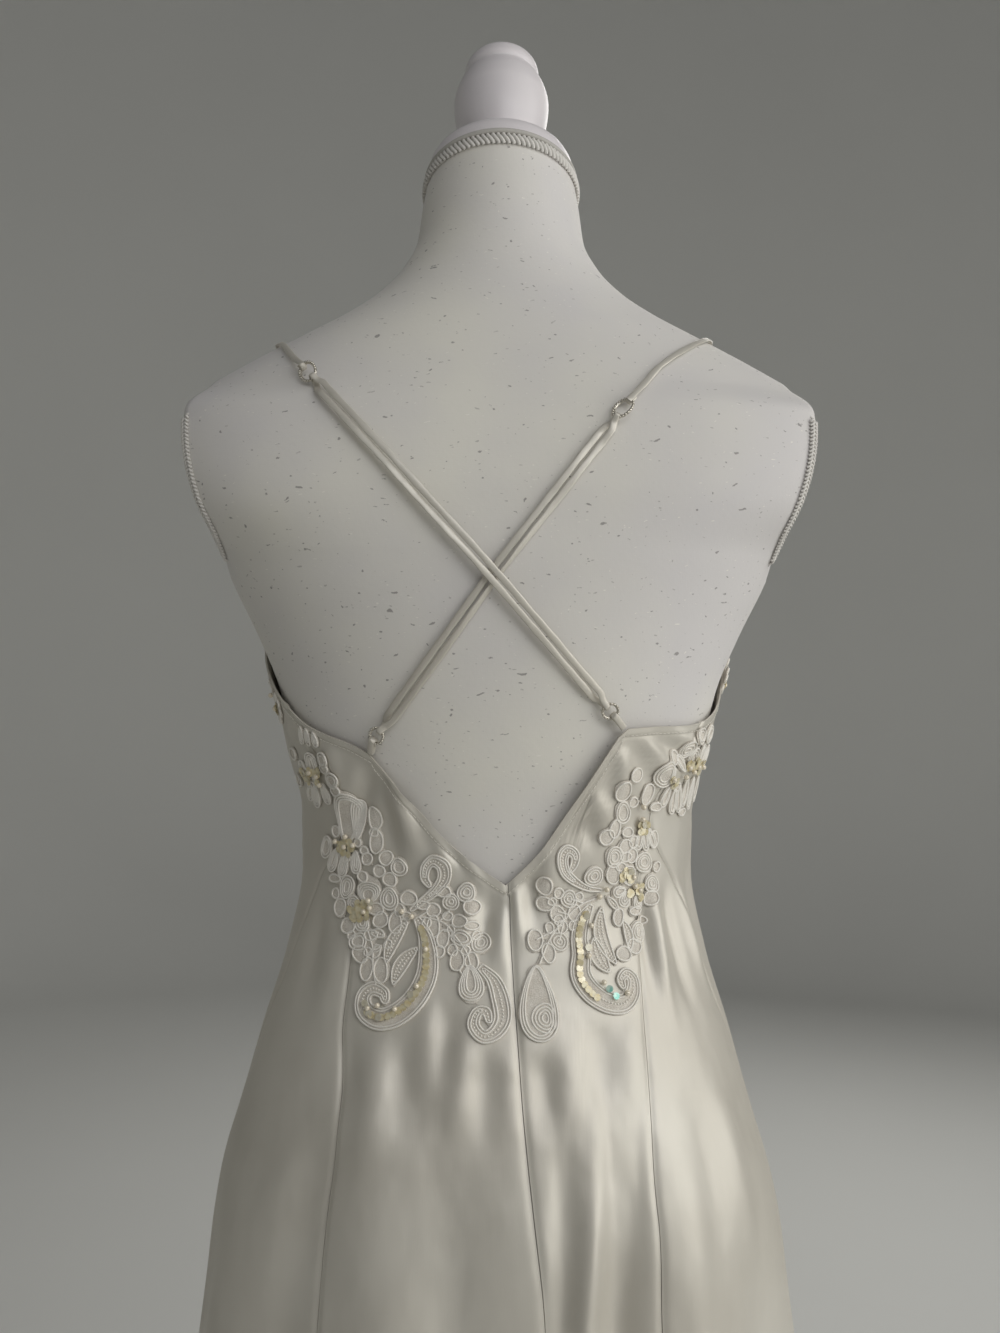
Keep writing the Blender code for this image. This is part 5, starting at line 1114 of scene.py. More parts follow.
def teardrop(foot, tip, width):
    """Outline of a petal that is narrow at its foot and round at its tip."""
    along = tip - foot
    across = np.array([-along[1], along[0]]) / np.linalg.norm(along)
    around = np.linspace(0.0, 2.0 * math.pi, 44, endpoint=False)
    reach = (1.0 - np.cos(around)) / 2.0
    aside = np.sin(around) * (0.45 + 0.55 * reach) * width / 1.62
    return foot + along * reach[:, None] + across * aside[:, None]


def draw_petal(petal):
    """Petal or arch of cord, with nested lines inside it that share its foot."""
    foot, tip = np.array([petal.girth, petal.height]), np.array([petal.to_girth, petal.to_height])
    along = (tip - foot) / np.linalg.norm(tip - foot)
    strokes = []
    for line in range(petal.lines + FILLING_LINES):
        width = petal.width - 2.0 * CORD_ROW * line
        if width < 1.2:
            break
        outline = teardrop(foot + along * 0.4 * line, tip - along * CORD_ROW * line, width)
        strokes.append(Stroke(spaced(outline, True), True, 1.0 if line == 0 else 0.72))
    half = petal.width / 2.0
    discs = [
        (*(foot + (tip - foot) * share), half * wide)
        for share, wide in ((0.12, 0.45), (0.3, 0.72), (0.48, 0.92), (0.64, 1.0), (0.8, 0.72))
    ]
    return Drawing(strokes, [disc for disc in discs if disc[2] > 0.8], [])


def bent_line(foot, tip, bend):
    """Middle line of a leaf, bowed to one side by a share of its length."""
    share = np.linspace(0.0, 1.0, 15)[:, None]
    along = tip - foot
    across = np.array([-along[1], along[0]])
    return foot + along * share + across * bend * np.sin(math.pi * share)


def draw_band(middle, half, double, knot_rows, pointed=True):
    """Band between two cords that follow a middle line, with rows of knots inside it."""
    ahead = np.gradient(middle, axis=0)
    ahead = ahead / np.linalg.norm(ahead, axis=1, keepdims=True)
    across = np.stack([-ahead[:, 1], ahead[:, 0]], axis=1)

    def outline(inset):
        width = np.maximum(half - inset, 0.05)[:, None]
        left, right = middle + across * width, middle - across * width
        if pointed:
            return np.concatenate([left, right[::-1]])
        turn = np.radians(np.arange(30.0, 180.0, 30.0))[:, None]
        cap = middle[-1] + half[-1] * (across[-1] * np.cos(turn) + ahead[-1] * np.sin(turn))
        return np.concatenate([left, cap, right[::-1]])

    strokes = [Stroke(spaced(outline(0.0), True), True, 1.0)]
    if double:
        wide = np.flatnonzero(half > CORD_ROW + 0.7)
        if len(wide) > 3:
            chosen = middle[wide[0]:wide[-1] + 1]
            width = (half[wide[0]:wide[-1] + 1] - CORD_ROW)[:, None]
            aside = across[wide[0]:wide[-1] + 1]
            strokes.append(Stroke(spaced(chosen + aside * width), False, 0.72))
            strokes.append(Stroke(spaced(chosen - aside * width), False, 0.72))
    discs = [(*place, max(width, 0.6)) for place, width in zip(middle[::2], half[::2])]
    knots = []
    for row in knot_rows:
        line = middle + across * (half * row)[:, None]
        knots.extend(spaced(line[half > 1.2], step=1.7) if np.sum(half > 1.2) > 2 else [])
    return Drawing(strokes, discs, knots)


def draw_leaf(leaf):
    foot, tip = np.array([leaf.girth, leaf.height]), np.array([leaf.to_girth, leaf.to_height])
    middle = bent_line(foot, tip, leaf.bend)
    half = leaf.width / 2.0 * np.sin(math.pi * np.linspace(0.02, 0.98, 15)) ** 0.8
    rows = (-0.3, 0.3) if leaf.width > 6.0 else (0.0,)
    return draw_band(middle, half, False, rows)


def draw_curl(stops):
    """Paisley, scroll or comma: a band that tapers and rolls up on itself."""
    line = smooth_line(stops)
    return draw_band(line[:, :2], line[:, 2], True, (0.0,), pointed=False)


def draw_stem(places):
    line = spaced(smooth_line(places))
    return Drawing([Stroke(line, False, 0.85)], [(*place, 0.9) for place in line], [])


def merged(drawings):
    strokes = [stroke for drawing in drawings for stroke in drawing.strokes]
    discs = [disc for drawing in drawings for disc in drawing.discs]
    knots = [knot for drawing in drawings for knot in drawing.knots]
    return Drawing(strokes, discs, knots)


Applique = namedtuple("Applique", "rings petals leaves curls stems pearls patches")
# The motifs of the back lace. A separate script worked out most of their places and sizes, from positions
# read by eye, and some were then moved, added or resized by hand.
LEFT = Applique(
    rings=(
        Ring(102.0, 1117.5, 4.0, 4.0), Ring(97.5, 1105.5, 4.5, 4.0),
        Ring(73.0, 1085.0, 3.5, 5.5, -8, 1), Ring(72.5, 1072.0, 3.5, 6.0, -4, 1),
        Ring(110.5, 1065.5, 4.0, 5.5, 10, 1), Ring(78.5, 1061.0, 3.0, 3.0),
        Ring(81.0, 1050.5, 3.0, 2.5), Ring(66.0, 1062.0, 3.5, 3.5),
        Ring(57.5, 1058.0, 4.0, 4.5, -25, 1), Ring(70.5, 1054.5, 3.0, 3.0),
        Ring(63.0, 1050.0, 3.5, 3.5, -20, 1), Ring(92.5, 1043.0, 4.5, 5.5, 10, 2),
        Ring(95.5, 1031.0, 3.5, 4.5), Ring(88.0, 1022.0, 4.0, 3.5),
        Ring(63.0, 1039.5, 4.5, 5.5, -5, 2), Ring(67.0, 1027.5, 4.0, 3.5),
        Ring(51.5, 1040.5, 4.0, 3.5), Ring(57.5, 1026.5, 3.0, 5.5, -5, 1),
        Ring(78.5, 1014.5, 4.5, 4.0, 15, 1), Ring(75.5, 1008.0, 4.5, 3.5, 25, 1),
        Ring(70.0, 1000.0, 3.0, 5.5, 5, 1), Ring(61.5, 1000.5, 3.5, 5.5, -12, 1),
        Ring(36.5, 1034.5, 3.5, 3.0), Ring(26.0, 1039.5, 4.0, 4.0, 0, 2),
        Ring(17.0, 1045.0, 4.5, 4.5, 0, 2), Ring(14.0, 1036.5, 3.5, 3.5),
        Ring(21.0, 1029.0, 3.5, 3.0), Ring(35.0, 1025.5, 3.0, 5.0, -15, 1),
        Ring(29.0, 1019.0, 3.0, 4.0), Ring(19.0, 1020.5, 4.5, 3.5, 0, 2),
        Ring(8.5, 1017.0, 4.5, 4.5, 0, 2), Ring(12.5, 1008.0, 3.0, 4.0),
        Ring(20.5, 1008.5, 3.0, 5.0),
        Ring(132.5, 1119.5, 3.5, 3.0), Ring(96.5, 1099.5, 3.5, 2.5),
        Ring(84.5, 1070.0, 2.0, 2.0), Ring(80.5, 1066.0, 2.5, 1.8),
        Ring(70.5, 1033.0, 4.0, 3.0), Ring(78.5, 1032.5, 4.0, 2.5),
        Ring(56.0, 1033.5, 2.5, 3.0), Ring(71.5, 1018.0, 3.5, 2.5),
        Ring(66.5, 1010.0, 2.0, 3.0), Ring(71.5, 1009.5, 2.0, 2.0),
        Ring(30.5, 1045.0, 4.0, 2.5), Ring(27.5, 1031.0, 2.5, 2.0),
        Ring(25.0, 1023.5, 2.0, 2.5), Ring(13.5, 1027.0, 3.0, 2.0),
        Ring(11.5, 1021.5, 2.0, 2.0), Ring(23.0, 1013.5, 2.5, 2.5),
        Ring(16.0, 1013.5, 2.0, 2.0), Ring(30.5, 1012.0, 2.5, 2.5),
        Ring(42.5, 1036.5, 3.5, 1.8), Ring(94.5, 1061.0, 3.5, 3.0),
        Ring(103.0, 1047.5, 4.0, 2.0), Ring(73.5, 1077.0, 2.5, 2.0),
        Ring(100.5, 1039.0, 2.5, 2.5), Ring(84.0, 1017.0, 2.0, 2.0),
        Ring(60.0, 1014.5, 2.0, 2.0), Ring(51.5, 1030.0, 2.0, 2.0),
        Ring(39.5, 1027.5, 2.0, 2.5), Ring(16.5, 1003.5, 2.0, 2.0),
        Ring(102.0, 1112.5, 3.5, 2.5), Ring(118.5, 1102.0, 3.5, 2.0),
        Ring(136.0, 1103.5, 3.5, 3.0), Ring(101.5, 1075.0, 2.5, 3.0),
    ),
    petals=(
        Petal(116.0, 1137.0, 117.0, 1126.5, 4.0, 1), Petal(111.0, 1136.0, 111.0, 1126.0, 4.0, 1),
        Petal(105.5, 1134.0, 104.5, 1125.5, 4.0, 1), Petal(114.0, 1104.0, 114.0, 1121.5, 7.5, 2),
        Petal(119.0, 1103.5, 125.0, 1116.0, 6.5, 1), Petal(118.5, 1102.5, 126.0, 1092.5, 6.5, 2),
        Petal(114.5, 1102.5, 118.5, 1088.5, 7.0, 2), Petal(109.0, 1103.0, 105.0, 1091.5, 7.0, 2),
        Petal(93.0, 1068.5, 89.5, 1098.5, 19.5, 2), Petal(85.5, 1072.0, 83.0, 1095.5, 11.0, 3),
        Petal(100.0, 1065.5, 107.0, 1051.5, 7.5, 2), Petal(93.0, 1064.5, 97.5, 1049.0, 7.0, 2),
        Petal(86.5, 1065.0, 86.0, 1052.0, 7.0, 2), Petal(77.0, 1035.0, 76.5, 1047.5, 15.5, 3),
        Petal(81.0, 1030.5, 89.5, 1037.5, 7.5, 2), Petal(78.0, 1028.0, 78.0, 1020.0, 9.0, 2),
        Petal(13.5, 1005.5, 11.5, 987.5, 13.0, 3),
    ),
    leaves=(
        Leaf(50.5, 1027.0, 59.5, 1004.5, 7.0, 0.10), Leaf(43.0, 1013.5, 53.5, 993.5, 7.5, 0.12),
        Leaf(71.5, 1019.5, 63.0, 1018.5, 4.5, -0.10), Leaf(68.0, 1010.0, 63.5, 1013.0, 3.0, 0.0),
    ),
    curls=(
        (
            Stop(49.5, 1033.5, 0.9), Stop(42.5, 1039.5, 1.8), Stop(35.0, 1046.0, 2.6),
            Stop(30.5, 1053.0, 3.5), Stop(31.0, 1059.5, 3.7), Stop(36.5, 1062.5, 3.1),
            Stop(41.0, 1059.0, 2.6), Stop(42.0, 1052.5, 2.1), Stop(39.5, 1048.5, 1.4),
        ),
        (
            Stop(45.5, 1029.5, 1.5), Stop(39.5, 1020.5, 3.6), Stop(36.5, 1009.5, 4.9),
            Stop(36.5, 998.5, 5.4), Stop(41.0, 987.0, 5.7), Stop(48.5, 979.0, 5.7),
            Stop(57.5, 975.5, 5.2), Stop(66.5, 979.0, 4.6), Stop(69.0, 986.0, 3.9),
            Stop(65.0, 990.5, 3.4), Stop(58.5, 989.0, 2.8), Stop(56.5, 985.5, 2.1),
        ),
        (
            Stop(8.0, 1005.0, 1.8), Stop(1.5, 998.5, 3.1), Stop(-2.0, 988.5, 3.9),
            Stop(-3.0, 978.5, 3.6), Stop(0.5, 971.5, 3.1), Stop(5.5, 969.5, 2.8),
            Stop(10.0, 975.0, 2.6), Stop(8.5, 981.5, 2.3), Stop(4.5, 982.0, 1.9),
            Stop(3.0, 977.5, 1.3),
        ),
    ),
    stems=(
        ((73.5, 1020.5), (68.5, 1011.0), (66.5, 1001.5), (63.0, 992.0)),
        ((68.5, 1011.0), (72.0, 1007.0)),
        ((44.0, 1030.5), (32.0, 1028.5), (24.5, 1023.5), (16.5, 1014.0), (13.0, 1005.5)),
        ((32.0, 1028.5), (26.0, 1035.5)),
        ((24.5, 1023.5), (20.5, 1012.5)),
        ((24.5, 1023.5), (29.0, 1023.0)),
        ((48.0, 1030.5), (54.5, 1028.0)),
        ((44.0, 1030.5), (38.5, 1034.0)),
    ),
    pearls=(
        Pearl(115.5, 1110.0), Pearl(111.0, 1107.5), Pearl(108.5, 1102.5), Pearl(92.5, 1073.0),
        Pearl(100.5, 1069.5), Pearl(93.5, 1067.0), Pearl(87.0, 1068.5), Pearl(75.5, 1037.0),
        Pearl(74.0, 1033.0), Pearl(77.5, 1030.5), Pearl(54.0, 1032.5), Pearl(48.0, 1030.0),
        Pearl(38.0, 1013.0), Pearl(40.5, 993.5), Pearl(50.0, 981.0), Pearl(59.5, 982.0), Pearl(64.5, 980.0),
    ),
    patches=(
        Patch(116.5, 1108.5, 9.0, 6.0, 18), Patch(93.0, 1066.5, 7.0, 4.0, 16),
        Patch(81.0, 1031.5, 7.5, 6.0, 20),
    ),
)
RIGHT = Applique(
    rings=(
        Ring(77.0, 1111.0, 3.5, 3.5), Ring(70.0, 1102.5, 3.5, 5.0, 8, 1),
        Ring(72.5, 1090.0, 4.0, 5.5, 8, 1), Ring(68.5, 1080.0, 3.0, 4.5),
        Ring(63.5, 1075.5, 3.5, 4.0), Ring(88.5, 1099.0, 3.5, 5.5, -10, 1),
        Ring(98.0, 1110.5, 6.0, 6.0, 0, 2), Ring(69.0, 1064.0, 4.5, 5.0, 10, 2),
        Ring(76.0, 1069.5, 3.5, 3.5), Ring(90.5, 1059.5, 5.0, 5.0, 0, 2),
        Ring(81.0, 1064.0, 3.0, 3.5), Ring(69.0, 1054.0, 3.5, 5.0, 10, 1),
        Ring(96.5, 1046.5, 4.0, 4.5, 0, 2), Ring(57.0, 1053.5, 4.5, 4.5, 0, 2),
        Ring(98.0, 1072.5, 3.0, 4.0), Ring(124.5, 1132.0, 4.5, 4.0),
        Ring(138.0, 1133.0, 4.5, 4.5), Ring(113.0, 1124.5, 4.5, 4.0, 0, 2),
        Ring(103.0, 1120.5, 3.0, 4.0), Ring(83.0, 1020.0, 4.5, 5.0, 0, 2),
        Ring(78.0, 1012.5, 3.5, 3.5), Ring(71.0, 1029.0, 2.5, 4.5, -20, 1),
        Ring(94.5, 1038.0, 3.5, 3.5), Ring(28.0, 1048.5, 3.5, 4.5),
        Ring(27.5, 1038.5, 4.0, 3.5), Ring(35.5, 1044.5, 2.5, 2.5),
        Ring(42.0, 1041.0, 4.0, 4.0, 0, 2), Ring(34.5, 1033.0, 3.5, 4.0),
        Ring(44.5, 1033.5, 3.0, 4.0), Ring(34.5, 1017.5, 4.0, 4.0, 0, 2),
        Ring(20.5, 1018.5, 3.5, 5.0), Ring(28.0, 1011.5, 3.0, 4.5),
        Ring(36.5, 1025.5, 2.5, 3.0), Ring(23.5, 978.5, 5.5, 6.0, 0, 3),
        Ring(97.5, 1091.5, 4.0, 2.0), Ring(82.0, 1072.0, 2.5, 3.0),
        Ring(76.5, 1063.5, 3.0, 2.5), Ring(32.0, 1040.0, 2.0, 2.0),
        Ring(35.5, 1029.0, 2.5, 2.5), Ring(29.5, 1025.0, 2.0, 2.5),
        Ring(83.0, 1031.5, 4.0, 2.0), Ring(88.5, 1025.5, 2.5, 2.0),
        Ring(71.0, 1009.5, 3.5, 3.5), Ring(100.5, 1055.5, 2.5, 2.5),
        Ring(77.5, 1078.0, 3.0, 2.5), Ring(78.5, 1095.5, 2.5, 2.5),
        Ring(112.0, 1102.5, 3.0, 2.0), Ring(125.5, 1086.0, 3.5, 1.8),
        Ring(42.5, 1026.0, 2.0, 2.0), Ring(48.0, 1042.0, 2.0, 1.8),
        Ring(73.5, 1058.0, 3.0, 2.0), Ring(88.5, 1077.5, 2.0, 1.8),
    ),
    petals=(
        Petal(126.5, 1111.5, 119.0, 1125.0, 9.0, 2), Petal(132.0, 1112.0, 131.0, 1127.0, 8.0, 2),
        Petal(138.0, 1111.5, 142.0, 1126.0, 7.5, 2), Petal(116.5, 1111.5, 106.0, 1121.5, 6.5, 1),
        Petal(121.0, 1108.0, 124.5, 1089.5, 6.5, 3), Petal(129.0, 1107.5, 133.5, 1087.0, 7.0, 3),
        Petal(136.5, 1107.5, 143.0, 1091.0, 6.5, 2), Petal(105.0, 1103.5, 102.5, 1091.0, 6.5, 2),
        Petal(110.5, 1101.5, 113.0, 1086.0, 6.5, 3), Petal(114.0, 1103.5, 120.5, 1086.5, 6.0, 2),
        Petal(87.5, 1078.5, 85.0, 1067.0, 5.5, 2), Petal(90.0, 1078.5, 91.5, 1066.0, 5.0, 2),
        Petal(93.0, 1079.0, 98.5, 1067.0, 5.0, 2), Petal(80.5, 1046.5, 77.5, 1057.5, 10.5, 2),
        Petal(77.0, 1044.5, 69.0, 1042.5, 6.5, 1), Petal(78.5, 1043.0, 74.0, 1035.0, 7.0, 2),
        Petal(85.0, 1041.5, 86.0, 1032.5, 7.5, 2), Petal(20.5, 1005.5, 20.5, 967.0, 20.0, 2),
    ),
    leaves=(
        Leaf(61.0, 1035.0, 65.0, 1004.5, 8.0, -0.14), Leaf(54.5, 1019.0, 60.5, 1000.5, 8.5, -0.10),
        Leaf(65.0, 1041.0, 71.5, 1033.0, 3.5, 0.0), Leaf(73.5, 1027.0, 74.5, 1010.5, 5.0, 0.10),
    ),
    curls=(
        (
            Stop(61.5, 1045.0, 0.8), Stop(53.0, 1046.5, 1.3), Stop(45.0, 1051.0, 2.1),
            Stop(39.0, 1057.0, 2.8), Stop(37.5, 1064.5, 3.1), Stop(40.5, 1069.0, 2.8),
            Stop(45.0, 1066.0, 2.3), Stop(44.5, 1060.5, 1.8), Stop(42.5, 1057.0, 1.2),
        ),
        (
            Stop(54.5, 1037.0, 1.5), Stop(49.0, 1028.5, 3.9), Stop(46.0, 1019.5, 4.4),
            Stop(46.0, 1010.5, 4.9), Stop(44.5, 1000.0, 5.4), Stop(49.0, 991.0, 5.7),
            Stop(57.0, 985.0, 5.4), Stop(65.5, 983.5, 4.6), Stop(72.0, 988.5, 3.9),
            Stop(73.5, 995.5, 3.1), Stop(70.0, 999.0, 2.6), Stop(66.5, 996.0, 2.1),
            Stop(67.0, 992.5, 1.5),
        ),
    ),
    stems=(
        ((59.0, 1041.0), (48.0, 1037.0), (38.0, 1029.0), (29.5, 1019.5), (22.5, 1006.5)),
        ((50.5, 1038.0), (42.5, 1041.0)),
        ((41.5, 1032.0), (35.0, 1034.0)),
        ((38.0, 1029.0), (34.5, 1018.0)),
        ((34.0, 1024.5), (21.5, 1019.0)),
    ),
    pearls=(
        Pearl(119.0, 1113.5), Pearl(128.0, 1114.0), Pearl(135.0, 1113.5), Pearl(124.5, 1111.0),
        Pearl(116.0, 1108.5), Pearl(85.5, 1092.5), Pearl(86.5, 1085.0), Pearl(81.5, 1051.5),
        Pearl(82.5, 1046.0), Pearl(86.0, 1043.5), Pearl(64.0, 1045.5), Pearl(59.5, 1041.5),
        Pearl(53.0, 1025.5), Pearl(49.5, 1009.5), Pearl(56.0, 995.0), Pearl(68.0, 988.5),
        Pearl(103.0, 1108.5),
    ),
    patches=(
        Patch(127.0, 1114.5, 10.5, 4.5, 24), Patch(104.5, 1106.5, 3.5, 3.5, 7),
        Patch(89.0, 1079.5, 4.5, 3.0, 9), Patch(78.5, 1052.0, 4.5, 4.0, 8),
        Patch(84.5, 1042.5, 6.0, 4.5, 14),
    ),
)
# The front lace is a row of scallops along each armhole edge: a flower with nested petals at each.
Scallop = namedtuple("Scallop", "angle height radius")
FRONT_LEFT_START = (Scallop(76.0, 1147.0, 10.5), Scallop(84.0, 1155.0, 11.0))
FRONT = (
    Scallop(92.0, 1163.0, 11.5), Scallop(99.0, 1172.0, 12.0), Scallop(109.0, 1186.0, 14.0),
    Scallop(119.0, 1200.0, 12.0), Scallop(128.0, 1216.0, 14.0), Scallop(136.0, 1234.0, 12.0),
    Scallop(143.0, 1250.0, 10.5), Scallop(148.5, 1265.0, 8.0),
)


def draw_applique(applique):
    drawings = [draw_ring(ring) for ring in applique.rings]
    drawings += [draw_petal(petal) for petal in applique.petals]
    drawings += [draw_leaf(leaf) for leaf in applique.leaves]
    drawings += [draw_curl(stops) for stops in applique.curls]
    drawings += [draw_stem(places) for places in applique.stems]
    return merged(drawings)


def draw_flower(girth, height, radius, petals, turn):
    """Flower: petals round a ring."""
    drawings = [draw_ring(Ring(girth, height, radius * 0.30, radius * 0.30, 0, 2))]
    for i in range(petals):
        lean = math.radians(turn + 360.0 * i / petals)
        reach = np.array([math.cos(lean), math.sin(lean)]) * (radius - NET_MARGIN - 0.6)
        drawings.append(
            draw_petal(
                Petal(girth + reach[0] * 0.28, height + reach[1] * 0.28, girth + reach[0], height + reach[1],
                      radius * 3.3 / petals, 2)
            )
        )
    return merged(drawings)


def front_places(rows):
    """Places of the front scallops in the drawing, in millimetres."""
    return [(math.radians(row.angle) * FRONT_CHART_RADIUS / MM, row.height, row.radius) for row in rows]


def draw_front(rows):
    """Front lace: a flower at every place, with seven and six petals in turn, tied by a stem."""
    places = front_places(rows)
    drawings = []
    for i, (girth, height, radius) in enumerate(places):
        petals = 7 if i % 2 == 0 else 6
        drawings.append(draw_flower(girth, height, radius, petals, 26.0 * i))
    drawings.append(draw_stem([(girth, height) for girth, height, _ in places]))
    return merged(drawings)


# ---------------------------------------------------------------- lace: on the cloth
girth_angles = np.arange(0.0, 150.0, 0.25)
girth_points = cloth_point(girth_angles, CHART_HEIGHT)
girth_lengths = np.concatenate([[0.0], np.cumsum(np.linalg.norm(np.diff(girth_points, axis=0), axis=1))])


def back_angle(girth):
    """Angle round the body at a distance from centre back along the waist, in metres."""
    return np.sign(girth) * np.interp(np.abs(girth), girth_lengths, girth_angles)


def front_angle(girth):
    return np.degrees(girth / FRONT_CHART_RADIUS)


def laid(flat, hand, to_angle, above):
    """Places of a drawing, in millimetres, laid on the cloth at a height above it."""
    flat = np.asarray(flat, float)
    return cloth_point(to_angle(flat[..., 0] * hand * MM), flat[..., 1] * MM, above)


def net_cover(discs, pitch):
    """Triangles of net over all discs, cut along their joint outline; gives places, triangles and depths."""
    discs = np.array(discs)
    low = discs[:, :2].min(axis=0) - discs[:, 2].max() - 2.0 * pitch
    high = discs[:, :2].max(axis=0) + discs[:, 2].max() + 2.0 * pitch
    counts = ((high - low) / pitch).astype(int) + 1
    lattice = np.meshgrid(*(np.arange(count) for count in counts), indexing="ij")
    grid = low + np.stack(lattice, axis=-1) * pitch
    depth = np.full(grid.shape[:2], 1e3)
    for x, y, radius in discs:
        depth = np.minimum(depth, np.hypot(grid[..., 0] - x, grid[..., 1] - y) - radius - NET_MARGIN)
    places, depths, index, triangles = [], [], {}, []

    def corner(key):
        if key not in index:
            index[key] = len(places)
            places.append(grid[key])
            depths.append(depth[key])
        return index[key]

    def cut(inner, outer):
        if (inner, outer) not in index:
            share = min(0.85, max(0.15, depth[inner] / (depth[inner] - depth[outer])))
            index[inner, outer] = len(places)
            places.append(grid[inner] + (grid[outer] - grid[inner]) * share)
            depths.append(0.0)
        return index[inner, outer]

    inside = depth < 0.0
    near = inside[:-1, :-1] | inside[1:, :-1] | inside[:-1, 1:] | inside[1:, 1:]
    for i, k in zip(*np.nonzero(near)):
        square = ((i, k), (i + 1, k), (i + 1, k + 1), (i, k + 1))
        for three in ((square[0], square[1], square[2]), (square[0], square[2], square[3])):
            kept = [bool(inside[key]) for key in three]
            if sum(kept) == 3:
                triangles.append(tuple(corner(key) for key in three))
            elif sum(kept) == 2:
                out = kept.index(False)
                first, second, outer = three[(out + 1) % 3], three[(out + 2) % 3], three[out]
                triangles.append((corner(first), corner(second), cut(second, outer)))
                triangles.append((corner(first), cut(second, outer), cut(first, outer)))
            elif sum(kept) == 1:
                keep = kept.index(True)
                inner, first, second = three[keep], three[(keep + 1) % 3], three[(keep + 2) % 3]
                triangles.append((corner(inner), cut(inner, first), cut(inner, second)))
    return np.array(places), triangles, np.array(depths)


def double_sheet(name, lower, upper, triangles, finish):
    """Closed thin sheet: the same triangles above and below, joined round every edge."""
    count = len(lower)
    edges = {}
    for a, b, c in triangles:
        for edge in ((a, b), (b, c), (c, a)):
            edges[edge] = edges.get(edge, 0) + 1
    rim = [edge for edge in edges if edge[::-1] not in edges]
    faces = [(a + count, b + count, c + count) for a, b, c in triangles]
    faces += [(a, c, b) for a, b, c in triangles]
    faces += [(a, b, b + count, a + count) for b, a in rim]
    return outwards(piece(name, np.concatenate([lower, upper]), faces, finish, 60.0))


# ---------------------------------------------------------------- what follows a path or repeats
def new_tree(name, inputs):
    """Empty geometry tree with named inputs; gives the tree and its input and output nodes."""
    tree = bpy.data.node_groups.new(name, "GeometryNodeTree")
    tree.interface.new_socket("Geometry", in_out="INPUT", socket_type="NodeSocketGeometry")
    for label, kind, value in inputs:
        socket = tree.interface.new_socket(label, in_out="INPUT", socket_type=kind)
        if value is not None:
            socket.default_value = value
    tree.interface.new_socket("Geometry", in_out="OUTPUT", socket_type="NodeSocketGeometry")
    return tree, add(tree, "NodeGroupInput"), add(tree, "NodeGroupOutput")


def grown(name, tree, points, edges, attributes, **values):
    """Runs a geometry tree on points and edges, and gives the result as a plain mesh object."""
    seed = bpy.data.meshes.new(name)
    seed.from_pydata(np.asarray(points, float).tolist(), edges, [])
    for label, kind, data in attributes:
        layer = seed.attributes.new(label, kind, "POINT")
        field = "vector" if kind == "FLOAT_VECTOR" else "value"
        layer.data.foreach_set(field, np.asarray(data, float).ravel())
    made = bpy.data.objects.new(name, seed)
    bpy.context.scene.collection.objects.link(made)
    modifier = made.modifiers.new(name, "NODES")
    modifier.node_group = tree
    sockets = {item.name: item.identifier for item in tree.interface.items_tree if item.item_type == "SOCKET"}
    for label, value in values.items():
        modifier[sockets[label]] = value
    evaluated = made.evaluated_get(bpy.context.evaluated_depsgraph_get())
    mesh = bpy.data.meshes.new_from_object(evaluated)
    made.modifiers.clear()
    made.data = mesh
    bpy.data.meshes.remove(seed)
    return made


def cord_tree():
    """Round cord along every chain of edges; stores how far along and around it each point lies."""
    tree, start, end = new_tree(
        "couched cord",
        (
            ("Radius", "NodeSocketFloat", 0.0006), ("Sides", "NodeSocketInt", 6),
            ("Finish", "NodeSocketMaterial", None),
        ),
    )
    curve = add(tree, "GeometryNodeMeshToCurve", {"Mesh": start.outputs["Geometry"]})
    share = add(tree, "GeometryNodeInputNamedAttribute", {"Name": "share"}, data_type="FLOAT")
    sized = add(
        tree, "GeometryNodeSetCurveRadius",
        {"Curve": curve.outputs["Curve"], "Radius": share.outputs["Attribute"]},
    )
    walked = add(tree, "GeometryNodeSplineParameter")
    named = add(
        tree, "GeometryNodeStoreNamedAttribute",
        {"Geometry": sized.outputs["Curve"], "Name": "along", "Value": walked.outputs["Length"]},
        data_type="FLOAT", domain="POINT",
    )
    circle = add(
        tree, "GeometryNodeCurvePrimitiveCircle",
        {"Resolution": start.outputs["Sides"], "Radius": start.outputs["Radius"]}, mode="RADIUS",
    )
    rounded = add(
        tree, "GeometryNodeStoreNamedAttribute",
        {"Geometry": circle.outputs["Curve"], "Name": "around", "Value": walked.outputs["Factor"]},
        data_type="FLOAT", domain="POINT",
    )
    tube = add(
        tree, "GeometryNodeCurveToMesh",
        {
            "Curve": named.outputs["Geometry"], "Profile Curve": rounded.outputs["Geometry"],
            "Fill Caps": True,
        },
    )
    smooth = add(tree, "GeometryNodeSetShadeSmooth", {"Geometry": tube.outputs["Mesh"], "Shade Smooth": True})
    real = add(tree, "GeometryNodeRealizeInstances", {"Geometry": smooth.outputs["Geometry"]})
    faced = add(
        tree, "GeometryNodeSetMaterial",
        {"Geometry": real.outputs["Geometry"], "Material": start.outputs["Finish"]},
    )
    tree.links.new(faced.outputs["Geometry"], end.inputs["Geometry"])
    return tree


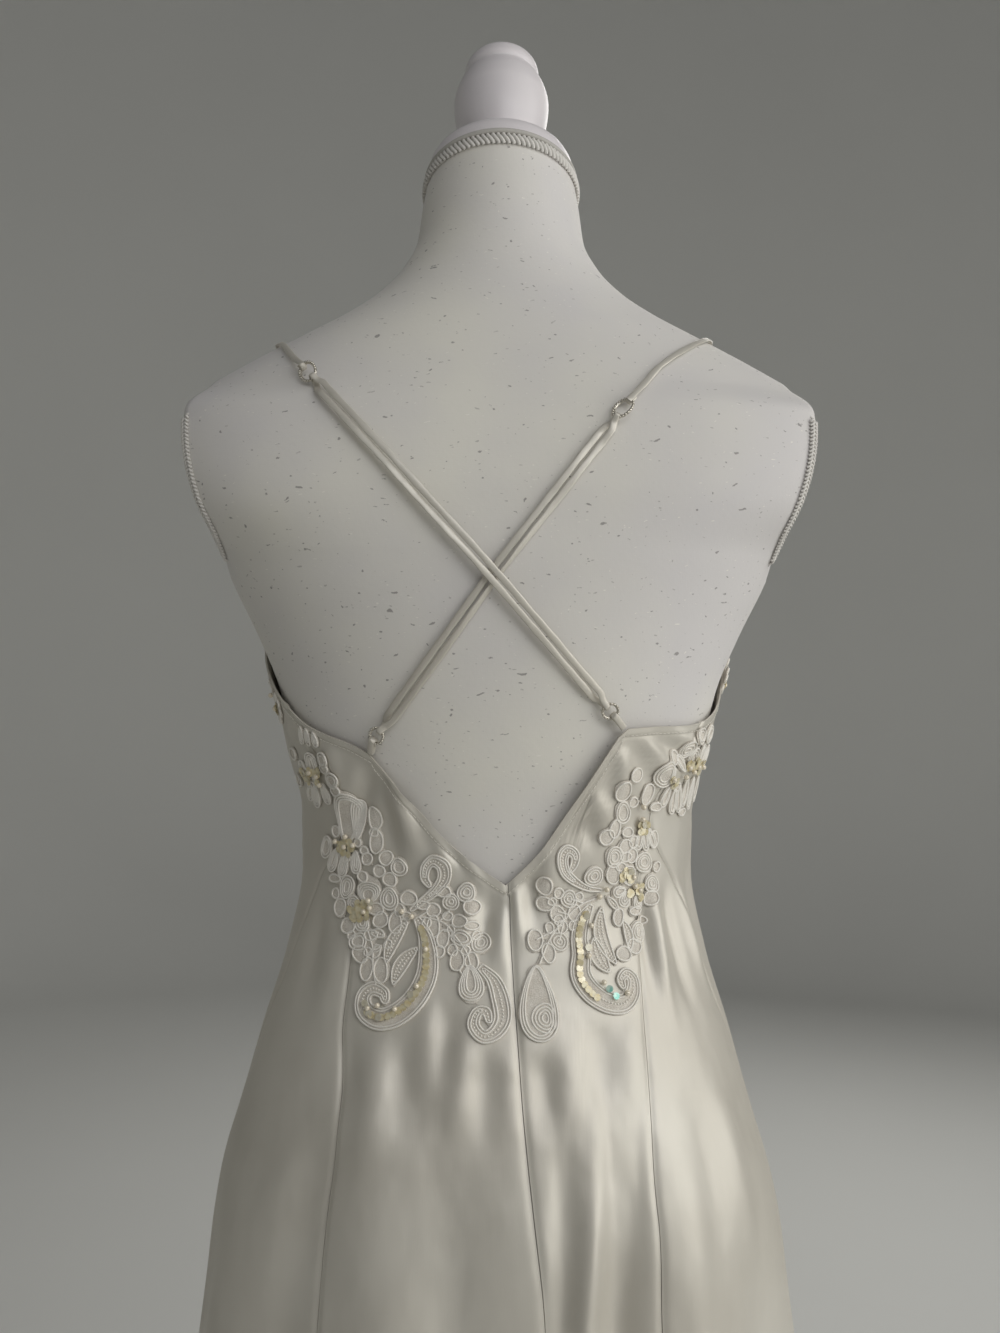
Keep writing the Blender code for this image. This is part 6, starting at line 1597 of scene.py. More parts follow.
def scatter_tree(name, shape_node, links, settings, tilt, flat_share, rounded=True):
    """Small shape set on every point, square to its 'out' vector, with a seeded random lean and turn."""
    tree, start, end = new_tree(
        name, (("Seed", "NodeSocketInt", 7), ("Finish", "NodeSocketMaterial", None))
    )
    shape = add(tree, shape_node, links, **settings)
    smooth = add(
        tree, "GeometryNodeSetShadeSmooth", {"Geometry": shape.outputs["Mesh"], "Shade Smooth": rounded}
    )
    out = add(tree, "GeometryNodeInputNamedAttribute", {"Name": "out"}, data_type="FLOAT_VECTOR")
    size = add(tree, "GeometryNodeInputNamedAttribute", {"Name": "size"}, data_type="FLOAT")
    facing = add(
        tree, "FunctionNodeAlignRotationToVector", {"Vector": out.outputs["Attribute"]}, axis="Z"
    )
    lean = add(
        tree, "FunctionNodeRandomValue",
        {"Min": (-tilt, -tilt, -math.pi), "Max": (tilt, tilt, math.pi), "Seed": start.outputs["Seed"]},
        data_type="FLOAT_VECTOR",
    )
    turned_by = add(
        tree, "FunctionNodeRotateRotation",
        {"Rotation": facing.outputs["Rotation"], "Rotate By": lean.outputs["Value"]}, rotation_space="LOCAL",
    )
    flat = add(tree, "ShaderNodeCombineXYZ", {"X": 1.0, "Y": 1.0, "Z": flat_share})
    scaled = add(
        tree, "ShaderNodeVectorMath", {0: flat.outputs["Vector"], "Scale": size.outputs["Attribute"]},
        operation="SCALE",
    )
    placed = add(
        tree, "GeometryNodeInstanceOnPoints",
        {
            "Points": start.outputs["Geometry"], "Instance": smooth.outputs["Geometry"],
            "Rotation": turned_by.outputs["Rotation"], "Scale": scaled.outputs["Vector"],
        },
    )
    real = add(tree, "GeometryNodeRealizeInstances", {"Geometry": placed.outputs["Instances"]})
    faced = add(
        tree, "GeometryNodeSetMaterial",
        {"Geometry": real.outputs["Geometry"], "Material": start.outputs["Finish"]},
    )
    tree.links.new(faced.outputs["Geometry"], end.inputs["Geometry"])
    return tree


CORD_TREE = cord_tree()
BEAD_TREE = scatter_tree(
    "set beads", "GeometryNodeMeshIcoSphere", {"Radius": 1.0, "Subdivisions": 3}, {}, 0.2, 1.0
)
KNOT_TREE = scatter_tree(
    "tied knots", "GeometryNodeMeshUVSphere", {"Segments": 8, "Rings": 5, "Radius": 1.0}, {}, 0.3, 0.75
)
RIM_TREE = scatter_tree(
    "cast beads", "GeometryNodeMeshUVSphere", {"Segments": 8, "Rings": 6, "Radius": 1.0}, {}, 0.1, 1.0
)
SEQUIN_TREE = scatter_tree(
    "sewn sequins", "GeometryNodeMeshCone",
    {"Vertices": 10, "Radius Top": 1.0, "Radius Bottom": 0.72, "Depth": 0.16}, {"fill_type": "NGON"},
    0.2, 1.0, False,
)


def corded(name, strokes, finish, radius=CORD_RADIUS, sides=6):
    """One mesh of round cord from strokes whose points are already in space."""
    points, edges, shares = [], [], []
    for stroke in strokes:
        first, count = len(points), len(stroke.points)
        points.extend(stroke.points)
        shares.extend([stroke.share] * count)
        edges.extend((first + i, first + i + 1) for i in range(count - 1))
        if stroke.closed:
            edges.append((first + count - 1, first))
    attributes = (("share", "FLOAT", shares),)
    return grown(name, CORD_TREE, points, edges, attributes, Radius=radius, Sides=sides, Finish=finish)


def scattered(name, tree, points, outs, sizes, finish, seed):
    attributes = (("out", "FLOAT_VECTOR", outs), ("size", "FLOAT", sizes))
    return grown(name, tree, points, [], attributes, Seed=seed, Finish=finish)


def set_on_lace(name, tree, flat, hand, to_angle, above, sizes, finish, seed):
    """Beads, knots or sequins set on the lace at places of the drawing."""
    flat = np.asarray(flat, float)
    angle, height = to_angle(flat[:, 0] * hand * MM), flat[:, 1] * MM
    points = cloth_point(angle, height, np.broadcast_to(above, len(flat)))
    outs = cloth_normal(angle, height)
    made = scattered(name, tree, points, outs, np.broadcast_to(sizes, len(flat)), finish, seed)
    return finished(made, "corded_lace")


def patch_places(patches, seed):
    """Uneven heap of places inside each oval patch."""
    dice = np.random.default_rng(seed)
    places, levels = [], []
    for patch in patches:
        turn = dice.uniform(0.0, 2.0 * math.pi, patch.count)
        reach = np.sqrt(dice.uniform(0.0, 1.0, patch.count))
        places.append(
            np.stack(
                [
                    patch.girth + patch.wide * reach * np.cos(turn),
                    patch.height + patch.high * reach * np.sin(turn),
                ],
                axis=1,
            )
        )
        levels.append(0.0020 + 0.0009 * (1.0 - reach))
    return np.concatenate(places), np.concatenate(levels)


def sew_lace(side, hand, place, drawing, to_angle, node):
    """Net, cords and knots of one applique, sewn flat on the satin under it."""
    flat, triangles, depths = net_cover(drawing.discs, NET_PITCH)
    angle, height = to_angle(flat[:, 0] * hand * MM), flat[:, 1] * MM
    swell = NET_SWELL * np.sqrt(np.clip(-depths / 2.5, 0.0, 1.0))
    lower = cloth_point(angle, height, np.full(len(flat), NET_LIFT))
    upper = cloth_point(angle, height, NET_LIFT + NET_THICK + swell)
    net = double_sheet(f"lace_net_{place}_{side}", lower, upper, triangles, NET)
    finished(net, "corded_lace", node)
    strokes = [
        Stroke(laid(stroke.points, hand, to_angle, CORD_LIFT), stroke.closed, stroke.share)
        for stroke in drawing.strokes
    ]
    sewn = [finished(corded(f"lace_cord_{place}_{side}", strokes, CORD), "corded_lace")]
    if drawing.knots:
        sewn.append(
            set_on_lace(
                f"lace_knots_{place}_{side}", KNOT_TREE, drawing.knots, hand, to_angle, 0.0014,
                0.00062, CORD, 11
            )
        )


def sequin_row(stops, first, last, aside, pitch):
    """Places in a row along a curl, from one share of its length to another."""
    line = smooth_line(stops)
    ahead = np.gradient(line[:, :2], axis=0)
    ahead = ahead / np.linalg.norm(ahead, axis=1, keepdims=True)
    across = np.stack([-ahead[:, 1], ahead[:, 0]], axis=1)
    count = len(line)
    used = slice(int(first * count), int(last * count))
    row = line[used, :2] + (across * line[:, 2:3] * aside)[used]
    return spaced(row, step=pitch)


SEQUIN_RADIUS = 0.0021
PEARL_RADIUS = 0.0016
PEARL_LIFT = 0.0031
SEQUIN_LIFT = 0.0024
LOOSE_SEQUIN_LIFT = 0.0029
SequinRow = namedtuple("SequinRow", "curl first last aside")
GOLD_ROWS = {"left": SequinRow(1, 0.06, 0.62, 0.12), "right": SequinRow(1, 0.06, 0.46, -0.15)}
CLEAR_SEQUINS = {
    "left": ((63.0, 977.5), (57.5, 976.0), (43.0, 989.0), (66.5, 982.5), (74.0, 1036.0)),
    "right": ((51.0, 1031.0), (88.0, 1081.5), (80.0, 1055.0), (50.0, 1014.0)),
}
BLUE_SEQUINS = ((58.5, 991.5), (61.5, 987.5))

for side, hand, applique, rows in (
    ("left", 1.0, LEFT, FRONT_LEFT_START + FRONT),
    ("right", -1.0, RIGHT, FRONT),
):
    sew_lace(side, hand, "back", draw_applique(applique), back_angle, "lace_back_" + side)
    sew_lace(side, hand, "front", draw_front(rows), front_angle, "lace_front_" + side)
    set_on_lace(
        "pearls_back_" + side, BEAD_TREE, applique.pearls, hand, back_angle, PEARL_LIFT, PEARL_RADIUS,
        PEARL, 3,
    )
    heap, lifts = patch_places(applique.patches, 5)
    row = GOLD_ROWS[side]
    line = sequin_row(applique.curls[row.curl], row.first, row.last, row.aside, 3.0)
    gold = np.concatenate([heap, line])
    lifts = np.concatenate([lifts, np.full(len(line), SEQUIN_LIFT)])
    set_on_lace(
        "gold_sequins_back_" + side, SEQUIN_TREE, gold, hand, back_angle, lifts, SEQUIN_RADIUS,
        GOLD_SEQUIN, 4,
    )
    set_on_lace(
        "clear_sequins_back_" + side, SEQUIN_TREE, CLEAR_SEQUINS[side], hand, back_angle, LOOSE_SEQUIN_LIFT,
        SEQUIN_RADIUS, CLEAR_SEQUIN, 8,
    )
    hearts = front_places(rows)
    heaps = [Patch(girth, height, radius * 0.34, radius * 0.3, 9) for girth, height, radius in hearts[::2]]
    heap, lifts = patch_places(heaps, 6)
    set_on_lace(
        "gold_sequins_front_" + side, SEQUIN_TREE, heap, hand, front_angle, lifts, SEQUIN_RADIUS,
        GOLD_SEQUIN, 9,
    )
    beads = [(girth, height) for girth, height, _ in hearts]
    set_on_lace(
        "pearls_front_" + side, BEAD_TREE, beads, hand, front_angle, PEARL_LIFT, PEARL_RADIUS, PEARL, 10
    )
set_on_lace(
    "blue_sequins_back", SEQUIN_TREE, BLUE_SEQUINS, -1.0, back_angle, LOOSE_SEQUIN_LIFT, SEQUIN_RADIUS,
    BLUE_SEQUIN, 12,
)


# ---------------------------------------------------------------- straps and rings
STRAP_WIDTH = 0.0038
STRAP_THICK = 0.0016
STRAP_PRESSED = 0.0012  # thickness where the strap is pressed flat, away from its rings
STRAP_SPACING = 0.0130
PAIR_SPREAD = 0.0024  # half the distance between the two runs of a doubled strap
RING_WIRE = 0.0009
RING_RISE = 0.0014
SLIDER_LONG, SLIDER_SHORT = 0.0068, 0.0050
RING_LONG, RING_SHORT = 0.0044, 0.0044
STRAP_LEAVES_RING = 0.007
STRAP_TAIL = 0.0045
Parting = namedtuple("Parting", "distance spread level")
PARTINGS = (Parting(0.0035, 0.30, 0.0019), Parting(0.0075, 0.95, 0.0014), Parting(0.0125, 1.00, 0.0004))
Place = namedtuple("Place", "angle height above")
SHOULDER_LEFT = (
    Place(152.0, 1.2860, 0.0030), Place(150.9, 1.3050, 0.0019), Place(147.1, 1.3250, 0.0019),
    Place(136.2, 1.3430, 0.0019), Place(123.7, 1.3560, 0.0019), Place(110.0, 1.3640, 0.0019),
    Place(88.0, 1.3690, 0.0019), Place(72.0, 1.3670, 0.0019), Place(59.1, 1.3627, 0.0019),
    Place(43.0, 1.3500, 0.0030), Place(34.5, 1.3405, 0.0036),
)
SHOULDER_RIGHT = (
    Place(-152.0, 1.2860, 0.0030), Place(-150.9, 1.3050, 0.0019), Place(-147.1, 1.3250, 0.0019),
    Place(-136.2, 1.3430, 0.0019), Place(-123.7, 1.3560, 0.0019), Place(-110.0, 1.3650, 0.0019),
    Place(-88.0, 1.3725, 0.0019), Place(-72.0, 1.3710, 0.0019), Place(-57.0, 1.3665, 0.0019),
    Place(-35.5, 1.3518, 0.0026), Place(-25.0, 1.3385, 0.0028), Place(-17.0, 1.3235, 0.0032),
)
# Where each doubled strap leaves its slider, passes the middle and reaches its lower ring. A separate script
# worked out most of these places, and some over the shoulders, from positions read by eye.
Crossing = namedtuple("Crossing", "x height above")
BACK_FROM_LEFT = (
    Crossing(0.1082, 1.3369, 0.0034), Crossing(0.0033, 1.2246, 0.0062), Crossing(-0.0621, 1.1493, 0.0032),
)
BACK_FROM_RIGHT = (
    Crossing(-0.0683, 1.3152, 0.0030), Crossing(0.0003, 1.2268, 0.0026), Crossing(0.0672, 1.1343, 0.0032),
)


def unit(vectors):
    vectors = np.asarray(vectors, float)
    return vectors / np.linalg.norm(vectors, axis=-1, keepdims=True)


def form_normal(angle, height):
    return surface_normal(form_point, np.asarray(angle, float), np.asarray(height, float))


def over_form(places):
    """Points a distance straight out from the form, and those directions, as rows of six numbers."""
    angle, height, above = np.array(places, float).T
    outs = form_normal(angle, height)
    return np.concatenate([form_point(angle, height) + outs * above[:, None], outs], axis=1)


def angle_at(x, height):
    """Angles at which the back of the form's section reaches distances from the middle."""
    low, high = np.zeros_like(x), np.full_like(x, 89.9)
    for _ in range(30):
        middle = (low + high) / 2.0
        near = form_point(middle, height)[..., 0] < np.abs(x)
        low, high = np.where(near, middle, low), np.where(near, high, middle)
    return np.copysign(low, x)


def across_back(route):
    """Places close together on a strap's way across the back, straight as seen from behind."""
    stops = np.array(route, float)
    share = np.linspace(0.0, len(stops) - 1.0, 8 * (len(stops) - 1) + 1)
    x, height, above = (np.interp(share, np.arange(len(stops)), column) for column in stops.T)
    return np.stack([angle_at(x, height), height, above], axis=1)


def evened(rows, step):
    """Rows of point and direction at even distances along a smooth curve through them."""
    return spaced(smooth_line(rows, 20), step=step)


def wrap(wire, along, out):
    """Turn of a strap round a ring's wire, from its outside to its underside."""
    lean = np.radians(np.arange(0.0, 181.0, 36.0))[:, None]
    direction = out * np.cos(lean) - along * np.sin(lean)
    reach = RING_WIRE + STRAP_THICK / 2.0 + TOUCH_GAP * 1.3
    return np.concatenate([wire + direction * reach, direction], axis=1)


def parted(wire, along, out, side, level, partings):
    """Places where one run of a doubled strap leaves a ring's wire."""
    across = unit(np.cross(along, out))
    return np.array(
        [
            np.concatenate(
                [
                    wire + along * row.distance - out * RING_RISE + across * side * PAIR_SPREAD * row.spread
                    + out * level * row.level,
                    out * level,
                ]
            )
            for row in partings
        ]
    )


RIBBON_SIDES = 12


def ribbon(name, rows, node, closed=False, twist=None):
    """Flattened rouleau of satin along rows of point and upward direction, with a soft rounded section."""
    if closed:
        count = len(rows)
        rows = smooth_line(np.concatenate([rows[-2:], rows, rows[:2]]), 5)
        rows = rows[10:10 + 5 * count]
    else:
        rows = smooth_line(rows, 5)
    points, ups = rows[:, :3], rows[:, 3:]
    ahead = np.roll(points, -1, 0) - np.roll(points, 1, 0) if closed else np.gradient(points, axis=0)
    ahead = unit(ahead)
    ups = unit(ups - ahead * np.sum(ups * ahead, axis=1, keepdims=True))
    aside = np.cross(ahead, ups)
    walked = np.concatenate([[0.0], np.cumsum(np.linalg.norm(np.diff(points, axis=0), axis=1))])
    wave = 0.05 * np.sin(walked / 0.0061) + 0.04 * np.sin(walked / 0.0023 + 1.0)
    if twist is not None:
        turn = twist(walked / walked[-1])[:, None]
        ups, aside = ups * np.cos(turn) + aside * np.sin(turn), aside * np.cos(turn) - ups * np.sin(turn)
    lean = 2.0 * math.pi * np.arange(RIBBON_SIDES) / RIBBON_SIDES
    wide = np.sign(np.cos(lean)) * np.abs(np.cos(lean)) ** 0.7 * STRAP_WIDTH / 2.0
    thick = np.sin(lean) * STRAP_PRESSED / 2.0
    rings = (
        points[:, None] + aside[:, None] * (wide * (1.0 + wave[:, None]))[..., None]
        + ups[:, None] * (thick * (1.0 - wave[:, None]))[..., None]
    )
    steps = len(rings)
    index = np.arange(steps * RIBBON_SIDES).reshape(steps, RIBBON_SIDES)
    after = np.roll(index, -1, axis=1)
    if closed:
        below, below_after = np.roll(index, -1, axis=0), np.roll(after, -1, axis=0)
        faces = np.stack([index, after, below_after, below], axis=-1).reshape(-1, 4).tolist()
    else:
        faces = np.stack([index[:-1], after[:-1], after[1:], index[1:]], axis=-1).reshape(-1, 4).tolist()
        faces += [index[0, ::-1].tolist(), index[-1].tolist()]
    made = outwards(piece(name, rings.reshape(-1, 3), faces, SATIN, 60.0))
    around = np.broadcast_to(lean * STRAP_WIDTH / math.pi, (steps, RIBBON_SIDES))
    length = np.broadcast_to(walked[:, None], (steps, RIBBON_SIDES))
    add_uv(made, np.stack([around, length], axis=-1).reshape(-1, 2))
    return finished(made, "ivory_satin", node)


def beaded_ring(name, node, centre, along, out, long_half, short_half, tilt):
    """Oval wire with a row of cast beads round its rim, tilted about its long way."""
    across = unit(np.cross(along, out))
    lean = math.radians(tilt)
    across, out = (
        across * math.cos(lean) + out * math.sin(lean), out * math.cos(lean) - across * math.sin(lean)
    )
    turn = np.linspace(0.0, 2.0 * math.pi, 200, endpoint=False)[:, None]
    oval = centre + along * long_half * np.cos(turn) + across * short_half * np.sin(turn)
    wire = spaced(oval, True, 0.0008)
    rim = corded(name + "_wire", [Stroke(wire, True, 1.0)], NICKEL, RING_WIRE * 0.9, 10)
    finished(rim, "ring_metal", node)
    beads = spaced(oval, True, 0.00165)
    away = unit(beads - centre)
    lifted = beads + (away * 0.35 + out * 0.75) * RING_WIRE
    outs = np.broadcast_to(out, beads.shape)
    sizes = np.full(len(beads), 0.00078)
    made = scattered(name + "_beads", RIM_TREE, lifted, outs, sizes, NICKEL, 2)
    return finished(made, "ring_metal")


def sew_strap(side, shoulder, back, corner, twists):
    """One strap with its slider, its lower ring and the loop that holds it."""
    line = evened(over_form(across_back(back)), STRAP_SPACING)
    points, outs = line[:, :3], unit(line[:, 3:])
    top_along, low_along = unit(points[0] - points[1]), unit(points[-2] - points[-1])
    slider_centre, ring_centre = points[0] + outs[0] * RING_RISE, points[-1] + outs[-1] * RING_RISE
    beaded_ring(
        "slider_" + side + "_oval", "slider_" + side, slider_centre, top_along, outs[0], SLIDER_LONG,
        SLIDER_SHORT, 32.0,
    )
    beaded_ring(
        "loop_" + side + "_ring", "ring_" + side, ring_centre, low_along, outs[-1], RING_LONG,
        RING_SHORT, 12.0,
    )
    low_wire = ring_centre + low_along * RING_LONG
    top_wire = slider_centre - top_along * SLIDER_LONG
    clear = PARTINGS[-1].distance + STRAP_SPACING * 0.5
    marks = np.array([low_wire, top_wire, points[0], points[-1]])
    far = np.linalg.norm(points[:, None] - marks[None], axis=-1).min(axis=1) > clear
    runs = []
    for hand in (1.0, -1.0):
        across = unit(np.cross(np.roll(points, 1, 0) - np.roll(points, -1, 0), outs))
        middle = np.concatenate([points + across * hand * PAIR_SPREAD, outs * hand], axis=1)[far]
        start = parted(top_wire, -top_along, outs[0], -hand, hand, PARTINGS)
        end = parted(low_wire, low_along, outs[-1], hand, hand, PARTINGS[::-1])
        runs.append(np.concatenate([start, middle, end]))
    low_turn = wrap(low_wire, low_along, outs[-1])
    top_turn = wrap(top_wire, -top_along, -outs[0])
    loop = np.concatenate([runs[0], low_turn, runs[1][::-1], top_turn])
    ribbon("strap_doubled_" + side, loop, "strap_back_" + side, closed=True, twist=twists)

    line = evened(over_form(shoulder), STRAP_SPACING)
    wire = slider_centre + top_along * SLIDER_LONG
    turn = wrap(wire, top_along, outs[0])
    kept = line[np.linalg.norm(line[:, :3] - wire, axis=1) > STRAP_LEAVES_RING]
    tail = np.concatenate([turn[-1, :3] + top_along * STRAP_TAIL, turn[-1, 3:]])
    ribbon("strap_single_" + side, np.concatenate([kept, turn, tail[None]]), "strap_front_" + side)

    foot = cloth_point(
        np.array([corner.angle]), np.array([corner.height + TOUCH_GAP * 2.0]), np.array([-CLOTH / 2.0])
    )[0]
    turn = wrap(ring_centre - low_along * RING_LONG, -low_along, outs[-1])
    half = outs[-1] * (STRAP_THICK / 2.0 + TOUCH_GAP / 2.0)
    ends = [
        np.concatenate([foot + half, outs[-1]])[None], turn, np.concatenate([foot - half, -outs[-1]])[None]
    ]
    ribbon("tab_loop_" + side, np.concatenate(ends), "tab_" + side)


def slack_twist(amount, middle, reach):
    """A twist that grows and dies away along a strap, as a share of its length."""

    def at(share):
        return amount * np.exp(-(((share - middle) / reach) ** 2))

    return at


sew_strap("left", SHOULDER_LEFT, BACK_FROM_LEFT, TOP_EDGE[2][0], slack_twist(0.35, 0.78, 0.10))
sew_strap("right", SHOULDER_RIGHT, BACK_FROM_RIGHT, TOP_EDGE[4][0], slack_twist(-0.9, 0.22, 0.09))


# ---------------------------------------------------------------- braids and stitches
NECK_BRAID_HALF = 0.0030
NECK_BRAID_DROP = 0.0066  # middle of the whipped braid below the top of the neck
NECK_PIPING_DROP = 0.0019
NECK_PIPING_RADIUS = 0.0017
ARM_BRAID_HALF = 0.0026
NECK_BRAID_PITCH = 0.0031
NECK_THREAD = 0.0012
ARM_BRAID_PITCH = 0.0023
ARM_THREAD = 0.00075
ARM_BRAID_LEAN = 0.10
ARM_BRAID_INSET = 0.9  # degrees from the edge of the flat end onto the back and front faces
ARM_BRAID_TOP_RISE = 0.0065
ARM_BRAID_TOP_SHARES = (0.18, 0.40, 0.60, 0.82)


def whipped(path, outs, half_width, pitch, slant, rows):
    """Slanting threads side by side across a closed path, in one row, or in two that lean together."""
    fine = 12
    both = spaced(np.concatenate([path, outs], axis=1), True, pitch / fine)
    points, ups = both[:, :3], unit(both[:, 3:])
    ahead = unit(np.roll(points, -1, 0) - np.roll(points, 1, 0))
    aside = unit(np.cross(ahead, ups))
    spans = ((-1.0, 1.0, slant),) if rows == 1 else ((-1.0, 0.1, slant), (-0.1, 1.0, -slant))
    strokes = []
    for i in range(len(points) // fine):
        for low, high, lean in spans:
            thread = []
            for t in np.linspace(0.0, 1.0, 7):
                curl = (smooth_step(t) - 0.5) * lean
                at = (i * fine + round(curl * fine / pitch)) % len(points)
                across = low + (high - low) * t
                rise = math.sin(math.pi * t) * half_width * 0.34
                thread.append(points[at] + aside[at] * half_width * across + ups[at] * rise)
            strokes.append(Stroke(np.array(thread), False, 1.0))
    return strokes


def neck_outline(drop):
    """Closed line round the neck at a distance below its top, and the directions straight out of it."""
    angle = np.arange(180.0, 540.0, 3.0)
    height = np.full(angle.shape, 1.481 - drop)
    return form_point(angle, height), form_normal(angle, height)


def arm_outline(mirror):
    """Edge of the flat end of a shoulder, and the directions out of it, as a closed line."""
    heights = levels[(levels > ARM_BOTTOM_HEIGHT + 0.004) & (levels <= ARM_TOP_HEIGHT)][::3]
    edges = []
    back_angles = flat_start(heights, False) - ARM_BRAID_INSET
    front_angles = 180.0 - flat_start(heights, True) + ARM_BRAID_INSET
    for angle in (back_angles, front_angles):
        points = form_point(angle, heights)
        points[:, 0] = np.minimum(points[:, 0], arm_plane(heights))
        edges.append((points, unit(form_normal(angle, heights) + (ARM_BRAID_LEAN, 0.0, 0.0))))
    (back, back_outs), (front, front_outs) = edges
    share = np.array(ARM_BRAID_TOP_SHARES)[:, None]
    over = back[-1] + (front[-1] - back[-1]) * share
    over[:, 2] = ARM_TOP_HEIGHT + ARM_BRAID_TOP_RISE
    over[:, 0] = arm_plane(over[:, 2])
    over_outs = np.broadcast_to(unit([1.0, 0.0, 0.3]), over.shape)
    points = np.concatenate([back, over, front[::-1]]) * (mirror, 1.0, 1.0)
    outs = np.concatenate([back_outs, over_outs, front_outs[::-1]]) * (mirror, 1.0, 1.0)
    return points, outs


neck_points, neck_outs = neck_outline(NECK_BRAID_DROP)
threads = whipped(neck_points + neck_outs * 0.0009, neck_outs, NECK_BRAID_HALF, NECK_BRAID_PITCH, 0.0034, 1)
finished(corded("neck_braid_threads", threads, BRAID, NECK_THREAD, 8), "form_braid", "form_neck_braid")
core = Stroke(spaced(neck_points, True, 0.003), True, 1.0)
finished(corded("neck_braid_core", [core], BRAID, NECK_BRAID_HALF * 0.62, 12), "form_braid")
piping_points, piping_outs = neck_outline(NECK_PIPING_DROP)
piping = spaced(piping_points + piping_outs * NECK_PIPING_RADIUS * 0.6, True, 0.003)
finished(corded("neck_piping", [Stroke(piping, True, 1.0)], PIPING, NECK_PIPING_RADIUS, 12), "form_braid")
for side, mirror in (("left", 1.0), ("right", -1.0)):
    arm_points, arm_outs = arm_outline(mirror)
    threads = whipped(arm_points + arm_outs * 0.0007, arm_outs, ARM_BRAID_HALF, ARM_BRAID_PITCH, 0.0022, 2)
    made = corded("arm_braid_threads_" + side, threads, BRAID, ARM_THREAD, 6)
    finished(made, "form_braid", "form_arm_braid_" + side)
    core = Stroke(spaced(arm_points, True, 0.003), True, 1.0)
    finished(corded("arm_braid_core_" + side, [core], BRAID, ARM_BRAID_HALF * 0.55, 10), "form_braid")


# Running stitches that hold the narrow hem along the top edge: 2.1 mm long, 0.9 mm apart.
STITCH_STEP = 0.0030
STITCH_LENGTH = 0.0021
STITCH_THREAD = 0.00016


def edge_stitches():
    angle = np.arange(-180.0, 180.0, 0.25)
    height = top_edge(angle) - (EDGE_HEM - 0.0007) / edge_slope(angle)
    line = cloth_point(angle, height, np.full(len(angle), EDGE_HEM_RISE + 0.0001))
    walked = np.concatenate([[0.0], np.cumsum(np.linalg.norm(np.diff(line, axis=0), axis=1))])
    outs = cloth_normal(angle, height)
    strokes = []
    for start in np.arange(0.001, walked[-1] - STITCH_STEP, STITCH_STEP):
        at = start + STITCH_LENGTH * np.array([0.0, 0.2, 0.5, 0.8, 1.0])
        points = np.stack([np.interp(at, walked, column) for column in line.T], axis=1)
        sunk = np.array([-0.00025, 0.0, 0.00006, 0.0, -0.00025])[:, None]
        out = np.stack([np.interp(at, walked, column) for column in outs.T], axis=1)
        strokes.append(Stroke(points + out * sunk, False, 1.0))
    return strokes


finished(corded("edge_stitches", edge_stitches(), CORD, STITCH_THREAD, 5), "ivory_satin")


# ---------------------------------------------------------------- floor, lights and camera
SWEEP_FLAT = 4.0
SWEEP_BEND = 0.9
SWEEP_TOP = 4.8
FLOOR_LEVEL = -0.0005  # just under the stand


def studio_paper():
    """Pale matt background paper, with a faint mottle over metres."""
    made, tree = new_material("pale studio paper")
    where = add(tree, "ShaderNodeTexCoord").outputs["Object"]
    tone = add(tree, "ShaderNodeTexNoise", {"Vector": where, "Scale": 1.2, "Detail": 3.0}).outputs["Fac"]
    colour = add(tree, "ShaderNodeMix", {0: tone, 6: srgb("#DADAD7"), 7: srgb("#E0E0DD")}, data_type="RGBA")
    return closed_with(made, {"Base Color": colour.outputs[2], "Roughness": 0.9})


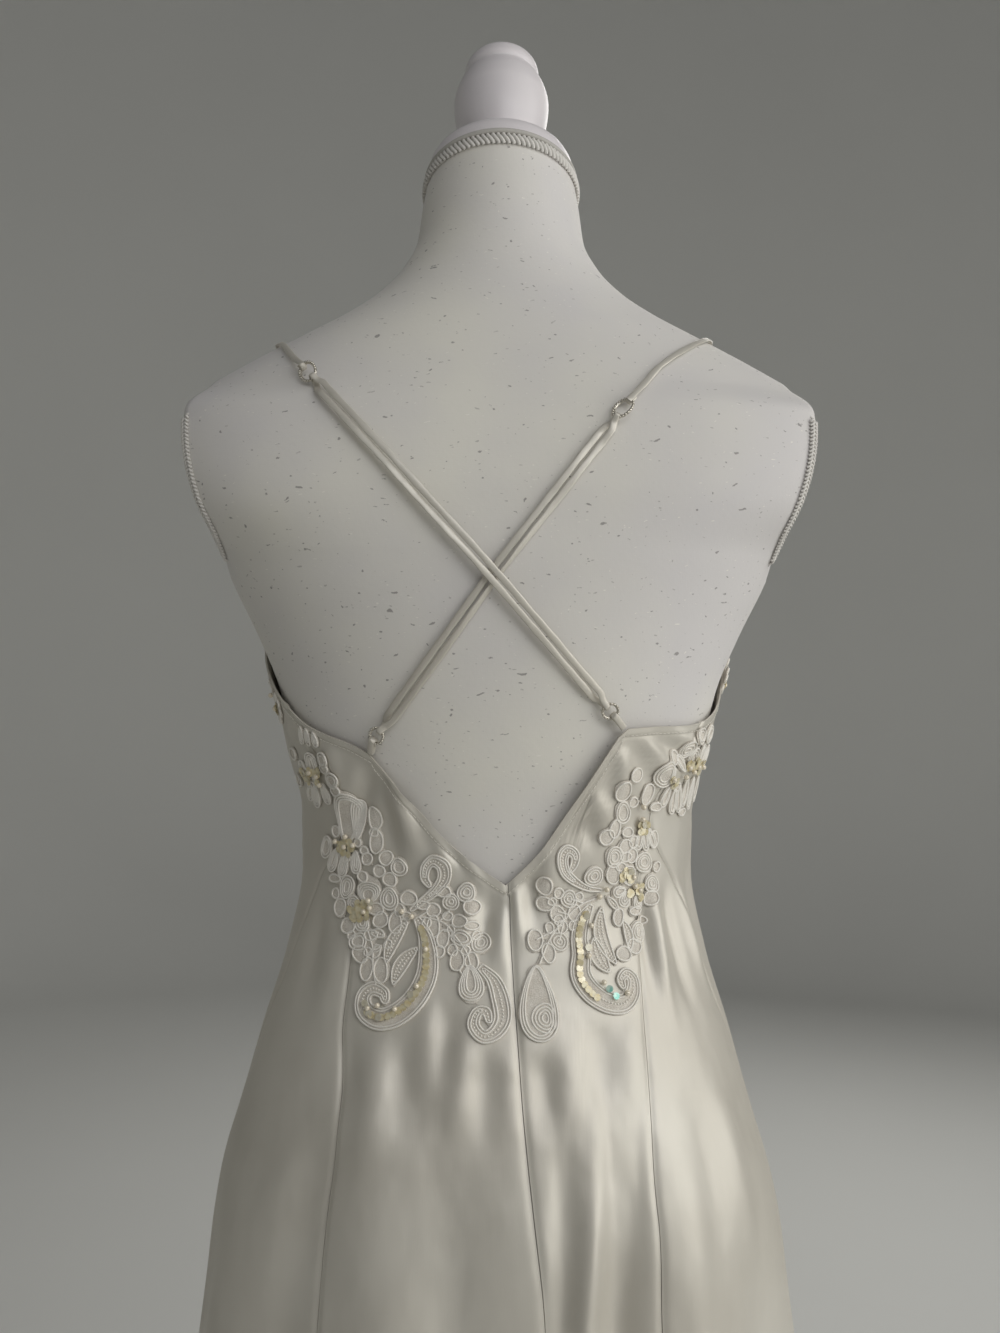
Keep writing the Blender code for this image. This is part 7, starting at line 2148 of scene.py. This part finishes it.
def stage_floor():
    """Seamless pale studio sweep all round: a floor that turns up into a wall far behind."""
    made = studio_paper()
    profile = [(0.001, FLOOR_LEVEL), (SWEEP_FLAT, FLOOR_LEVEL)]
    for i in range(1, 13):
        lean = math.radians(90.0 * i / 12)
        profile.append((SWEEP_FLAT + SWEEP_BEND * math.sin(lean), SWEEP_BEND - SWEEP_BEND * math.cos(lean)))
    profile.append((SWEEP_FLAT + SWEEP_BEND, SWEEP_TOP))
    turn = np.linspace(0.0, 2.0 * math.pi, 97)
    grid = np.array([[(r * math.cos(a), r * math.sin(a), z) for r, z in profile] for a in turn])
    columns, rows = grid.shape[:2]
    index = np.arange(columns * rows).reshape(columns, rows)
    faces = np.stack([index[:-1, :-1], index[1:, :-1], index[1:, 1:], index[:-1, 1:]], axis=-1).reshape(-1, 4)
    floor = piece("studio_sweep", grid.reshape(-1, 3), faces.tolist(), made)


def soft_light(name, place, target, size, power, code):
    """Large soft window or box light."""
    data = bpy.data.lights.new(name, "AREA")
    data.shape = "RECTANGLE"
    data.size, data.size_y = size
    data.energy = power
    data.color = srgb(code)[:3]
    made = bpy.data.objects.new(name, data)
    bpy.context.scene.collection.objects.link(made)
    made.location = place
    made.rotation_euler = (Vector(target) - Vector(place)).to_track_quat("-Z", "Y").to_euler()
    return made


stage_floor()
soft_light("window_right", (-2.4, 1.2, 1.8), (0.0, 0.0, 1.05), (3.0, 2.8), 47.0, "#FFFEFA")
soft_light("window_above_camera", (-0.9, 2.3, 2.7), (0.0, 0.0, 1.25), (1.8, 1.1), 15.0, "#FCFCFF")
soft_light("fill_front", (-0.9, -2.6, 2.3), (0.0, 0.0, 0.9), (1.8, 1.6), 24.0, "#FFFEFA")

world = bpy.data.worlds.new("studio")
bpy.context.scene.world = world
world.use_nodes = True
background = world.node_tree.nodes["Background"]
background.inputs["Color"].default_value = srgb("#DCDDDC")
background.inputs["Strength"].default_value = 0.14

FOCAL_PIXELS = 1300.0
IMAGE_HIGH = 1333.0
camera_data = bpy.data.cameras.new("camera")
camera_data.sensor_fit = "VERTICAL"
camera_data.sensor_height = 36.0
camera_data.lens = 36.0 * FOCAL_PIXELS / IMAGE_HIGH
camera_data.shift_x = 2.0 / IMAGE_HIGH
camera = bpy.data.objects.new("camera", camera_data)
bpy.context.scene.collection.objects.link(camera)
camera.location = (0.0, 0.81, 1.173)
camera.rotation_euler = (math.radians(90.0), math.radians(-0.35), math.radians(180.0))
bpy.context.scene.camera = camera
bpy.context.scene.view_settings.view_transform = "Standard"
